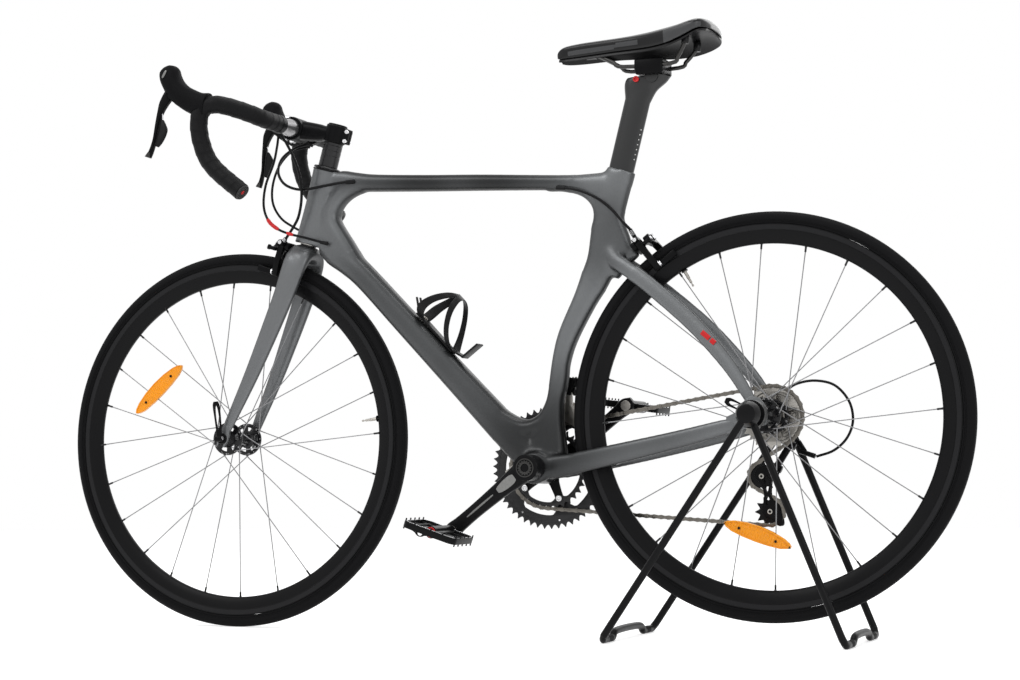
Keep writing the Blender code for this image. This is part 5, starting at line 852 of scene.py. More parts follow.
def build_headset(settings):
    """The upper bearing's cover and the spacers under the stem, each with its own softened rim."""
    pieces = [turned("cover", [(0.0146, HEAD_HIGH - 0.007), (0.0200, HEAD_HIGH - 0.007),
        (0.0200, HEAD_HIGH + 0.0006), (0.0236, HEAD_HIGH + 0.0008), (0.0243, HEAD_HIGH + 0.0015),
        (0.0240, HEAD_HIGH + 0.0034), (0.0228, HEAD_HIGH + 0.0046), (0.0180, HEAD_HIGH + 0.0056),
        (0.0146, HEAD_HIGH + 0.0056)], STEER @ Vector((0, 0, 0)), STEER, 64, ring=True)]
    low = HEAD_HIGH + 0.0058
    for height in (0.0195, 0.0095, 0.0095, 0.0048):
        high = low + height
        profile = [(0.0146, low), (0.0168, low), (0.0172, low + 0.0005), (0.0172, high - 0.0005),
            (0.0168, high), (0.0146, high)]
        pieces.append(turned("spacer", profile, STEER @ Vector((0, 0, 0)), STEER, 64, ring=True))
        low = high + 0.0001
    settle(joined("headset_spacers_skin", pieces), "steering", ["headset_spacers"], "carbon", "carbon")


STEM_NECK = [(4, 16.5, 14.0), (19, 15.5, 13.2), (32, 15.0, 15.2), (62, 16.5, 17.2), (78, 17.5, 16.5)]


def build_stem(settings):
    """Forged stem: neck, steerer clamp with two screws behind, and a faceplate held by four screws."""
    mid = STEER @ (Z * STEM_MIDDLE)
    toward = (BAR_CENTRE - mid).normalized()
    up = toward.cross(Y)
    low, high = STEER @ (Z * STEM_FOOT), STEER @ (Z * (STEM_FOOT + STEM_HEIGHT))
    upright = STEER.to_3x3().to_4x4()
    back = upright @ X
    neck = [oval(mid + toward * (s / 1000), Y, up, w / 1000, d / 1000, 40, 2.8) for
        s, w, d in smooth(STEM_NECK, 5)]
    side = Y * 0.0215
    body = joined("stem_skin", [rod("clamp", low, high, 0.0195, 48, chamfer=0.0012), skin("neck", neck),
        rod("bar_clamp", BAR_CENTRE - side, BAR_CENTRE + side, 0.0212, 48, chamfer=0.0010),
        block("ears", (0.014, 0.017, 0.027), Matrix.Translation(mid + back * 0.0215) @ upright, 0.002)])
    body = remeshed(body, 0.0009, 4)
    cut(body, rod("bore", low - (high - low) * 0.2, high - (high - low) * 0.06, 0.0146, 48),
        rod("bar_bore", BAR_CENTRE - side * 1.4, BAR_CENTRE + side * 1.4, BAR_CLAMP_RADIUS + GAP, 48),
        block("slit", (0.020, 0.0026, 0.060), Matrix.Translation(mid + back * 0.026) @ upright, 0.0002, 1),
        block("split", (0.0016, 0.060, 0.060), Matrix.Translation(BAR_CENTRE + toward * 0.0022) @
        aim_matrix(toward), 0.0002, 1))
    cap = turned("cap", [(0, 0.0032), (0.0048, 0.0030), (0.0052, 0.0018), (0.0130, 0.0030), (0.0164, 0.0024),
        (0.0172, 0.0010), (0.0172, -0.001), (0, -0.001)], high, STEER, 48)
    settle(joined("stem_skin", [body, cap]), "steering", ["stem"], "black_metal", "black_metal")
    screws = []
    for way in (-1, 1):
        for lift in (-1, 1):
            at = BAR_CENTRE + Y * 0.0145 * way + up * 0.0185 * lift
            screws.append(socket_screw(at + toward * 0.012, toward, 0.0042, 0.0045))
        at = mid + back * 0.0245 + upright @ (Z * 0.0085 * way)
        screws.append(socket_screw(at - Y * 0.0078, -Y, 0.0037, 0.0030))
        screws.append(socket_screw(at + Y * 0.0078, Y, 0.0037, 0.0030))
    settle(joined("stem_screws", screws), "steering", [], "steel", "silver")


def aim_matrix(direction):
    return direction.to_track_quat("X", "Z").to_matrix().to_4x4()


def socket_screw(at, out, radius, height):
    """A screw head with its hexagonal socket."""
    turn = Vector(out).to_track_quat("Z", "Y").to_matrix().to_4x4()
    return turned("screw", [(0, height * 0.35), (radius * 0.5, height * 0.35), (radius * 0.56, height * 0.9),
        (radius * 0.66, height), (radius * 0.9, height), (radius, height * 0.86), (radius, -height),
        (0, -height)], at, turn, 24)


def build_seatpost(settings):
    """The aero post with its forged head, tick marks down its rear edge and the red clamp screw."""
    rows = [(265, 906, 320, 888, 11.5), (274, 917, 337, 901, 12.5), (296, 922, 345, 910, 13)]
    sections = [post_ring(-0.100, POST_DEPTH / 2, POST_WIDTH / 2), post_ring(0.118, POST_DEPTH / 2,
        POST_WIDTH / 2)]
    for x1, z1, x2, z2, half in rows:
        a, b = Vector((x1, 0, z1)) / 1000, Vector((x2, 0, z2)) / 1000
        sections.append(oval((a + b) / 2, Y, (b - a).normalized(), half / 1000, (b - a).length / 2, 48, 2.4))
    flat = [[n for p in ring for n in p] for ring in sections]
    rings = [flat[0]] + smooth(flat[1:], 6)
    rings = [[Vector(row[i : i + 3]) for i in range(0, len(row), 3)] for row in rings]
    body = skin("post", rings)
    head_axis = Vector((0.316, 0, 0.912))
    cut(body, block("cap", (0.2, 0.1, 0.05), Matrix.Translation(head_axis + Z * 0.0272), 0.0005, 1))
    head = rod("head", head_axis - Y * 0.0157, head_axis + Y * 0.0157, 0.011, 48)
    settle(joined("seatpost_skin", [body, head]), "seatpost", ["seatpost"], "post_black", "post", 35)
    ticks = []
    along = Vector((math.sin(SEAT_LEAN), 0, math.cos(SEAT_LEAN)))
    back = Vector((along.z, 0, -along.x))
    for i in range(7):
        spot = POST_TOP + along * (0.020 + 0.0085 * i) + back * (POST_DEPTH / 2 - 0.0022) - Y * 0.0062
        ticks.append(rod("tick", spot, spot - Y * 0.0012 + back * 0.0006, 0.0011, 12))
    settle(joined("seatpost_scale", ticks), "seatpost", [], "post_black", "white")
    screw = socket_screw(Vector((0.2885, -0.0118, 0.9095)), -Y, 0.0052, 0.0030)
    screw.name = "seatpost_screw"
    settle(screw, "seatpost", [], "post_black", "red")


SADDLE_WIDTH = 0.143
SADDLE = [(147, 6, 967, 965, 960.5), (151, 11, 974, 970, 958), (163, 16.5, 979.5, 974.5, 956),
    (190, 20, 982, 976.5, 955.5), (220, 22, 983, 977, 956), (252, 25, 983.5, 977, 956.5),
    (285, 31, 984.5, 976.5, 955.5), (315, 40, 986.5, 976, 954), (345, 52, 989, 977, 954),
    (372, 63, 991.5, 979, 957.5), (392, SADDLE_WIDTH * 500 - 2, 995, 982, 963),
    (406, SADDLE_WIDTH * 500, 996.5, 984.5, 968.5), (416, SADDLE_WIDTH * 500 - 5.5, 996, 986, 972.5),
    (423, 50, 993, 985, 975), (427, 30, 987, 982, 976.5)]
PAD_THICKNESS = 12.0
SHELL_GAP = 2.0
SHELL_THICKNESS = 3.0
RAIL_MIDDLE = Vector((0.3115, 0, 0.9292))
RAIL_DIRECTION = Vector((68, 0, -2)).normalized()
RAIL_GAP = 22.0


def saddle_section(row, across=24):
    """The cushion's crown and its underside at one place, each from the right edge to the left."""
    x, half, crown, edge, foot = row
    top, under = [], []
    for i in range(across + 1):
        share = 1 - 2 * i / across
        groove = 1.3 * math.exp(-((share * half / 7.0) ** 2)) * min(1, max(0, (x - 175) / 60)) * min(1,
            max(0, (415 - x) / 60))
        top.append(Vector((x, share * half, crown - groove - (crown - edge) * abs(share) ** 2.6)))
    tucked = half - min(2.5, half * 0.2)
    middle = max(crown - PAD_THICKNESS, foot + 1.0)
    for i in range(across + 1):
        share = 1 - 2 * i / across
        under.append(Vector((x, share * tucked, middle + (foot - middle) * abs(share) ** 2.2)))
    return top, under


def saddle_ring(row):
    """A closed section with full, rounded flanks between the crown and the tucked underside."""
    top, under = saddle_section(row)
    flank_left, flank_right = [], []
    for share in (0.25, 0.5, 0.75):
        bulge = min(1.6, row[1] * 0.08) * math.sin(math.pi * share) * 0.6
        left = top[-1].lerp(under[-1], share)
        right = top[0].lerp(under[0], share)
        flank_left.append(left + Vector((0, -bulge, 0)))
        flank_right.append(right + Vector((0, bulge, 0)))
    return [p / 1000 for p in top + flank_left + under[::-1] + flank_right[::-1]]


def build_saddle(settings):
    """The padded cover with painted grey reflections on its flanks, the shell under it, the rails and the
    clamp.
    """
    rows = smooth(SADDLE, 5)
    cover = skin("saddle_cover_skin", [saddle_ring(row) for row in rows])
    use_modifier(cover, "SMOOTH", factor=0.4, iterations=2)
    use_modifier(cover, "SUBSURF", levels=1, render_levels=1)
    cover.data.materials.clear()
    cover.data.materials.append(FINISH["leather"])
    cover.data.materials.append(FINISH["leather_grey"])
    # Painted reflection: grey bands on the cover's sideways faces, where the black cover shows the light it
    # reflects.
    for face in cover.data.polygons:
        x, y, z = face.center * 1000
        low = 961 + (x - 150) * 0.018
        band = 171 < x < 300 and abs(face.normal.y) > 0.55 and low < z < low + 7.5
        wing = 352 < x < 418 and abs(face.normal.y) > 0.45 and z < 982 and abs(y) > 44
        if band or wing:
            face.material_index = 1
    settle(cover, "saddle", ["saddle_cover"], "saddle_cover", None, 60)
    rings = []
    for row in rows[5:-5]:
        under = [p.copy() for p in saddle_section(row)[1]]
        top = [p - Z * SHELL_GAP for p in under]
        low = [p - Z * (SHELL_GAP + SHELL_THICKNESS) for p in under]
        rings.append([p / 1000 for p in low + top[::-1]])
    pieces = [skin("shell", rings)]
    for y in (-0.0352, 0.0352):
        pieces.append(rod("boss", Vector((0.3825, y, 0.955)), Vector((0.384, y, 0.9706)), 0.0065))
    pieces.append(block("boss", (0.020, 0.016, 0.012), Matrix.Translation((0.206, 0, 0.9603)), 0.002))
    settle(joined("saddle_shell_skin", pieces), "saddle", ["saddle_shell"], "saddle_shell", "shell", 45)
    low = (RAIL_MIDDLE - RAIL_DIRECTION * 0.042) * 1000
    high = (RAIL_MIDDLE + RAIL_DIRECTION * 0.042) * 1000
    half = [(205, 0, 962.5), (208.5, 6, 962), (220, 11, 958), (235, 15.5, 950), (252, 19.8, 940),
        (low.x, RAIL_GAP, low.z), (high.x, RAIL_GAP, high.z), (366, 24.5, 937), (375, 29.5, 948),
        (382, 34.5, 959), (384, 36, 966)]
    route = [(x, -y, z) for x, y, z in half[:0:-1]] + half
    settle(pipe("saddle_rails_skin", mm(smooth(route, 4)), 0.0035, 20), "saddle", ["saddle_rails"], "steel",
        "dark_steel")
    dressed("saddle_clamp", "saddle_clamp", "black_metal", "black_metal", 0.0006)


# Handlebar, controls and cables

TAPE_START = 0.062
BAR_BEND = [(-359.5, 64, 886.5), (-370, 38, 892), (-390, 17, 900), (-411, 5, 906), (-430, 0, 906),
    (-443, 0, 898.5), (-448.5, 0, 886), (-449.5, 0, 867), (-445, 0, 842), (-433.5, 0, 813), (-412, 0, 787),
    (-368, 0, 750)]
HOOD = [(-426, 927, -436, 885, 16.9), (-441, 929, -453, 888.5, 16.6), (-456, 936, -473, 899, 16),
    (-469, 943.5, -488, 909.5, 16.5), (-479, 954, -505, 923, 16.5), (-484.5, 965, -516, 943, 16),
    (-487, 974.5, -522.5, 958, 15), (-493, 981, -523.5, 971, 12), (-503, 984, -518.5, 978.5, 6.5)]
LEVER_PIVOT = Vector((-0.5065, 0, 0.931))
LEVER = [(-514, 938, -500.5, 935, 7.6, 0), (-520, 929, -502, 924, 7.6, 0.5),
    (-525, 918, -510, 913.5, 7.4, 1.5), (-527.5, 902.5, -518.5, 900, 7, 3.5),
    (-531, 880, -524.5, 879, 6.6, 6), (-534.5, 854.5, -529.5, 854, 6, 9), (-541.5, 836, -534.5, 833.5, 5.3,
    11), (-549, 826, -538.5, 822.5, 4.6, 12)]
PADDLE = [(-520.2, 889, -516.5, 888, 2.6, 5), (-522.6, 880, -511.5, 879, 3.4, 6),
    (-524.9, 870, -508, 869, 3.6, 7), (-527.4, 858, -511.5, 857, 3.6, 8.5), (-529.4, 848, -518, 846.5, 3.4,
    9.5), (-530.4, 842.5, -524.5, 840, 3, 10)]
MOUTH = [(-0.550, 0.9445), (-0.5135, 0.9445), (-0.4925, 0.934), (-0.4925, 0.895), (-0.550, 0.895)]


def bar_line():
    """The left half of the bar, from its middle to its end."""
    w = BAR_HALF_WIDTH * 1000
    centre = BAR_CENTRE * 1000
    flat = [(centre.x, -y, centre.z) for y in (0, 26, 46, TAPE_START * 1000, w - 95)]
    return flat + [(x, inward - w, z) for x, inward, z in BAR_BEND]


def even_line(points, step):
    """The same line with its points a given step apart."""
    points = [Vector(p) for p in points]
    out = [points[0]]
    left = step
    for a, b in zip(points, points[1:]):
        length = (b - a).length
        while length >= left and length > 0:
            a = a.lerp(b, left / length)
            length = (b - a).length
            out.append(a)
            left = step
        left -= length
    return out + [points[-1]]


def mirrored(points):
    return [Vector((p[0], -p[1], p[2])) for p in points]


def build_handlebar(settings):
    left = mm(smooth(bar_line(), 6))
    line = mirrored(left[:0:-1]) + left
    radii = []
    for p in line:
        if abs(p.y) < 0.030:
            radii.append(BAR_CLAMP_RADIUS)
        elif abs(p.y) < 0.052 and p.x > -0.40:
            radii.append(BAR_CLAMP_RADIUS + (BAR_RADIUS - BAR_CLAMP_RADIUS) * (abs(p.y) - 0.030) / 0.022)
        else:
            radii.append(BAR_RADIUS)
    pieces = [pipe("bar", line, radii, 36)]
    settle(joined("handlebar_skin", pieces), "steering", ["handlebar"], "bar_grey", "bar", 45)
    plugs = []
    red = []
    for side in (1, -1):
        turn = Matrix.Scale(side, 4, (0, 1, 0))
        end, before = turn @ left[-1], turn @ left[-2]
        along = (end - before).normalized()
        aim = along.to_track_quat("Z", "Y").to_matrix().to_4x4()
        profile = [(0.0, 0.0016), (0.0080, 0.0022), (0.0092, 0.0034), (0.0135, 0.0030), (0.0147, 0.0012),
            (0.0145, -0.0006), (0, -0.0006)]
        plugs.append(turned("plug", profile, end, aim, 36))
        red.append(turned("dot", [(0, 0.0026), (0.0036, 0.0024), (0.0040, 0.0014), (0, 0.0014)], end, aim,
            24))
    settle(joined("bar_end_plugs", plugs), "steering", [], "black_plastic", "ring")
    settle(joined("bar_end_dots", red), "steering", [], "black_plastic", "red")


def build_tape(side, settings):
    """Cushioned tape wound round the bar, each turn lapping over the one before."""
    name = "right" if side > 0 else "left"
    line = mm(smooth(bar_line(), 8))
    start = next(i for i, p in enumerate(line) if abs(p.y) > TAPE_START)
    line = even_line(line[start:], 0.0018)
    along = (line[-1] - line[-2]).normalized()
    line[-1] = line[-1] - along * 0.0011
    sides = 36
    rings = pipe_rings(line, 1.0, sides)
    outer, inner = [], []
    for i, (centre, ring) in enumerate(zip(line, rings)):
        distance = i * 0.0018
        row = []
        for k, p in enumerate(ring):
            phase = (distance / settings.wrap_pitch + k / sides) % 1.0
            lap = settings.wrap_height * (phase**1.5 if phase < 0.9 else (1 - phase) * 8.5)
            row.append(centre + (p - centre).normalized() * (TAPE_RADIUS - 0.0007 + lap))
        outer.append(row)
        inner.append([centre + (p - centre).normalized() * (BAR_RADIUS + 0.0006) for p in ring])
    outer[0] = [c + (p - c).normalized() * (TAPE_RADIUS - 0.0012) for c, p in zip([line[0]] * sides,
        outer[0])]
    rows = outer + inner[::-1]
    if side > 0:
        rows = [mirrored(row) for row in rows]
    settle(skin("bar_tape_" + name + "_skin", rows, loop=True), "steering", ["bar_tape_" + name], "bar_tape",
        "tape", 60)
    w = []
    for share, radius in ((0.0, TAPE_RADIUS + 0.0002), (0.004, TAPE_RADIUS + 0.0004),
            (0.010, TAPE_RADIUS + 0.0004), (0.014, TAPE_RADIUS + 0.0001)):
        w.append((radius, share))
    direction = (line[1] - line[0]).normalized()
    band = pipe("band", [line[0] + direction * s for r, s in w], [r for r, s in w], 36)
    if side > 0:
        band.data.transform(Matrix.Scale(-1, 4, Y))
        weld(band)
    band.name = "bar_tape_end_" + name
    settle(band, "steering", [], "bar_tape", "plastic", 50)


def slab_rings(rows, y, side, sides=32, squareness=2.6, per_span=5):
    """Rings between the two side-view edges of a form: x, z, x, z, half width and how far out."""
    full = [(*row, 0) if len(row) == 5 else row for row in rows]
    rings = []
    for x1, z1, x2, z2, half, out in smooth(full, per_span):
        a, b = Vector((x1, 0, z1)) / 1000, Vector((x2, 0, z2)) / 1000
        middle = (a + b) / 2 + Y * (y + side * out / 1000)
        rings.append(oval(middle, Y, (a - b).normalized(), half / 1000, (a - b).length / 2, sides,
            squareness))
    return rings


def build_controls(side, settings):
    """One side's hood with a plaque on its flank, the brake lever in its mouth and the shift paddle behind.
    """
    name = "right" if side > 0 else "left"
    y = BAR_HALF_WIDTH * side
    pivot = LEVER_PIVOT + Y * y
    hood = skin("hood", slab_rings(HOOD, y, side, 40, 2.5))
    use_modifier(hood, "SMOOTH", factor=0.5, iterations=3)
    line = mm(smooth(bar_line(), 6))
    near = [p for p in line if p.x < -0.43]
    sleeve = pipe("sleeve", near if side < 0 else mirrored(near), TAPE_RADIUS + GAP, 36)
    mouth = skin("mouth", [[Vector((x, y + s * 0.0088, z)) for x, z in MOUTH] for s in (-1, 1)])
    cut(hood, sleeve, mouth)
    hood.name = "lever_hood_" + name + "_skin"
    settle(hood, "steering", ["lever_hood_" + name], "hood_rubber", "hood", 40)
    plaque = [oval(Vector((x, y + side * out, z)), Vector((0.55, 0, 0.83)), Vector((0.83, 0, -0.55)), along,
        across, 24, 3) for x, z, out, along, across in ((-0.5075, 0.9660, 0.0138, 0.0075, 0.0021),
        (-0.5075, 0.9660, 0.0161, 0.0075, 0.0021), (-0.5075, 0.9660, 0.0166, 0.0066, 0.0014))]
    settle(skin("hood_plaque_" + name, plaque), "steering", [], "steel", "brushed")
    blade = skin("blade", slab_rings(LEVER, y, side, 28, 3))
    pin = rod("pin", pivot - Y * 0.0142, pivot + Y * 0.0142, 0.0025)
    settle(joined("brake_lever_" + name + "_skin", [blade, pin]), "brake_lever_" + name,
        ["brake_lever_" + name], "black_metal", "black_metal", 45)
    tip = skin("tip", slab_rings([(-543.5, 833.2, -536.5, 830.2, 5.35, 11.3), (-549.6, 826.4, -538.7, 822.2,
        4.8, 12.05), (-550.0, 825.6, -539.4, 821.6, 3.4, 12.1)], y, side, 28, 3, 3))
    tip.name = "brake_lever_tip_" + name
    settle(tip, "brake_lever_" + name, [], "steel", "dark_steel", 45)
    paddle = skin("shift_lever_" + name + "_skin", slab_rings(PADDLE, y, side, 28, 3))
    settle(paddle, "shift_lever_" + name, ["shift_lever_" + name], "black_metal", "plastic", 45)
    stem = pipe("shift_arm_" + name,
        [Vector((x, y + side * out, z)) for x, z, out in ((-0.5215, 0.903, 0.0035), (-0.5185, 0.895, 0.0042),
        (-0.5178, 0.886, 0.0052))], 0.0014, 12)
    settle(stem, "shift_lever_" + name, [], "steel", "silver", 60)


HOUSING_RADIUS = 0.0025
SHIFT_HOUSING_RADIUS = 0.0022
ROUTES = {
    "front_brake_housing": [
        (-357, -60.5, 866), (-349, -57.5, 853), (-340, -51, 830), (-333, -46, 807), (-329.5, -42, 781),
        (-331, -39, 752), (-339, -35.5, 724), (-351, -33, 706),
    ],
    "rear_brake_housing_front": [
        (-357, 60.5, 866), (-364, 48, 867), (-380, 33, 859), (-392, 8, 838), (-389, -14, 811),
        (-373, -27, 788), (-350, -33, 775), (-326, -33.5, 771), (-298, -30, 774), (-266, -26, 778),
        (-243, -21.5, 780),
    ],
    "shift_housing_left": [
        (-363, -60.5, 864), (-364, -64.5, 845), (-369, -69, 816), (-383, -73.5, 778), (-388.5, -72.5, 742),
        (-384, -64, 716), (-371, -52, 701), (-352, -42, 692), (-328, -34, 685), (-310, -29.5, 679),
        (-294, -25.5, 674),
    ],
    "shift_housing_right": [
        (-363, 60.5, 864), (-368, 50, 862), (-388, 38, 855), (-408, 27, 829), (-416, 15, 792), (-413, 9, 758),
        (-400, 14, 731), (-380, 25, 714), (-352, 32.5, 698), (-320, 30.5, 683), (-294, 25.5, 674),
    ],
    "rear_brake_housing": [
        (150, -17.8, 736), (175, -20.5, 731), (200, -22, 721), (222, -22.5, 708), (244, -25, 688.5),
        (261.5, -29.2, 668.5),
    ],
    "rear_derailleur_housing": [
        (499, 67, 366), (505, 68, 378), (522, 70, 389), (552, 73, 393), (584, 76, 384), (606, 79, 357),
        (611, 80.5, 325), (600, 81, 297), (577, 81.2, 277), (547.5, 81.4, 267.9),
    ],
}


def caliper_place(bolt, front, out):
    """A caliper's own frame: X to the cable's side, Y away from its mount, Z off the rim."""
    made = Matrix((front.cross(out), front, out)).transposed().to_4x4()
    made.translation = bolt + front * GAP
    return made


FRONT_CALIPER = caliper_place(CROWN_BOLT, CROWN_FRONT, CROWN_OUT)
REAR_CALIPER = caliper_place(BRIDGE, BRIDGE_BACK, BRIDGE_OUT)


def build_cables(settings):
    """Every cable housing along its route; those that cross from the steering to the frame are attached to
    neither.
    """
    ends = {"front_brake_housing": FRONT_CALIPER @ Vector((-0.031, 0.0073, 0.0169)),
        "rear_brake_housing": REAR_CALIPER @ Vector((0.031, 0.0186, 0.0277))}
    for name, route in ROUTES.items():
        points = list(route)
        if name in ends:
            points.append(tuple(ends[name] * 1000))
        line = mm(smooth(points, 6))
        radius = HOUSING_RADIUS if "brake" in name else SHIFT_HOUSING_RADIUS
        body = "steering" if name == "front_brake_housing" else "frame"
        cable = pipe(name + "_skin", line, radius, 16)
        in_stance(cable)
        crosses = name in ("rear_brake_housing_front", "shift_housing_left", "shift_housing_right")
        choose(cable)
        cable.data.materials.clear()
        cable.data.materials.append(FINISH["housing"])
        bpy.ops.object.shade_smooth_by_angle(angle=math.radians(60))
        if crosses:
            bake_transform(cable)
        else:
            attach(cable, body)
        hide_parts(name)
        (adjuster_on(line) if
            name == "shift_housing_left" else [])


def adjuster_on(line):
    """The red inline adjuster near the head tube, on the left shift cable."""
    made = []
    for low, high, radius in ((-0.3855, -0.3700, 0.0034), (-0.3600, -0.3480, 0.0030)):
        near = [p for p in line if low <= p.x <= high and p.z < 0.720]
        radii = [radius * (0.78 if i in (0, len(near) - 1) else 1) for i in range(len(near))]
        made.append(pipe("barrel", near, radii, 20))
    made = joined("cable_adjusters", made)
    in_stance(made)
    choose(made)
    made.data.materials.clear()
    made.data.materials.append(FINISH["red"])
    bpy.ops.object.shade_smooth_by_angle(angle=math.radians(40))
    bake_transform(made)
    return [made]


# Brakes: X to the cable's side, Y away from the mount, Z off the rim

ARM_PIVOT = (21, 3)
INNER_LAYER = (0.0086, 0.0196)
OUTER_LAYER = (0.0216, 0.0336)
PAD_FACE = RIM_WIDTH / 2 + 0.0015
PAD_DROP = 0.049
PAD_REACH = 0.029
BRACKET = [(-9, -4), (-4, -9), (8, -8), (24, -4.5), (28, 3), (24, 9.5), (8, 10), (-4, 9), (-9, 4)]
NEAR_ARM = [(15, 9), (23, 12.5), (29, 12), (36, 10), (36, 4), (30, 1), (29.5, -10), (29, -26), (26, -42),
    (22, -53), (16, -53), (17, -42), (21.5, -30), (22, -18), (18, -8), (13.5, -1), (13, 5)]
FAR_ARM = [(-7, 7), (0, 9.5), (10, 8), (20, -3), (34, -4), (34, -10), (22, -10), (8, -8), (-6, -9), (-15, -9),
    (-21, -18), (-21, -30), (-17, -42), (-16, -53), (-22, -53), (-26, -42), (-29, -28), (-29, -14), (-22, 0)]
BARRELS = {"front": ((31, 13, 6), (31, 7.5, 16.5)), "rear": ((31, 16, 7), (31, 18.5, 27))}


def rounded(outline, side, per_span=4):
    """A closed outline in millimetres with its corners run into curves."""
    count = len(outline)
    out = []
    for i in range(count):
        a, b, c, d = (outline[(i + k) % count] for k in (-1, 0, 1, 2))
        for step in range(per_span):
            t = step / per_span
            out.append(tuple((2 * q + (r - p) * t + (2 * p - 5 * q + 4 * r - s) * t**2 +
                (3 * q - p - 3 * r + s) * t**3) / 2 for p, q, r, s in zip(a, b, c, d)))
    return [(x * side / 1000, z / 1000) for x, z in out]


def brake_arm(place, side, outline, layer, bore, pad_side):
    """One forged arm with softened edges, and its pad shoe at the rim held by a bolt."""
    hole = circle((bore[0] * side / 1000, bore[1] / 1000), 0.0033, 20)
    arm = plate("arm", [rounded(outline, side), hole], *layer, place, 0.0014)
    shoe = block("shoe", (0.0050, 0.046, 0.0105),
        place @ Matrix.Translation(((PAD_FACE + 0.0040) * pad_side, PAD_REACH, -PAD_DROP)), 0.0016)
    rubber = block("rubber", (0.0034, 0.042, 0.0085),
        place @ Matrix.Translation(((PAD_FACE + 0.0017) * pad_side, PAD_REACH, -PAD_DROP)), 0.0008)
    return joined("arm", [arm, shoe]), rubber


def build_brake(prefix, place, side, body):
    """One dual-pivot caliper: bracket, the arm on the cable's side and the arm that crosses over."""

    def at(x, y, z):
        return place @ Vector((x * side / 1000, y / 1000, z / 1000))

    def screw(x, y, z, radius, height):
        out = (place.to_3x3() @ Y).normalized()
        return socket_screw(at(x, y, z), out, radius, height)

    holder = [plate("plate", [rounded(BRACKET, side)], 0, 0.008, place, 0.0008),
        rod("bolt", at(0, -19, 0), at(0, 39, 0), 0.003), rod("post", at(21, 3, 3), at(21, 20.2, 3), 0.003),
        rod("washer", at(0, 34.1, 0), at(0, 35.6, 0), 0.0066, 32)]
    settle(joined(prefix + "_brake_bracket_skin", holder), body, [prefix + "_brake_bracket"], "black_metal",
        "black_metal")
    nut = joined(prefix + "_brake_pivot_nut",
        [rod("nut", at(0, 35.6, 0), at(0, 40.3, 0), 0.0058, 6, chamfer=0.0009)])
    settle(nut, body, [], "steel", "silver")
    arms = (("left", NEAR_ARM, INNER_LAYER, ARM_PIVOT, side), ("right", FAR_ARM, OUTER_LAYER, (0, 0), -side))
    for name, outline, layer, bore, pad_side in arms:
        arm, rubber = brake_arm(place, side, outline, layer, bore, pad_side)
        low, high = BARRELS[prefix]
        if name == "left":
            extras = [rod("barrel", at(*low), at(*high), 0.0036)]
        else:
            extras = [rod("anchor", at(31, 33, -7), at(31, 36.6, -7), 0.0052, 6)]
        arm = joined(f"{prefix}_brake_arm_{name}_skin", [arm, *extras])
        in_stance(arm, rubber)
        node = f"{prefix}_brake_arm_{name}"
        fit(arm, node, [node], "black_metal", "black_metal")
        rubber.name = node + "_pad"
        fit(rubber, node, [], "tyre", "tyre")
        sign = pad_side * side
        foot = 19.4 * sign
        front = layer[1] * 1000
        bolt = [screw(foot, front, -47.5, 0.0046, 0.0034), rod("disc", at(foot, front - 0.6, -47.5),
            at(foot, front + 0.5, -47.5), 0.0062, 28)]
        if name == "left":
            a, b = Vector(at(*low)), Vector(at(*high))
            for k in range(5):
                spot = a.lerp(b, 0.42 + 0.10 * k)
                bolt.append(rod("knurl", spot, spot + (b - a).normalized() * 0.0007, 0.0041, 20,
                    chamfer=0.0002))
            bolt.append(rod("cam", at(36.5, 14.2, 7), at(38.6, 14.2, 7), 0.0034))
        else:
            bolt.append(screw(31, 36.4, -7, 0.0032, 0.0022))
        bolt = joined(node + "_bolt", bolt)
        settle(bolt, node, [], "steel", "silver", 40)


# Wheels

WHEEL_TURN = Matrix.Rotation(TILT, 4, "Y") @ ALONG_Y
SPOKE_HOLES = 0.0265
LACING = math.radians(55)
FLANGE_RADIUS = 0.029
AXLE_RADIUS = 0.0045
SKEWER_RADIUS = 0.0025
CASSETTE_BORE = 0.0085


def mirrored_profile(half):
    return half + [(r, -h) for r, h in reversed(half) if h > 1e-6]


def build_tyre(name, centre, body):
    """A road tyre: round casing, a fine raised tread band either side of a smooth crown."""
    half = TYRE_WIDTH / 2
    middle = RIM_OUTER + 0.0092
    profile = [(RIM_OUTER + GAP, half - 0.0024), (RIM_OUTER + 0.0012, half - 0.0012),
        (RIM_OUTER + 0.0016, half - 0.0009)]
    for step in range(17):
        turn = math.radians(-18 + (90 + 18) * step / 16)
        radius = middle + (WHEEL_RADIUS - middle) * math.sin(turn)
        profile.append((radius, half * math.cos(turn) * 0.998))
    tread = []
    for radius, height in profile:
        share = height / half
        edge = 0.00028 if 0.30 < share < 0.72 else 0
        groove = -0.00025 if 0.25 < share <= 0.30 or 0.72 < share < 0.76 else 0
        tread.append((min(radius + edge + groove, WHEEL_RADIUS), height))
    rows = mirrored_profile(tread)
    settle(turned(name + "_skin", rows, centre, WHEEL_TURN, 180, ring=True), body, [name], "tyre", "tyre", 50)
    lines = []
    for side in (-1, 1):
        for radius, height in ((RIM_OUTER + 0.0033, half + 0.00002), (RIM_OUTER + 0.0060, half + 0.0002)):
            section = [(radius + 0.0003 * math.cos(a), side * (height - 0.0004) + 0.0004 * math.sin(a)) for
                a in turns_of(8)]
            lines.append(turned("line", section, centre, WHEEL_TURN, 180, ring=True))
    settle(joined(name + "_moulding_lines", lines), body, [], "tyre", "tyre", 60)


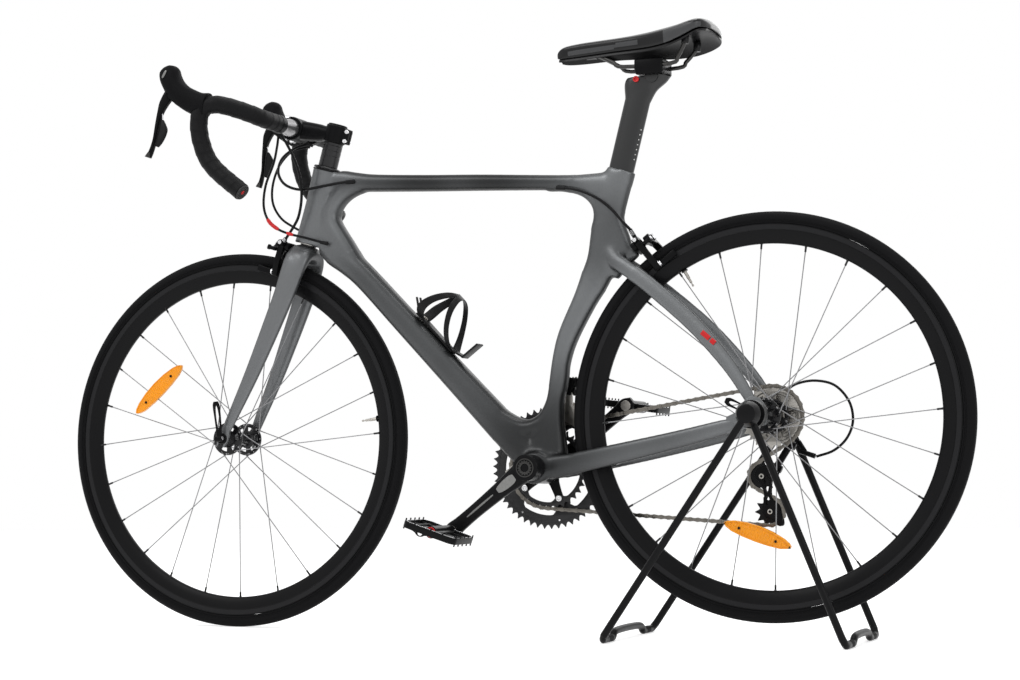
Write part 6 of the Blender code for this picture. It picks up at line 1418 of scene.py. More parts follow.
def build_rim(name, centre, valve_angle, body):
    """A deep aluminium rim with machined brake tracks, a collar at the valve hole and the tyre valve."""
    half = RIM_WIDTH / 2
    inner = RIM_INNER
    profile = [(inner, 0.0001), (inner + 0.0002, 0.0028), (inner + 0.0012, 0.0044), (inner + 0.0032, 0.0056),
        (inner + 0.0100, 0.0082), (inner + 0.0168, 0.0102), (RIM_OUTER - 0.0108, half - 0.0006),
        (RIM_OUTER - 0.0104, half - 0.0001), (RIM_OUTER - 0.0102, half)]
    low = RIM_OUTER - 0.0094
    profile += [(low, half - 0.0003), (RIM_OUTER - 0.0014, half - 0.0003), (RIM_OUTER - 0.0010, half),
        (RIM_OUTER, half - 0.0006), (RIM_OUTER, half - 0.0016)]
    profile += [(RIM_OUTER - 0.0055, half - 0.0022)]
    rim = turned(name + "_skin", mirrored_profile(profile), centre, WHEEL_TURN, 180, ring=True)
    turn = math.radians(valve_angle)
    out = Vector((math.cos(turn), 0, math.sin(turn)))
    along = out.to_track_quat("Z", "Y").to_matrix().to_4x4()
    collar = turned("collar", [(0, 0), (0.0055, 0), (0.0058, 0.0012), (0.0040, 0.0030), (0, 0.0030)],
        centre + out * (inner - 0.0030), along, 28)
    settle(joined(name + "_skin", [rim, collar]), body, [name], "rim_black", "rim")
    tracks = []
    for side in (-1, 1):
        band = [(low, half - 0.0006), (low + 0.0002, half - 0.0002), (RIM_OUTER - 0.0017, half - 0.0002),
            (RIM_OUTER - 0.0015, half - 0.0006)]
        tracks.append(turned("track", [(r, h * side) for r, h in band], centre, WHEEL_TURN, 180, ring=True))
    settle(joined(name + "_brake_tracks", tracks), body, [], "rim_black", "brake_track")
    valve = [(0, 0), (0.0017, 0), (0.0017, 0.0036), (0.0010, 0.0040), (0.0010, 0.0066), (0.0023, 0.0070),
        (0.0023, 0.0150), (0.0029, 0.0156), (0.0029, 0.0400), (0, 0.0400)]
    settle(turned(name + "_valve", valve, centre + out * 0.2500, along, 24), body, [], "steel", "steel")
    return out


def spoke_ends(flanges):
    """Each spoke's hole in its flange and its seat in the rim, leading and trailing in turn."""
    for side, flange in enumerate(flanges):
        for i in range(SPOKES_PER_SIDE):
            turn = 2 * math.pi * (i + side / 2) / SPOKES_PER_SIDE
            lead = 1 if i % 2 else -1
            hub = turn + lead * LACING
            start = Vector((math.cos(hub) * SPOKE_HOLES, flange + lead * 0.0016, math.sin(hub) * SPOKE_HOLES))
            tip = (0.0025 if flange > 0 else -0.0025) + lead * 0.0016
            end = Vector((math.cos(turn) * (RIM_INNER + 0.0010), tip, math.sin(turn) * (RIM_INNER + 0.0010)))
            yield start, end, flange


def build_spokes(name, centre, flanges, body):
    """Butted round spokes with their bent heads at the hub, and a nipple on each at the rim."""
    wires, nipples = [], []
    for start, end, flange in spoke_ends(flanges):
        along = (end - start).normalized()
        length = (end - start).length
        lead = Vector((0, flange - start.y, 0))
        points = [start + lead * 2.2, start + lead * 0.6, start + along * 0.0016, start + along * 0.010]
        points += [start + along * 0.030, start + along * (length - 0.030), start + along * (length - 0.008)]
        radii = [0.00105, 0.00105, 0.00105, 0.00105, 0.00088, 0.00088, 0.00105]
        wires.append(pipe("spoke", [centre + p for p in points], radii, 10))
        wires.append(rod("head", centre + start + lead * 2.0, centre + start + lead * 2.5, 0.0018, 12))
        turn = along.to_track_quat("Z", "Y").to_matrix().to_4x4()
        nipple = [(0, 0), (0.0014, 0), (0.00175, 0.0006), (0.00175, 0.0075), (0.0021, 0.0085),
            (0.0021, 0.0105), (0, 0.0105)]
        nipples.append(turned("nipple", nipple, centre + start + along * (length - 0.0100), turn, 12))
    wires = joined(name + "_spokes", wires)
    nipples = joined(name + "_nipples", nipples)
    in_stance(wires, nipples)
    fit(wires, body, [], "steel", "spoke", 50)
    fit(nipples, body, [], "black_metal", "hub", 40)


def flange_with_windows(name, centre, place, half_thickness):
    """A hub flange: a ring of rounded windows and the spoke holes outside them."""
    outlines = [circle((0, 0), FLANGE_RADIUS, 96)]
    for k in range(6):
        turn = 60 * k + 8
        inner, outer = 0.0158, 0.0222
        low = arc((0, 0), inner, turn - 15, turn + 15, 8)
        high = arc((0, 0), outer, turn + 16, turn - 16, 8)
        outlines.append(low + high)
    for i in range(SPOKES_PER_SIDE):
        turn = math.radians(360 * i / SPOKES_PER_SIDE)
        outlines.append(circle((math.cos(turn) * SPOKE_HOLES, math.sin(turn) * SPOKE_HOLES), 0.0010, 10))
    where = Matrix.Translation(centre)
    return plate(name, outlines, place - half_thickness, place + half_thickness, where, 0.0004)


def build_hubs():
    """Both hubs: windowed flanges, waisted barrels, locknuts and hollow axles, with their spokes."""
    half = FRONT_HUB_HALF
    shell = [(0.0028, half + 0.0044), (AXLE_RADIUS, half + 0.0044), (AXLE_RADIUS, half), (0.0090, half),
        (0.0095, half - 0.0006), (0.0095, half - 0.0050), (0.0108, half - 0.0056), (0.0118, half - 0.0080),
        (0.0145, 0.0385), (0.0152, 0.0366), (0.0152, 0.0334), (0.0125, 0.0318), (0.0100, 0.0270),
        (0.0092, 0.0200), (0.0090, 0.0001)]
    pieces = [turned("shell", mirrored_profile(shell), FRONT_AXLE, ALONG_Y, 64, ring=True)]
    pieces += [flange_with_windows("flange", FRONT_AXLE, y, 0.0016) for y in (-0.035, 0.035)]
    settle(joined("front_hub_skin", pieces), "front_wheel", ["front_hub"], "hub_black", "hub")
    build_spokes("front", FRONT_AXLE, (-0.035, 0.035), "front_wheel")
    half = REAR_HUB_HALF
    shell = [(0.0028, half + 0.0044), (AXLE_RADIUS, half + 0.0044), (AXLE_RADIUS, half), (0.0080, half),
        (CASSETTE_BORE - GAP, half - 0.0005), (CASSETTE_BORE - GAP, 0.0222), (0.0155, 0.0216),
        (0.0170, 0.0206), (0.0170, 0.0174), (0.0130, 0.0150), (0.0110, 0.0100), (0.0104, 0.0),
        (0.0104, -0.022), (0.0122, -0.0300), (0.0152, -0.0334), (0.0152, -0.0366), (0.0135, -0.0400),
        (0.0118, -0.0520), (0.0108, -0.0590), (0.0095, -0.0602), (0.0095, -half + 0.0006), (0.0090, -half),
        (AXLE_RADIUS, -half), (AXLE_RADIUS, -half - 0.0044), (0.0028, -half - 0.0044)]
    pieces = [turned("shell", shell, REAR_AXLE, ALONG_Y, 64, ring=True)]
    pieces.append(flange_with_windows("flange", REAR_AXLE, -0.035, 0.0016))
    pieces.append(flange_with_windows("flange", REAR_AXLE, 0.019, 0.0016))
    settle(joined("rear_hub_skin", pieces), "rear_wheel", ["rear_hub"], "hub_black", "hub")
    build_spokes("rear", REAR_AXLE, (-0.035, 0.019), "rear_wheel")


def build_reflector(name, place, ends, body):
    """The amber lens on the spokes: a moulded rim with a field of small prisms inside it."""
    start, end = (Vector(p) for p in ends)
    along = (end - start).normalized()
    across = Vector((-along.y, along.x))

    def outline(grow):
        points = []
        for share, half in ((-0.012, 0.5), (0.03, 5.0), (0.12, 9.2), (0.3, 13.2), (0.5, 14.6), (0.7, 13.2),
                (0.88, 9.2), (0.97, 5.0), (1.012, 0.5)):
            points.append(start.lerp(end, share) + across * (half + grow))
        for share, half in ((1.012, 0.5), (0.97, 5.0), (0.88, 8.8), (0.7, 11.2), (0.5, 12), (0.3, 11.2),
                (0.12, 8.8), (0.03, 5.0), (-0.012, 0.5)):
            points.append(start.lerp(end, share) - across * (half + grow))
        middle = start.lerp(end, 0.5)
        return [((middle.x + (p.x - middle.x) * (1 + grow * 0.02)) / 1000, (middle.y + (p.y - middle.y)) /
            1000) for p in points]

    rim = plate("rim", [outline(0), outline(-1.6)], place - 0.0038, place + 0.0038, HERE, 0.0007)
    core = plate("core", [outline(-1.4)], place - 0.0026, place + 0.0026, HERE, 0.0005)
    prisms = []
    middle = start.lerp(end, 0.5)
    length = (end - start).length
    count = int(length / 4.4)
    for i in range(count):
        share = (i + 0.5) / count
        reach = 11.8 * math.sin(math.pi * min(max(share, 0.02), 0.98)) ** 0.6 - 2.4
        rows = int(reach / 2.3)
        for j in range(-rows, rows + 1):
            spot = start.lerp(end, share) + across * (j * 2.5 + 0.9)
            for side in (-1, 1):
                at = Vector((spot.x / 1000, place + side * 0.0024, spot.y / 1000))
                prisms.append(rod("prism", at, at + Y * side * 0.0009, 0.00155, 6, end_radius=0.0006,
                    chamfer=0.0001))
    settle(joined(name, [rim, core, *prisms]), body, [], "black_plastic", "amber", 25)
    clips = []
    for share in (0.22, 0.78):
        spot = start.lerp(end, share)
        at = Vector((spot.x / 1000, place, spot.y / 1000))
        clips.append(rod("clip", at - Y * 0.0046, at + Y * 0.0046, 0.0022, 16))
    settle(joined(name + "_clips", clips), body, [], "black_plastic", "plastic")


LEVER_ROOT = 0.0055
FRONT_LEVER = [(1, 0.5, 4.5, 2.4), (14, 1.5, 5.5, 2.2), (36, 0.8, 6.5, 2), (58, -1.2, 7, 1.9),
    (66, -2, 4.5, 1.6)]
REAR_LEVER = [(1, 1.5, 4.5, 2.2), (11, 5, 5, 1.9), (34, 6, 6.2, 1.8), (50, 6, 6.8, 1.7), (57, 6, 4, 1.5)]


def build_skewer(prefix, axle, outer, direction, points, lever_body):
    """The quick-release: rod, cam housing, adjusting nut and its looped lever."""
    face = outer + GAP
    body = "steering" if prefix == "front" else "frame"
    profile = [(0, face + 0.0115), (0.0060, face + 0.0113), (0.0074, face + 0.0102), (0.0080, face + 0.0060),
        (0.0094, face + 0.0046), (0.0095, face + 0.0002), (0.0093, face), (SKEWER_RADIUS, face),
        (SKEWER_RADIUS, -face), (0.0093, -face), (0.0095, -face - 0.0002), (0.0094, -face - 0.0024),
        (0.0082, -face - 0.0042), (0, -face - 0.0044)]
    settle(turned(prefix + "_axle_skewer_skin", profile, axle, ALONG_Y, 48), body, [prefix + "_axle_skewer"],
        "black_metal", "black_metal")
    pivot = axle - Y * (outer + GAP * 2 + 0.0045 + LEVER_ROOT)
    along = Vector((direction[0], 0, direction[1])).normalized()
    hinge = Vector((along.z, 0, -along.x))
    rings = []
    for reach, lateral, half_width, half_thick in smooth(points, 5):
        centre = pivot + along * (reach / 1000) + Y * (lateral / 1000)
        rings.append(oval(centre, hinge, Y, half_width / 1000, half_thick / 1000, 28, 2.8))
    lever = skin("lever", rings)
    hole_low, hole_high = 16, points[-1][0] - 7
    window = []
    for step in range(25):
        turn = 2 * math.pi * step / 24
        reach = (hole_low + hole_high) / 2 + (hole_high - hole_low) / 2 * math.cos(turn)
        wide = 3.6 * abs(math.sin(turn)) ** 0.75 * (1 if math.sin(turn) > 0 else -1)
        window.append(pivot + along * (reach / 1000) + hinge * (wide / 1000))
    window = window[:-1]
    tool = skin("window", [[p - Y * 0.012 for p in window], [p + Y * 0.012 for p in window]])
    cut(lever, tool)
    root = rod("root", pivot - hinge * 0.007, pivot + hinge * 0.007, LEVER_ROOT, 36, chamfer=0.0008)
    settle(joined(prefix + "_skewer_lever_skin", [lever, root]), lever_body, [prefix + "_skewer_lever"],
        "black_metal", "black_metal", 40)
    caps = joined(prefix + "_skewer_cam_ends",
        [rod("cam", pivot + hinge * 0.0069, pivot + hinge * 0.0075, 0.0034, 28),
        rod("cam", pivot - hinge * 0.0069, pivot - hinge * 0.0075, 0.0034, 28)])
    settle(caps, lever_body, [], "steel", "silver")


def build_wheels(settings):
    build_tyre("front_tyre", FRONT_AXLE, "front_wheel")
    build_tyre("rear_tyre", REAR_AXLE, "rear_wheel")
    build_rim("front_rim", FRONT_AXLE, 5.2, "front_wheel")
    build_rim("rear_rim", REAR_AXLE, 118.3, "rear_wheel")
    build_hubs()
    build_reflector("front_reflector", -0.0145, ((-689, 391), (-595, 472)), "front_wheel")
    build_reflector("rear_reflector", -0.0135, ((414, 164), (521, 123)), "rear_wheel")
    build_skewer("front", FRONT_AXLE, FRONT_HUB_HALF + GAP + 0.006, (-0.07, 1), FRONT_LEVER,
        "front_skewer_lever")
    build_skewer("rear", REAR_AXLE, REAR_HUB_HALF + GAP + 0.006, (-0.89, 0.456), REAR_LEVER, "frame")


# Drive

CRANK_ROWS = [(-0.017, 10, 7, 61.5), (0, 19, 9.5, 61), (0.02, 18, 10, 61.5), (0.06, 14, 8.5, 65),
    (0.115, 12, 7.2, 67), (0.15, 12.5, 7, 66.5), (0.17, 14, 6.8, 66), (0.184, 7, 5.5, 66)]
RING_BOLTS = 0.055
GUIDE = Vector((0.469, 0, 0.238))
TENSION = Vector((0.481, 0, 0.180))
CAGE_PIVOT = Vector((0.480, 0, 0.245))


def ring_bolt_turns():
    return [CRANK_TURN + math.radians(36 + 72 * i) for i in range(5)]


def crank_frame(side):
    out = Vector((math.cos(CRANK_TURN), 0, math.sin(CRANK_TURN))) * side
    across = Y * side
    return out, across, out.cross(across)


def crank_form(side, grow=0.0, start=-0.017, end=0.184):
    """The forged arm's rings, from the boss to past the pedal's eye."""
    out, across, up = crank_frame(side)
    rings = []
    for reach, half_up, half_across, middle in smooth(CRANK_ROWS, 6):
        if not start <= reach <= end:
            continue
        centre = BB + out * reach + across * (middle / 1000)
        rings.append(oval(centre, across, up, half_across / 1000 + grow, half_up / 1000 + grow, 40, 3.2))
    return rings


def build_cranks(settings):
    """Both arms, the spindle and spider on the right one, and the left one's pinch bolts and panel."""
    y = Y
    out, across, up = crank_frame(1)
    star = []
    for turn in ring_bolt_turns():
        for share, radius in ((-36, 0.0215), (-17, 0.030), (-9, 0.046), (-7.2, 0.0600), (0, 0.0625),
                (7.2, 0.0600), (9, 0.046), (17, 0.030)):
            at = turn + math.radians(share)
            star.append((BB.x + radius * math.cos(at), BB.z + radius * math.sin(at)))
    holes = [circle((BB.x + RING_BOLTS * math.cos(t), BB.z + RING_BOLTS * math.sin(t)), 0.0046, 20) for
        t in ring_bolt_turns()]
    low, high = INNER_RING_Y + 0.0014, OUTER_RING_Y - 0.0014
    pedal_axle = BB + out * CRANK_LENGTH
    right = [skin("arm", crank_form(1)), plate("spider", [star, *holes], low, high, HERE, 0.0009),
        rod("boss", BB + y * 0.0374, BB + y * 0.064, 0.0175, 48), rod("spindle", BB - y * 0.0635,
        BB + y * 0.05, 0.0119, 48)]
    settle(joined("crank_right_skin", right), "crankset", ["crank_right"], "crank_black", "crank", 40)
    cap = joined("crank_right_cap", [socket_screw(BB + y * 0.0706, y, 0.0095, 0.0012),
        rod("eye", pedal_axle + y * 0.0590, pedal_axle + y * 0.0735, 0.0088, 32)])
    settle(cap, "crankset", [], "steel", "steel", 40)
    out, across, up = crank_frame(-1)
    left = [skin("arm", crank_form(-1)), rod("boss", BB - y * 0.0374, BB - y * 0.0722, 0.0222, 64,
        chamfer=0.0012)]
    settle(joined("crank_left_skin", left), "crankset", ["crank_left"], "crank_black", "crank", 40)
    ring = []
    teeth = 16
    for k in range(teeth):
        turn = 360 * k / teeth
        for share, radius in ((-0.30, 0.0108), (-0.22, 0.0126), (0.22, 0.0126), (0.30, 0.0108)):
            at = math.radians(turn + 360 / teeth * share)
            ring.append((BB.x + radius * math.cos(at), BB.z + radius * math.sin(at)))
    hollow = circle((BB.x, BB.z), 0.0070, 24)
    preload = plate("preload", [ring, hollow], -0.0739, -0.0716, HERE, 0.0005)
    collar = turned("collar", [(0.0150, 0), (0.0158, 0.0006), (0.0158, 0.0010), (0.0138, 0.0012),
        (0.0138, 0)], BB - y * 0.0720, Matrix.Rotation(math.radians(90), 4, "X"), 64, ring=True)
    settle(joined("crank_left_preload_ring", [preload, collar]), "crankset", [], "steel", "dark_steel", 35)
    screws = []
    for reach in (0.021, 0.031):
        spot = BB + out * reach + across * 0.0595 + up * 0.0170
        screws.append(socket_screw(spot, up, 0.0042, 0.0026))
    settle(joined("crank_left_pinch_screws", screws), "crankset", [], "steel", "steel", 40)
    build_crank_panels()


def crank_face(reach, lateral, lift):
    """A point on the left arm's outer face."""
    out, across, up = crank_frame(-1)
    rows = smooth(CRANK_ROWS, 6)
    row = min(rows, key=lambda r: abs(r[0] - reach))
    half_up, half_across, middle = row[1] / 1000, row[2] / 1000, row[3] / 1000
    share = min(abs(lateral) / half_up, 0.999)
    depth = half_across * (1 - share**3.2) ** (1 / 3.2)
    return BB + out * reach + up * lateral + across * (middle + depth + lift)


def face_patch(name, low, high, width, lift=0.00025):
    """A thin panel that follows the left arm's outer face between two reaches."""
    steps = 16
    rings = []
    for i in range(steps + 1):
        reach = low + (high - low) * i / steps
        soft = min(1.0, 0.35 + 0.65 * math.sin(math.pi * min(max((i + 0.15) / (steps + 0.3), 0), 1)) ** 0.35)
        half = width(reach) * soft
        top = [crank_face(reach, half * (k / 6 * 2 - 1), lift) for k in range(7)]
        base = [crank_face(reach, half * (k / 6 * 2 - 1), -0.0006) for k in range(6, -1, -1)]
        rings.append(top + base)
    return skin(name, rings)


def build_crank_panels():
    """The brushed panel by the boss and the light band along the arm, both free of any lettering."""
    panel = face_patch("crank_left_panel", 0.0245, 0.062, lambda r: 0.0095 - (r - 0.0245) * 0.07)
    settle(panel, "crankset", [], "steel", "brushed", 40)
    settle(face_patch("crank_left_band", 0.072, 0.132, lambda r: 0.0016), "crankset", [], "bar_grey",
        "light_band", 40)
    out, across, _ = crank_frame(-1)
    axle = BB + out * CRANK_LENGTH
    eye = turned("crank_left_eye", [(0.0072, 0), (0.0096, 0), (0.0098, 0.0005), (0.0096, 0.0009),
        (0.0072, 0.0009)], axle + across * 0.0726, (across).to_track_quat("Z", "Y").to_matrix().to_4x4(), 40,
        ring=True)
    settle(eye, "crankset", [], "steel", "steel", 40)


def build_chainrings(settings):
    """Two toothed rings with relieved inner edges, shift pins, and the five bolts."""
    centre = (BB.x, BB.z)
    pieces = []
    for teeth, middle in zip(RING_TEETH, (INNER_RING_Y, OUTER_RING_Y)):
        inner = []
        big = teeth > 40
        for k in range(120):
            turn = 2 * math.pi * k / 120
            wave = max(math.cos(5 * (turn - CRANK_TURN - math.radians(36))), -0.35)
            reach = pitch_radius(teeth) - (0.0205 if big else 0.0105)
            radius = reach - (reach - 0.0495) * max(wave, 0) ** 2.2
            inner.append((centre[0] + radius * math.cos(turn), centre[1] + radius * math.sin(turn)))
        outline = toothed(centre, teeth)
        pieces.append(plate("ring", [outline, inner], middle - 0.0009, middle + 0.0009, HERE, 0.0003))
        rim_low, rim_high = pitch_radius(teeth) - 0.0082, pitch_radius(teeth) - 0.0062
        step = [(rim_low, -0.0013), (rim_high, -0.0013), (rim_high, 0.0013), (rim_low, 0.0013)]
        pieces.append(turned("shoulder", step, BB + Y * middle, ALONG_Y, 120, ring=True))
    settle(joined("chainrings_skin", pieces), "crankset", ["chainrings"], "ring_black", "ring", 30)
    bolts = []
    for turn in ring_bolt_turns():
        at = BB + Vector((math.cos(turn), 0, math.sin(turn))) * RING_BOLTS
        bolts.append(rod("bolt", at + Y * (INNER_RING_Y - 0.0008), at + Y * (OUTER_RING_Y + 0.0008), 0.0040,
            24))
        bolts.append(socket_screw(at + Y * (OUTER_RING_Y + 0.0006), Y, 0.0050, 0.0018))
        bolts.append(socket_screw(at + Y * (INNER_RING_Y - 0.0006), -Y, 0.0052, 0.0016))
    for k in range(8):
        turn = CRANK_TURN + math.radians(45 * k + 18)
        at = BB + Vector((math.cos(turn), 0, math.sin(turn))) * 0.0905
        bolts.append(rod("pin", at + Y * (OUTER_RING_Y - 0.0020), at + Y * (OUTER_RING_Y + 0.0003), 0.0018,
            14))
    settle(joined("chainring_bolts", bolts), "crankset", [], "steel", "silver", 40)


def build_cassette(settings):
    """Ten pierced cogs on one carrier, with the spacers between them and the lockring outside."""
    centre = (REAR_AXLE.x, REAR_AXLE.z)
    pieces = []
    for i, teeth in enumerate(COG_TEETH):
        middle = FIRST_COG_Y + COG_STEP * i
        outlines = [toothed(centre, teeth, 0.31 * i), circle(centre, 0.0150, 48)]
        if teeth > 16:
            reach = pitch_radius(teeth) - 0.0075
            count = 6
            for k in range(count):
                turn = 360 * k / count + 11 * i
                low = arc(centre, 0.0205, turn - 14, turn + 14, 6)
                high = arc(centre, max(reach - 0.0015, 0.0225), turn + 17, turn - 17, 6)
                outlines.append(low + high)
        pieces.append(plate("cog", outlines, middle - 0.0009, middle + 0.0009, HERE, 0.0003))
    settle(joined("cassette_skin", pieces), "cassette", ["cassette"], "steel", "steel", 30)
    profile = [(CASSETTE_BORE, 0.0227), (0.0163, 0.0227)]
    for i in range(len(COG_TEETH)):
        middle = FIRST_COG_Y + COG_STEP * i
        profile += [(0.0152, middle - 0.0009), (0.0152, middle + 0.0009), (0.0163, middle + 0.0011)]
        profile.append((0.0163, min(middle + COG_STEP - 0.0011, FIRST_COG_Y + COG_STEP * 9 + 0.0012)))
    end = FIRST_COG_Y + COG_STEP * 9 + 0.0018
    profile += [(0.0158, end), (0.0120, end), (0.0116, end - 0.0012), (CASSETTE_BORE, end - 0.0012)]
    sleeve = turned("cassette_carrier", profile, REAR_AXLE, ALONG_Y, 64, ring=True)
    settle(sleeve, "cassette", [], "black_metal", "hub", 30)


def chain_loop():
    """The closed line through the chain's pins: tangent runs and arcs round its four wheels."""
    wheels = [(BB, pitch_radius(RING_TEETH[0]), 1, INNER_RING_Y), (TENSION, pitch_radius(PULLEY_TEETH), 1,
        FIRST_COG_Y), (GUIDE, pitch_radius(PULLEY_TEETH), -1, FIRST_COG_Y),
        (REAR_AXLE, pitch_radius(COG_TEETH[0]), 1, FIRST_COG_Y)]
    runs = []
    for i, (centre, radius, way, y) in enumerate(wheels):
        after, after_radius, after_way, after_y = wheels[(i + 1) % 4]
        between = after - centre
        length = math.hypot(between.x, between.z)
        base = math.atan2(between.z, between.x)
        tilt = math.asin((way * radius - after_way * after_radius) / length)
        normal = base - math.pi / 2 + tilt
        offset = Vector((math.cos(normal), 0, math.sin(normal)))
        start = Vector((centre.x, y, centre.z)) + offset * radius * way
        runs.append((start, Vector((after.x, after_y, after.z)) + offset * after_radius * after_way))
    points = []
    for i, (centre, radius, way, y) in enumerate(wheels):
        arrive, leave = runs[i - 1][1], runs[i][0]
        a = math.atan2(arrive.z - centre.z, arrive.x - centre.x)
        b = math.atan2(leave.z - centre.z, leave.x - centre.x)
        sweep = (b - a) * way % (2 * math.pi) * way
        count = max(2, round(abs(sweep) / math.radians(4)))
        for k in range(count + 1):
            t = a + sweep * k / count
            points.append(Vector((centre.x + radius * math.cos(t), y, centre.z + radius * math.sin(t))))
        start, end = runs[i]
        if (end - start).length > 0.15:
            hold = 0.024 / (end - start).length
            near, far = start.lerp(end, hold), start.lerp(end, 1 - hold)
            near.y, far.y = start.y, end.y
            points += [near, far]
    return points


def link_outline(length, reach, waist):
    """A figure-of-eight link plate between its two pins."""
    half = length / 2
    outline = []
    for centre, start in ((half, -115), (-half, 65)):
        outline += arc((centre, 0), reach, start, start + 230, 14)
        sign = 1 if centre > 0 else -1
        outline.append((0, waist * sign))
    return outline


def build_chain(settings):
    """Every link of the chain, inner and outer in turn, with its pins and rollers."""
    loop = chain_loop()
    loop.append(loop[0])
    total = sum((b - a).length for a, b in zip(loop, loop[1:]))
    count = int(round(total / CHAIN_PITCH / 2) * 2)
    pins = even_line(loop, total / count)[:count]
    outer = plate("outer", [link_outline(CHAIN_PITCH, 0.0037, 0.0027)], -0.0004, 0.0004, HERE, 0.00015)
    inner = plate("inner", [link_outline(CHAIN_PITCH, 0.0035, 0.0026)], -0.0004, 0.0004, HERE, 0.00015)
    pieces, rollers = [], []
    for i in range(count):
        a, b = pins[i], pins[(i + 1) % count]
        along = (b - a).normalized()
        across = (Y - along * along.y).normalized()
        up = along.cross(across)
        where = Matrix((along, across, up)).transposed().to_4x4()
        source, reach = (outer, 0.0023) if i % 2 else (inner, 0.0015)
        for side in (-1, 1):
            link = source.copy()
            link.data = source.data.copy()
            bpy.context.scene.collection.objects.link(link)
            where.translation = (a + b) / 2 + across * reach * side
            link.data.transform(where)
            pieces.append(link)
        pieces.append(rod("pin", a - across * 0.0029, a + across * 0.0029, 0.0012, 12, chamfer=0.0002))
        rollers.append(rod("roller", a - across * 0.0011, a + across * 0.0011, 0.0026, 14, chamfer=0.0002))
    bpy.data.objects.remove(outer)
    bpy.data.objects.remove(inner)
    settle(joined("chain_skin", pieces + rollers), "frame", ["chain"], "steel", "chain", 40)


def build_pedal(side, settings):
    """A cage pedal: pressed cage with grip teeth, body barrel, axle and lens."""
    name = "pedal_right" if side > 0 else "pedal_left"
    axle = BB + Vector((math.cos(CRANK_TURN), 0, math.sin(CRANK_TURN))) * CRANK_LENGTH * side
    lean = Matrix.Rotation(math.radians(20 if side < 0 else 10), 4, "Y")
    near, far = 0.0795, 0.1715
    half, corner = 0.049, 0.014
    flat = Matrix.Translation(axle) @ lean @ Matrix.Rotation(math.radians(-90 * side), 4, "X")

    def frame_outline(inset, low, high):
        a, b, c, d = low + inset, high - inset, near + inset, far - inset
        out = []
        for cx, cy, start in ((b - corner, c + corner, -90), (b - corner, d - corner, 0),
                (a + corner, d - corner, 90), (a + corner, c + corner, 180)):
            out += arc((cx, cy), corner, start, start + 90, 8)
        return out

    level = Matrix.Translation(axle) @ lean
    cage = plate("cage", [frame_outline(0, -half, half), frame_outline(0.0032, -half, half)], -0.0056, 0.0056,
        flat, 0.0012)
    skirt = [(-36, -5.4), (-27, -5.8), (-21.5, -7.5), (-18, -10.2), (-13, -11.4), (-8, -10.2), (-4.5, -7.5),
        (1, -5.8), (36, -5.4), (36, 4), (-36, 4)]
    skirt = [(x / 1000, z / 1000) for x, z in skirt]
    wall = sorted((side * (far - 0.0036), side * (far + 0.0001)))
    skirt = plate("skirt", [skirt, circle((-0.013, -0.0050), 0.0047)], *wall, level, 0.0008)
    body = plate("body", [frame_outline(0.0016, -0.0165, 0.0165)], -0.0050, 0.0050, flat, 0.0016)
    barrel_end = far - 0.0140
    out = Y * side
    pieces = [cage, skirt, body]
    for reach in (-0.033, 0.033):
        pieces.append(block("bar", (0.0042, 0.0056, far - near - 0.005),
            flat @ Matrix.Translation((reach, 0, (near + far) / 2)), 0.0012))
    for lateral in (near + 0.018, far - 0.018):
        pieces.append(block("bar", (0.094, 0.0052, 0.0052), flat @ Matrix.Translation((0, 0, lateral)),
            0.0012))
    pieces.append(rod("spindle", axle + out * 0.0615, axle + out * (near + 0.01), 0.0066, 32))
    pieces.append(rod("barrel", axle + out * (near - 0.0035), axle + out * barrel_end, 0.0102, 40,
        chamfer=0.001))
    for end in (-1, 1):
        for k in range(5):
            lateral = near + corner * 0.8 + (far - near - 1.6 * corner) * k / 4
            for up in (-1, 1):
                foot = flat @ Vector((end * (half - 0.0017), up * 0.0050, lateral))
                tip = flat @ Vector((end * (half - 0.0017), up * 0.0092, lateral))
                pieces.append(rod("pin", foot, tip, 0.0012, 10, chamfer=0.0003))
    for reach in (-0.026, 0.004, 0.026):
        foot = flat @ Vector((reach, -0.0050 * side, far - 0.0018))
        tip = flat @ Vector((reach, -0.0090 * side, far - 0.0018))
        pieces.append(rod("pin", foot, tip, 0.0012, 10, chamfer=0.0003))
    settle(joined(name + "_skin", pieces), name, [name], "crank_black", "crank", 35)
    lines = []
    for low, high in ((0.0052, 0.0059), (-0.0059, -0.0052)):
        lines.append(plate("line", [frame_outline(0.0018, -half, half), frame_outline(0.0030, -half, half)],
            low, high, flat, 0.0002))
    lines.append(socket_screw(axle + out * (barrel_end + 0.0012), out, 0.0042, 0.0010))
    lines.append(rod("flats", axle + out * 0.0740, axle + out * 0.0766, 0.0088, 8, chamfer=0.0003))
    settle(joined(name + "_bright_edges", lines), name, [], "steel", "silver", 35)
    cap = rod(name + "_dust_cap", axle + out * (barrel_end - 0.0004), axle + out * (barrel_end + 0.0014),
        0.0086, 40, chamfer=0.0006)
    cap.name = name + "_dust_cap"
    settle(cap, name, [], "black_plastic", "red", 40)


CAGE_OUTLINE = [(459, 246), (464, 252), (478, 256), (488, 251), (491, 243), (486, 232), (484, 205),
    (497, 186), (502, 166), (501, 157), (493, 157), (486, 166), (474, 170), (468, 182), (472, 205),
    (468, 225), (458, 236)]


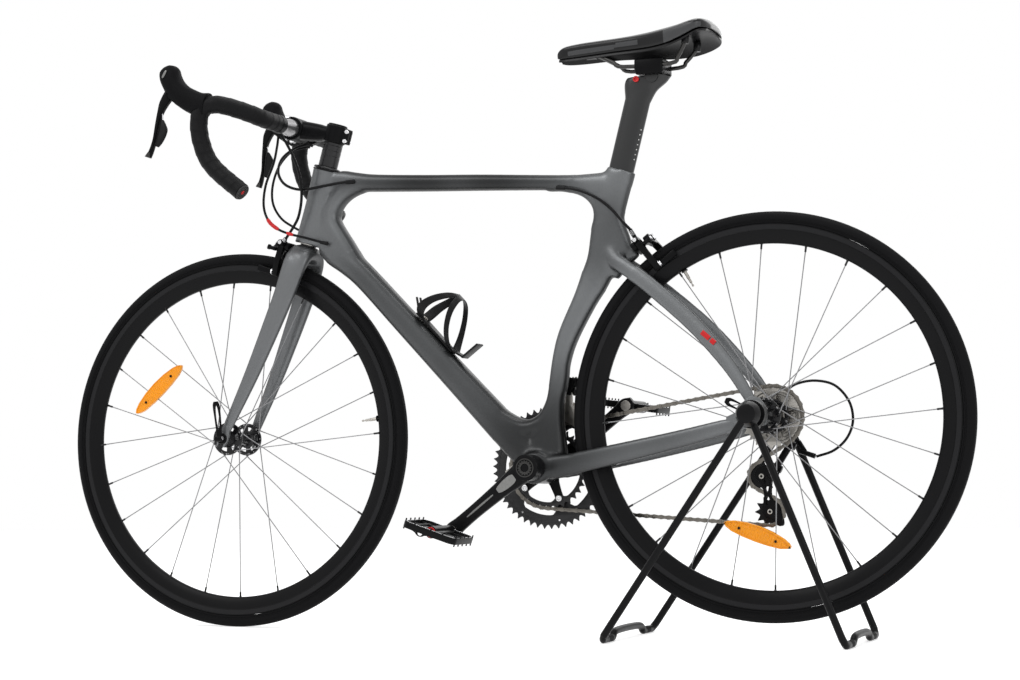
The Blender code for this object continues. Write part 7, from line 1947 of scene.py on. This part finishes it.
def build_derailleurs(settings):
    """Rear: bracket, link, knuckle, pulley cage and pulleys. Front: body and cage."""
    dressed("rear_derailleur_bracket", "frame", "black_metal", "black_metal", 0.0008)
    dressed("rear_derailleur_link", "rear_derailleur_link", "black_metal", "black_metal", 0.0012)
    dressed("rear_derailleur_knuckle", "rear_derailleur_knuckle", "black_metal", "black_metal", 0.0009)
    low, high = FIRST_COG_Y - 0.0052, FIRST_COG_Y + 0.0054
    windows = [[(473, 236), (480, 240), (482, 232), (479, 214), (475, 214), (474, 226)],
        [(478, 205), (481, 200), (479, 192), (475, 192), (475, 200)]]
    windows = [rounded(w, 1) for w in windows]
    pieces = [plate("outer", [rounded(CAGE_OUTLINE, 1), *windows], FIRST_COG_Y + 0.0035, high, HERE, 0.0005),
        plate("inner", [rounded(CAGE_OUTLINE, 1), *windows], low, FIRST_COG_Y - 0.0035, HERE, 0.0005),
        rod("stub", CAGE_PIVOT + Y * (FIRST_COG_Y + 0.0043), CAGE_PIVOT + Y * (high + 0.0078), 0.005)]
    for centre in (GUIDE, TENSION):
        pieces.append(rod("axle", centre + Y * (low + 0.0004), centre + Y * (high - 0.0004), 0.0038))
    settle(joined("rear_derailleur_cage_skin", pieces), "rear_derailleur_cage", ["rear_derailleur_cage"],
        "black_metal", "black_metal", 35)
    bolts = joined("rear_derailleur_pulley_bolts",
        [socket_screw(c + Y * (high - 0.0004), Y, 0.0046, 0.0022) for c in (GUIDE, TENSION)] +
        [socket_screw(c + Y * (low + 0.0003), -Y, 0.0042, 0.0008) for c in (GUIDE, TENSION)])
    settle(bolts, "rear_derailleur_cage", [], "steel", "steel", 40)
    for name, centre in (("guide_pulley", GUIDE), ("tension_pulley", TENSION)):
        wheel = plate("wheel", [toothed((centre.x, centre.z), PULLEY_TEETH),
            circle((centre.x, centre.z), 0.0042, 32)], FIRST_COG_Y - 0.0009, FIRST_COG_Y + 0.0009, HERE,
            0.0003)
        hub = turned("hub", [(0.0042, -0.0016), (0.0092, -0.0016), (0.0098, -0.0009), (0.0098, 0.0009),
            (0.0092, 0.0016), (0.0042, 0.0016)], centre + Y * FIRST_COG_Y, ALONG_Y, 40, ring=True)
        settle(joined(name + "_skin", [wheel, hub]), name, [name], "black_plastic", "plastic", 35)
    dressed("front_derailleur_body", "frame", "black_metal", "black_metal", 0.0006)
    dressed("front_derailleur_cage", "front_derailleur_cage", "steel", "steel", 0.0003)
    anchor = [socket_screw(Vector((0.1430, 0.0345, 0.4085)), Y, 0.0042, 0.0024),
        socket_screw(Vector((0.150, 0.0285, 0.4155)), Z, 0.0016, 0.0018),
        socket_screw(Vector((0.1445, 0.0285, 0.4155)), Z, 0.0016, 0.0018)]
    settle(joined("front_derailleur_screws", anchor), "frame", [], "steel", "steel", 40)


def build_bottom_bracket(settings):
    """Both cups, each with its flange against the shell."""
    pieces = []
    for side in (-1, 1):
        profile = [(0.0124, 0.0), (0.0205, 0.0), (0.0205, BB_HALF - 0.0002), (0.0212, BB_HALF + 0.0001),
            (0.0213, BB_HALF + 0.0024), (0.0150, BB_HALF + 0.0025), (0.0146, BB_HALF + 0.0019),
            (0.0124, BB_HALF + 0.0019)]
        turn = ALONG_Y if side > 0 else Matrix.Rotation(math.radians(90), 4, "X")
        pieces.append(turned("cup", [(r, h + (0.012 if h == 0 else 0)) for r, h in profile], BB, turn, 64,
            ring=True))
    settle(joined("bottom_bracket_skin", pieces), "frame", ["bottom_bracket"], "black_metal", "hub", 30)


# Bottle cage and stand

CUP_START = 0.0795
GROOVE = (0.1137, 0.1303)
CUP_END = 0.146
CAGE_ALONG = Vector((0.6665, 0, -0.7455))
CAGE_OUT = Vector((0.7455, 0, 0.6665))
CAGE_FOOT = Vector((-0.150, 0, 0.526))
BOTTLE_RADIUS = 35.6
CAGE_ARM = [(16, 17, 9), (50, 13, 9), (72, 13, 8), (100, 18, 7), (138, 29, 6.5), (165, 37, 6), (180, 41, 7)]
CAGE_LEG = [(16, 99, 9), (40, 89, 7.5), (64, 78, 6.5), (90, 66, 6), (120, 54, 6), (155, 45, 6),
    (180, 42, 6.5)]
CAGE_STEP = Matrix.Translation((0.1098, 0, 0.0322)) @ Matrix.Rotation(math.radians(-17.5), 4, "Y")
CAGE_TOE = Matrix.Translation((0.1235, 0, 0.0528)) @ Matrix.Rotation(math.radians(6), 4, "Y")


def build_bottle_cage(settings):
    """The moulded cage: a base along the tube, two arms that meet round the bottle, toe and prongs."""
    place = Matrix((CAGE_ALONG, Y, CAGE_OUT)).transposed().to_4x4()
    place.translation = CAGE_FOOT
    base = 26.2
    middle = base + 3 + BOTTLE_RADIUS
    pieces = [block("base", (0.096, 0.022, 0.0045), place @ Matrix.Translation((0.052, 0, 0.0274)), 0.0018),
        block("step", (0.029, 0.022, 0.0035), place @ CAGE_STEP, 0.0015), block("toe", (0.0035, 0.028, 0.038),
        place @ CAGE_TOE, 0.0015)]
    for rows in (CAGE_ARM, CAGE_LEG):
        for way in (1, -1):
            rings = []
            for angle, s, half in smooth(rows, 6):
                t = math.radians(angle) * way
                out = Vector((0, math.sin(t), -math.cos(t)))
                centre = Vector((s, 0, middle)) + out * (BOTTLE_RADIUS + 1.7)
                rings.append([place @ (p / 1000) for p in oval(centre, X, out, half, 1.25, 24, 4)])
            pieces.append(skin("band", rings))
    for side in (-1, 1):
        prong = Matrix.Translation((-0.003, 0.0075 * side, 0.0372)) @ Matrix.Rotation(math.radians(34), 4,
            "Y")
        pieces.append(block("prong", (0.032, 0.006, 0.0025), place @ prong, 0.001))
    settle(joined("bottle_cage_skin", pieces), "frame", ["bottle_cage"], "black_plastic", "plastic", 40)
    bolts = []
    for s in (0.020, 0.084):
        bolts.append(socket_screw(place @ Vector((s, 0, 0.0292)), CAGE_OUT.normalized(), 0.0044, 0.0026))
        bolts.append(rod("shank", place @ Vector((s, 0, 0.018)), place @ Vector((s, 0, 0.026)), 0.0025))
    settle(joined("bottle_cage_bolts", bolts), "frame", [], "steel", "steel", 40)


def hoop_line(half, foot_x):
    """A hoop's centre line: down a leg, across the floor with a raised middle, and up the other leg."""
    axle = STAND_AXLE
    foot = Vector((foot_x, 0, STAND_RADIUS))
    leg = (foot - Vector((axle.x, 0, axle.z))).normalized()
    corner = foot - leg * 0.030
    half_path = [Vector((axle.x, half, axle.z)) + leg * 0.006,
        Vector((axle.x, half, axle.z)).lerp(Vector((corner.x, half, corner.z)), 0.5),
        Vector((corner.x, half, corner.z)),
        Vector((foot.x - leg.x * 0.010, half - 0.002, foot.z - leg.z * 0.010)),
        Vector((foot.x - leg.x * 0.001, half - 0.010, STAND_RADIUS)),
        Vector((foot.x, half - 0.026, STAND_RADIUS)), Vector((foot.x, half - 0.056, STAND_RADIUS)),
        Vector((foot.x, half - 0.080, STAND_RADIUS + 0.010))]
    other = [Vector((p.x, -p.y, p.z)) for p in reversed(half_path)]
    line = [Vector(p) for p in smooth([list(p) for p in half_path + other], 8)]
    return [Vector((p.x, p.y, max(p.z, STAND_RADIUS))) for p in line]


def build_stand(settings):
    """Bent-bar stand: two hoops, the turned cups for the axle's ends and the eyes that swing on them."""
    front = [pipe("bar", hoop_line(0.138, STAND_AXLE.x - 0.243), STAND_RADIUS, 28)]
    rear = [pipe("bar", hoop_line(0.122, STAND_AXLE.x + 0.147), STAND_RADIUS, 28)]
    for side in (-1, 1):
        profile = [(0, CUP_END), (0.0120, CUP_END - 0.0002), (0.0150, CUP_END - 0.0014),
            (0.0203, GROOVE[1] + 0.0014), (0.0205, GROOVE[1]), (0.0088, GROOVE[1]), (0.0088, GROOVE[0]),
            (0.0225, GROOVE[0]), (0.0226, GROOVE[0] - 0.001), (0.0226, 0.0968), (0.0222, 0.0955),
            (0.0168, CUP_START + 0.0006), (0.0162, CUP_START), (0.0119, CUP_START),
            (0.0115, CUP_START + 0.0004), (0.0115, 0.0905), (0, 0.0905)]
        turn = ALONG_Y if side > 0 else Matrix.Rotation(math.radians(90), 4, "X")
        front.append(turned("cup", profile, STAND_AXLE, turn, 64))
        low, high = GROOVE[0] + GAP, GROOVE[1] - GAP
        ring = [(0.0095, low), (0.0157, low), (0.0165, low + 0.0008), (0.0165, high - 0.0008), (0.0157, high),
            (0.0095, high)]
        rear.append(turned("eye", ring, STAND_AXLE, turn, 56, ring=True))
    for name, pieces in (("stand_front_hoop", front), ("stand_rear_hoop", rear)):
        made = joined(name + "_skin", pieces)
        fit(made, name, [name], "stand_black", "stand", 45)
    feet = []
    for foot_x in (STAND_AXLE.x - 0.243, STAND_AXLE.x + 0.147):
        half = 0.138 if foot_x < STAND_AXLE.x else 0.122
        group = []
        for side in (-1, 1):
            sleeve = [Vector((foot_x, side * (half - 0.028 - k * 0.004), STAND_RADIUS + 0.00025)) for
                k in range(6)]
            group.append(pipe("sleeve", sleeve, STAND_RADIUS + 0.0002, 28))
        feet.append(joined("stand_foot_sleeves", group))
    for made, name in zip(feet, ("stand_front_hoop", "stand_rear_hoop")):
        made.name = name + "_feet"
        fit(made, name, [], "tyre", "tyre", 45)


# Stage

CAMERA_SPOT = (1.31, -3.2433, 0.2151)
CAMERA_TURNS = (0.3726, 0.0772, 0.0301)
CAMERA_LENS = 71.98


def floor_material(strength):
    """A pale floor that keeps the bike's shadow, with a share of plain white that only the eye sees."""
    material = bpy.data.materials.new("Studio floor")
    material.use_nodes = True
    tree = material.node_tree
    shader = tree.nodes["Principled BSDF"]
    shader.inputs["Base Color"].default_value = (0.88, 0.88, 0.88, 1)
    shader.inputs["Roughness"].default_value = 0.9
    shader.inputs["Specular IOR Level"].default_value = 0.1
    end = tree.nodes["Material Output"]
    rays = add(tree, "LightPath")
    either = add(tree, "Math", operation="MAXIMUM")
    share = add(tree, "Math", {1: strength}, operation="MULTIPLY")
    glow = add(tree, "Emission", {"Color": (1, 1, 1, 1)})
    both = add(tree, "AddShader")
    wire_up(tree, (rays, "Is Camera Ray", either, 0), (rays, "Is Glossy Ray", either, 1),
        (either, 0, share, 0), (share, 0, glow, "Strength"), (shader, "BSDF", both, 0),
        (glow, "Emission", both, 1), (both, "Shader", end, "Surface"))
    return material


def soft_light(name, spot, target, size, watts):
    clear_choice()
    bpy.ops.object.light_add(type="AREA", location=spot)
    lamp = bpy.context.object
    lamp.name = name
    lamp.data.shape = "RECTANGLE"
    lamp.data.size, lamp.data.size_y = size
    lamp.data.energy = watts
    lamp.rotation_euler = (Vector(target) - Vector(spot)).to_track_quat("-Z", "Y").to_euler()
    return lamp


def build_stage(settings):
    """The pale floor, the lamps and the camera at the photograph's viewing angle."""
    clear_choice()
    bpy.ops.mesh.primitive_circle_add(vertices=96, radius=7.0, fill_type="NGON", location=(0, 0, 0))
    floor = bpy.context.object
    floor.name = "studio_floor"
    floor.data.materials.append(floor_material(settings.floor_white))
    world = bpy.data.worlds.new("Studio")
    bpy.context.scene.world = world
    world.use_nodes = True
    tree = world.node_tree
    tree.nodes.clear()
    end = add(tree, "OutputWorld")
    rays = add(tree, "LightPath")
    seen = add(tree, "Background", {"Color": (1, 1, 1, 1)})
    lit = add(tree, "Background", {"Color": (1, 1, 1, 1), "Strength": settings.sky_light})
    mix = add(tree, "MixShader")
    glossy = add(tree, "Math", operation="MAXIMUM")
    shown = add(tree, "Math", operation="MAXIMUM")
    wire_up(tree, (rays, "Is Glossy Ray", glossy, 0), (rays, "Is Transmission Ray", glossy, 1),
        (rays, "Is Camera Ray", shown, 0), (glossy, 0, shown, 1), (shown, 0, mix, "Fac"),
        (lit, "Background", mix, 1), (seen, "Background", mix, 2), (mix, "Shader", end, "Surface"))
    middle = (0, 0, 0.55)
    lamp = settings.lamp_light
    soft_light("key_light", (-1.6, -2.6, 3.2), middle, (2.2, 1.6), 95 * lamp)
    soft_light("top_light", (0.3, 0.2, 3.4), middle, (2.6, 1.2), 70 * lamp)
    soft_light("fill_light", (2.8, -1.6, 1.6), middle, (1.6, 1.6), 30 * lamp)
    soft_light("back_light", (0.6, 3.0, 2.2), middle, (2.4, 1.6), 40 * lamp)
    yaw, pitch, roll = CAMERA_TURNS
    turn = (Matrix.Rotation(yaw, 3, "Z") @ Matrix.Rotation(pitch, 3, "X") @
        Matrix(((math.cos(roll), 0, math.sin(roll)), (0, 1, 0), (-math.sin(roll), 0, math.cos(roll)))))
    right, forward, up = (turn.col[i] for i in range(3))
    place = Matrix((right, up, -forward)).transposed().to_4x4()
    place.translation = CAMERA_SPOT
    clear_choice()
    bpy.ops.object.camera_add()
    camera = bpy.context.object
    camera.name = "studio_camera"
    camera.matrix_world = STANCE @ place
    camera.data.lens = CAMERA_LENS
    camera.data.sensor_width = 36
    camera.data.clip_end = 60
    bpy.context.scene.camera = camera
    bpy.context.scene.view_settings.view_transform = "Standard"


# Settings, operators and panel


class RoadBikePaint(bpy.types.PropertyGroup):
    """The colours and finishes that a user would change."""

    frame_colour: bpy.props.FloatVectorProperty(name="Frame colour",
        description="Graphite paint of the frame", subtype="COLOR", size=3, default=(0.155, 0.161, 0.166),
        min=0.0, max=1.0)
    fork_colour: bpy.props.FloatVectorProperty(name="Fork colour",
        description="Lighter grey paint of the fork", subtype="COLOR", size=3, default=(0.155, 0.160, 0.165),
        min=0.0, max=1.0)
    reflector_colour: bpy.props.FloatVectorProperty(name="Reflector colour",
        description="Amber of the wheel reflectors", subtype="COLOR", size=3, default=(0.90, 0.33, 0.012),
        min=0.0, max=1.0)
    accent_colour: bpy.props.FloatVectorProperty(name="Accent colour",
        description="Red of the small anodised and printed marks", subtype="COLOR", size=3,
        default=(0.52, 0.012, 0.014), min=0.0, max=1.0)


class RoadBikeShape(bpy.types.PropertyGroup):
    """How far the forms are softened, and how the tape is wound."""

    blend_rounds: bpy.props.IntProperty(name="Tube blending",
        description="Smoothing rounds where the frame tubes flow together", default=26, min=0, max=60)
    wrap_pitch: bpy.props.FloatProperty(name="Tape wrap pitch",
        description="Distance between two turns of the bar tape", default=0.021, min=0.008, max=0.05,
        unit="LENGTH")
    wrap_height: bpy.props.FloatProperty(name="Tape lap height",
        description="How far each turn of tape stands over the last", default=0.0008, min=0.0, max=0.002,
        unit="LENGTH")


class RoadBikeStudio(bpy.types.PropertyGroup):
    """The stage's light."""

    lamp_light: bpy.props.FloatProperty(name="Lamps", description="Strength of the soft lamps", default=0.5,
        min=0.0, max=5.0)
    sky_light: bpy.props.FloatProperty(name="Sky", description="Strength of the white surroundings",
        default=0.7, min=0.0, max=3.0)
    floor_white: bpy.props.FloatProperty(name="Floor whiteness",
        description="How much of the floor is plain white instead of lit", default=0.45, min=0.0, max=1.0,
        subtype="FACTOR")


SETTINGS = {"road_bike_paint": RoadBikePaint, "road_bike_shape": RoadBikeShape,
    "road_bike_studio": RoadBikeStudio}


def run_step(context, step, group="road_bike_shape"):
    """Builds one group of pieces; anything that goes wrong is raised, never passed over."""
    if not FINISH:
        build_finishes(context.scene.road_bike_paint)
    step(getattr(context.scene, group))
    return {"FINISHED"}


class ROADBIKE_OT_stage(bpy.types.Operator):
    """Set up the floor, the lamps and the camera"""

    bl_idname = "roadbike.stage"
    bl_label = "Stage"

    def execute(self, context):
        return run_step(context, build_stage, "road_bike_studio")


class ROADBIKE_OT_cables(bpy.types.Operator):
    """Lay every cable housing along its route"""

    bl_idname = "roadbike.cables"
    bl_label = "Cable housings"

    def execute(self, context):
        return run_step(context, build_cables)


class ROADBIKE_OT_frame(bpy.types.Operator):
    """Model the frame with its blended tube joints and its small fittings"""

    bl_idname = "roadbike.frame"
    bl_label = "Frame"

    def execute(self, context):
        run_step(context, build_frame)
        return run_step(context, build_frame_trim)


class ROADBIKE_OT_fork(bpy.types.Operator):
    """Model the fork, the headset and its spacers"""

    bl_idname = "roadbike.fork"
    bl_label = "Fork and headset"

    def execute(self, context):
        run_step(context, build_fork)
        return run_step(context, build_headset)


class ROADBIKE_OT_stem(bpy.types.Operator):
    """Model the stem with its faceplate and screws"""

    bl_idname = "roadbike.stem"
    bl_label = "Stem"

    def execute(self, context):
        return run_step(context, build_stem)


class ROADBIKE_OT_handlebar(bpy.types.Operator):
    """Bend the handlebar and wind its tape"""

    bl_idname = "roadbike.handlebar"
    bl_label = "Handlebar and tape"

    def execute(self, context):
        run_step(context, build_handlebar)
        for side in (-1, 1):
            build_tape(side, context.scene.road_bike_shape)
        return {"FINISHED"}


class ROADBIKE_OT_controls(bpy.types.Operator):
    """Model the hoods, the brake levers and the shift paddles"""

    bl_idname = "roadbike.controls"
    bl_label = "Brake and shift levers"

    def execute(self, context):
        for side in (-1, 1):
            build_controls(side, context.scene.road_bike_shape)
        return {"FINISHED"}


class ROADBIKE_OT_brakes(bpy.types.Operator):
    """Model the front and rear calipers"""

    bl_idname = "roadbike.brakes"
    bl_label = "Brake calipers"

    def execute(self, context):
        build_brake("front", FRONT_CALIPER, -1, "steering")
        build_brake("rear", REAR_CALIPER, 1, "frame")
        return {"FINISHED"}


class ROADBIKE_OT_seat(bpy.types.Operator):
    """Model the seatpost, its clamp and the saddle"""

    bl_idname = "roadbike.seat"
    bl_label = "Seatpost and saddle"

    def execute(self, context):
        run_step(context, build_seatpost)
        return run_step(context, build_saddle)


class ROADBIKE_OT_wheels(bpy.types.Operator):
    """Model tyres, rims, hubs, spokes, reflectors and skewers"""

    bl_idname = "roadbike.wheels"
    bl_label = "Wheels"

    def execute(self, context):
        return run_step(context, build_wheels)


class ROADBIKE_OT_drive(bpy.types.Operator):
    """Model the bottom bracket, cranks, chainrings, cassette, chain and pedals"""

    bl_idname = "roadbike.drive"
    bl_label = "Drive"

    def execute(self, context):
        for step in (build_bottom_bracket, build_cranks, build_chainrings, build_cassette, build_chain):
            run_step(context, step)
        for side in (-1, 1):
            build_pedal(side, context.scene.road_bike_shape)
        return {"FINISHED"}


class ROADBIKE_OT_derailleurs(bpy.types.Operator):
    """Model both derailleurs and the pulleys"""

    bl_idname = "roadbike.derailleurs"
    bl_label = "Derailleurs"

    def execute(self, context):
        return run_step(context, build_derailleurs)


class ROADBIKE_OT_extras(bpy.types.Operator):
    """Model the bottle cage and the display stand"""

    bl_idname = "roadbike.extras"
    bl_label = "Bottle cage and stand"

    def execute(self, context):
        run_step(context, build_bottle_cage)
        return run_step(context, build_stand)


OPERATORS = (ROADBIKE_OT_stage, ROADBIKE_OT_cables, ROADBIKE_OT_frame, ROADBIKE_OT_fork, ROADBIKE_OT_stem,
    ROADBIKE_OT_handlebar, ROADBIKE_OT_controls, ROADBIKE_OT_brakes, ROADBIKE_OT_seat, ROADBIKE_OT_wheels,
    ROADBIKE_OT_drive, ROADBIKE_OT_derailleurs, ROADBIKE_OT_extras)


class ROADBIKE_PT_panel(bpy.types.Panel):
    """The bike's settings and its building steps, in order"""

    bl_idname = "ROADBIKE_PT_panel"
    bl_label = "Road bike"
    bl_space_type = "VIEW_3D"
    bl_region_type = "UI"
    bl_category = "Road bike"

    def draw(self, context):
        for name, kind in SETTINGS.items():
            box = self.layout.box()
            for field in kind.__annotations__:
                box.prop(getattr(context.scene, name), field)
        for operator in OPERATORS:
            self.layout.operator(operator.bl_idname)


def register():
    for kind in (*SETTINGS.values(), *OPERATORS, ROADBIKE_PT_panel):
        bpy.utils.register_class(kind)
    for name, kind in SETTINGS.items():
        setattr(bpy.types.Scene, name, bpy.props.PointerProperty(type=kind))


def unregister():
    for name in SETTINGS:
        delattr(bpy.types.Scene, name)
    for kind in (ROADBIKE_PT_panel, *reversed(OPERATORS), *SETTINGS.values()):
        bpy.utils.unregister_class(kind)


def main():
    register()
    for operator in OPERATORS:
        family, step = operator.bl_idname.split(".")
        getattr(getattr(bpy.ops, family), step)()


if __name__ == "__main__":
    main()
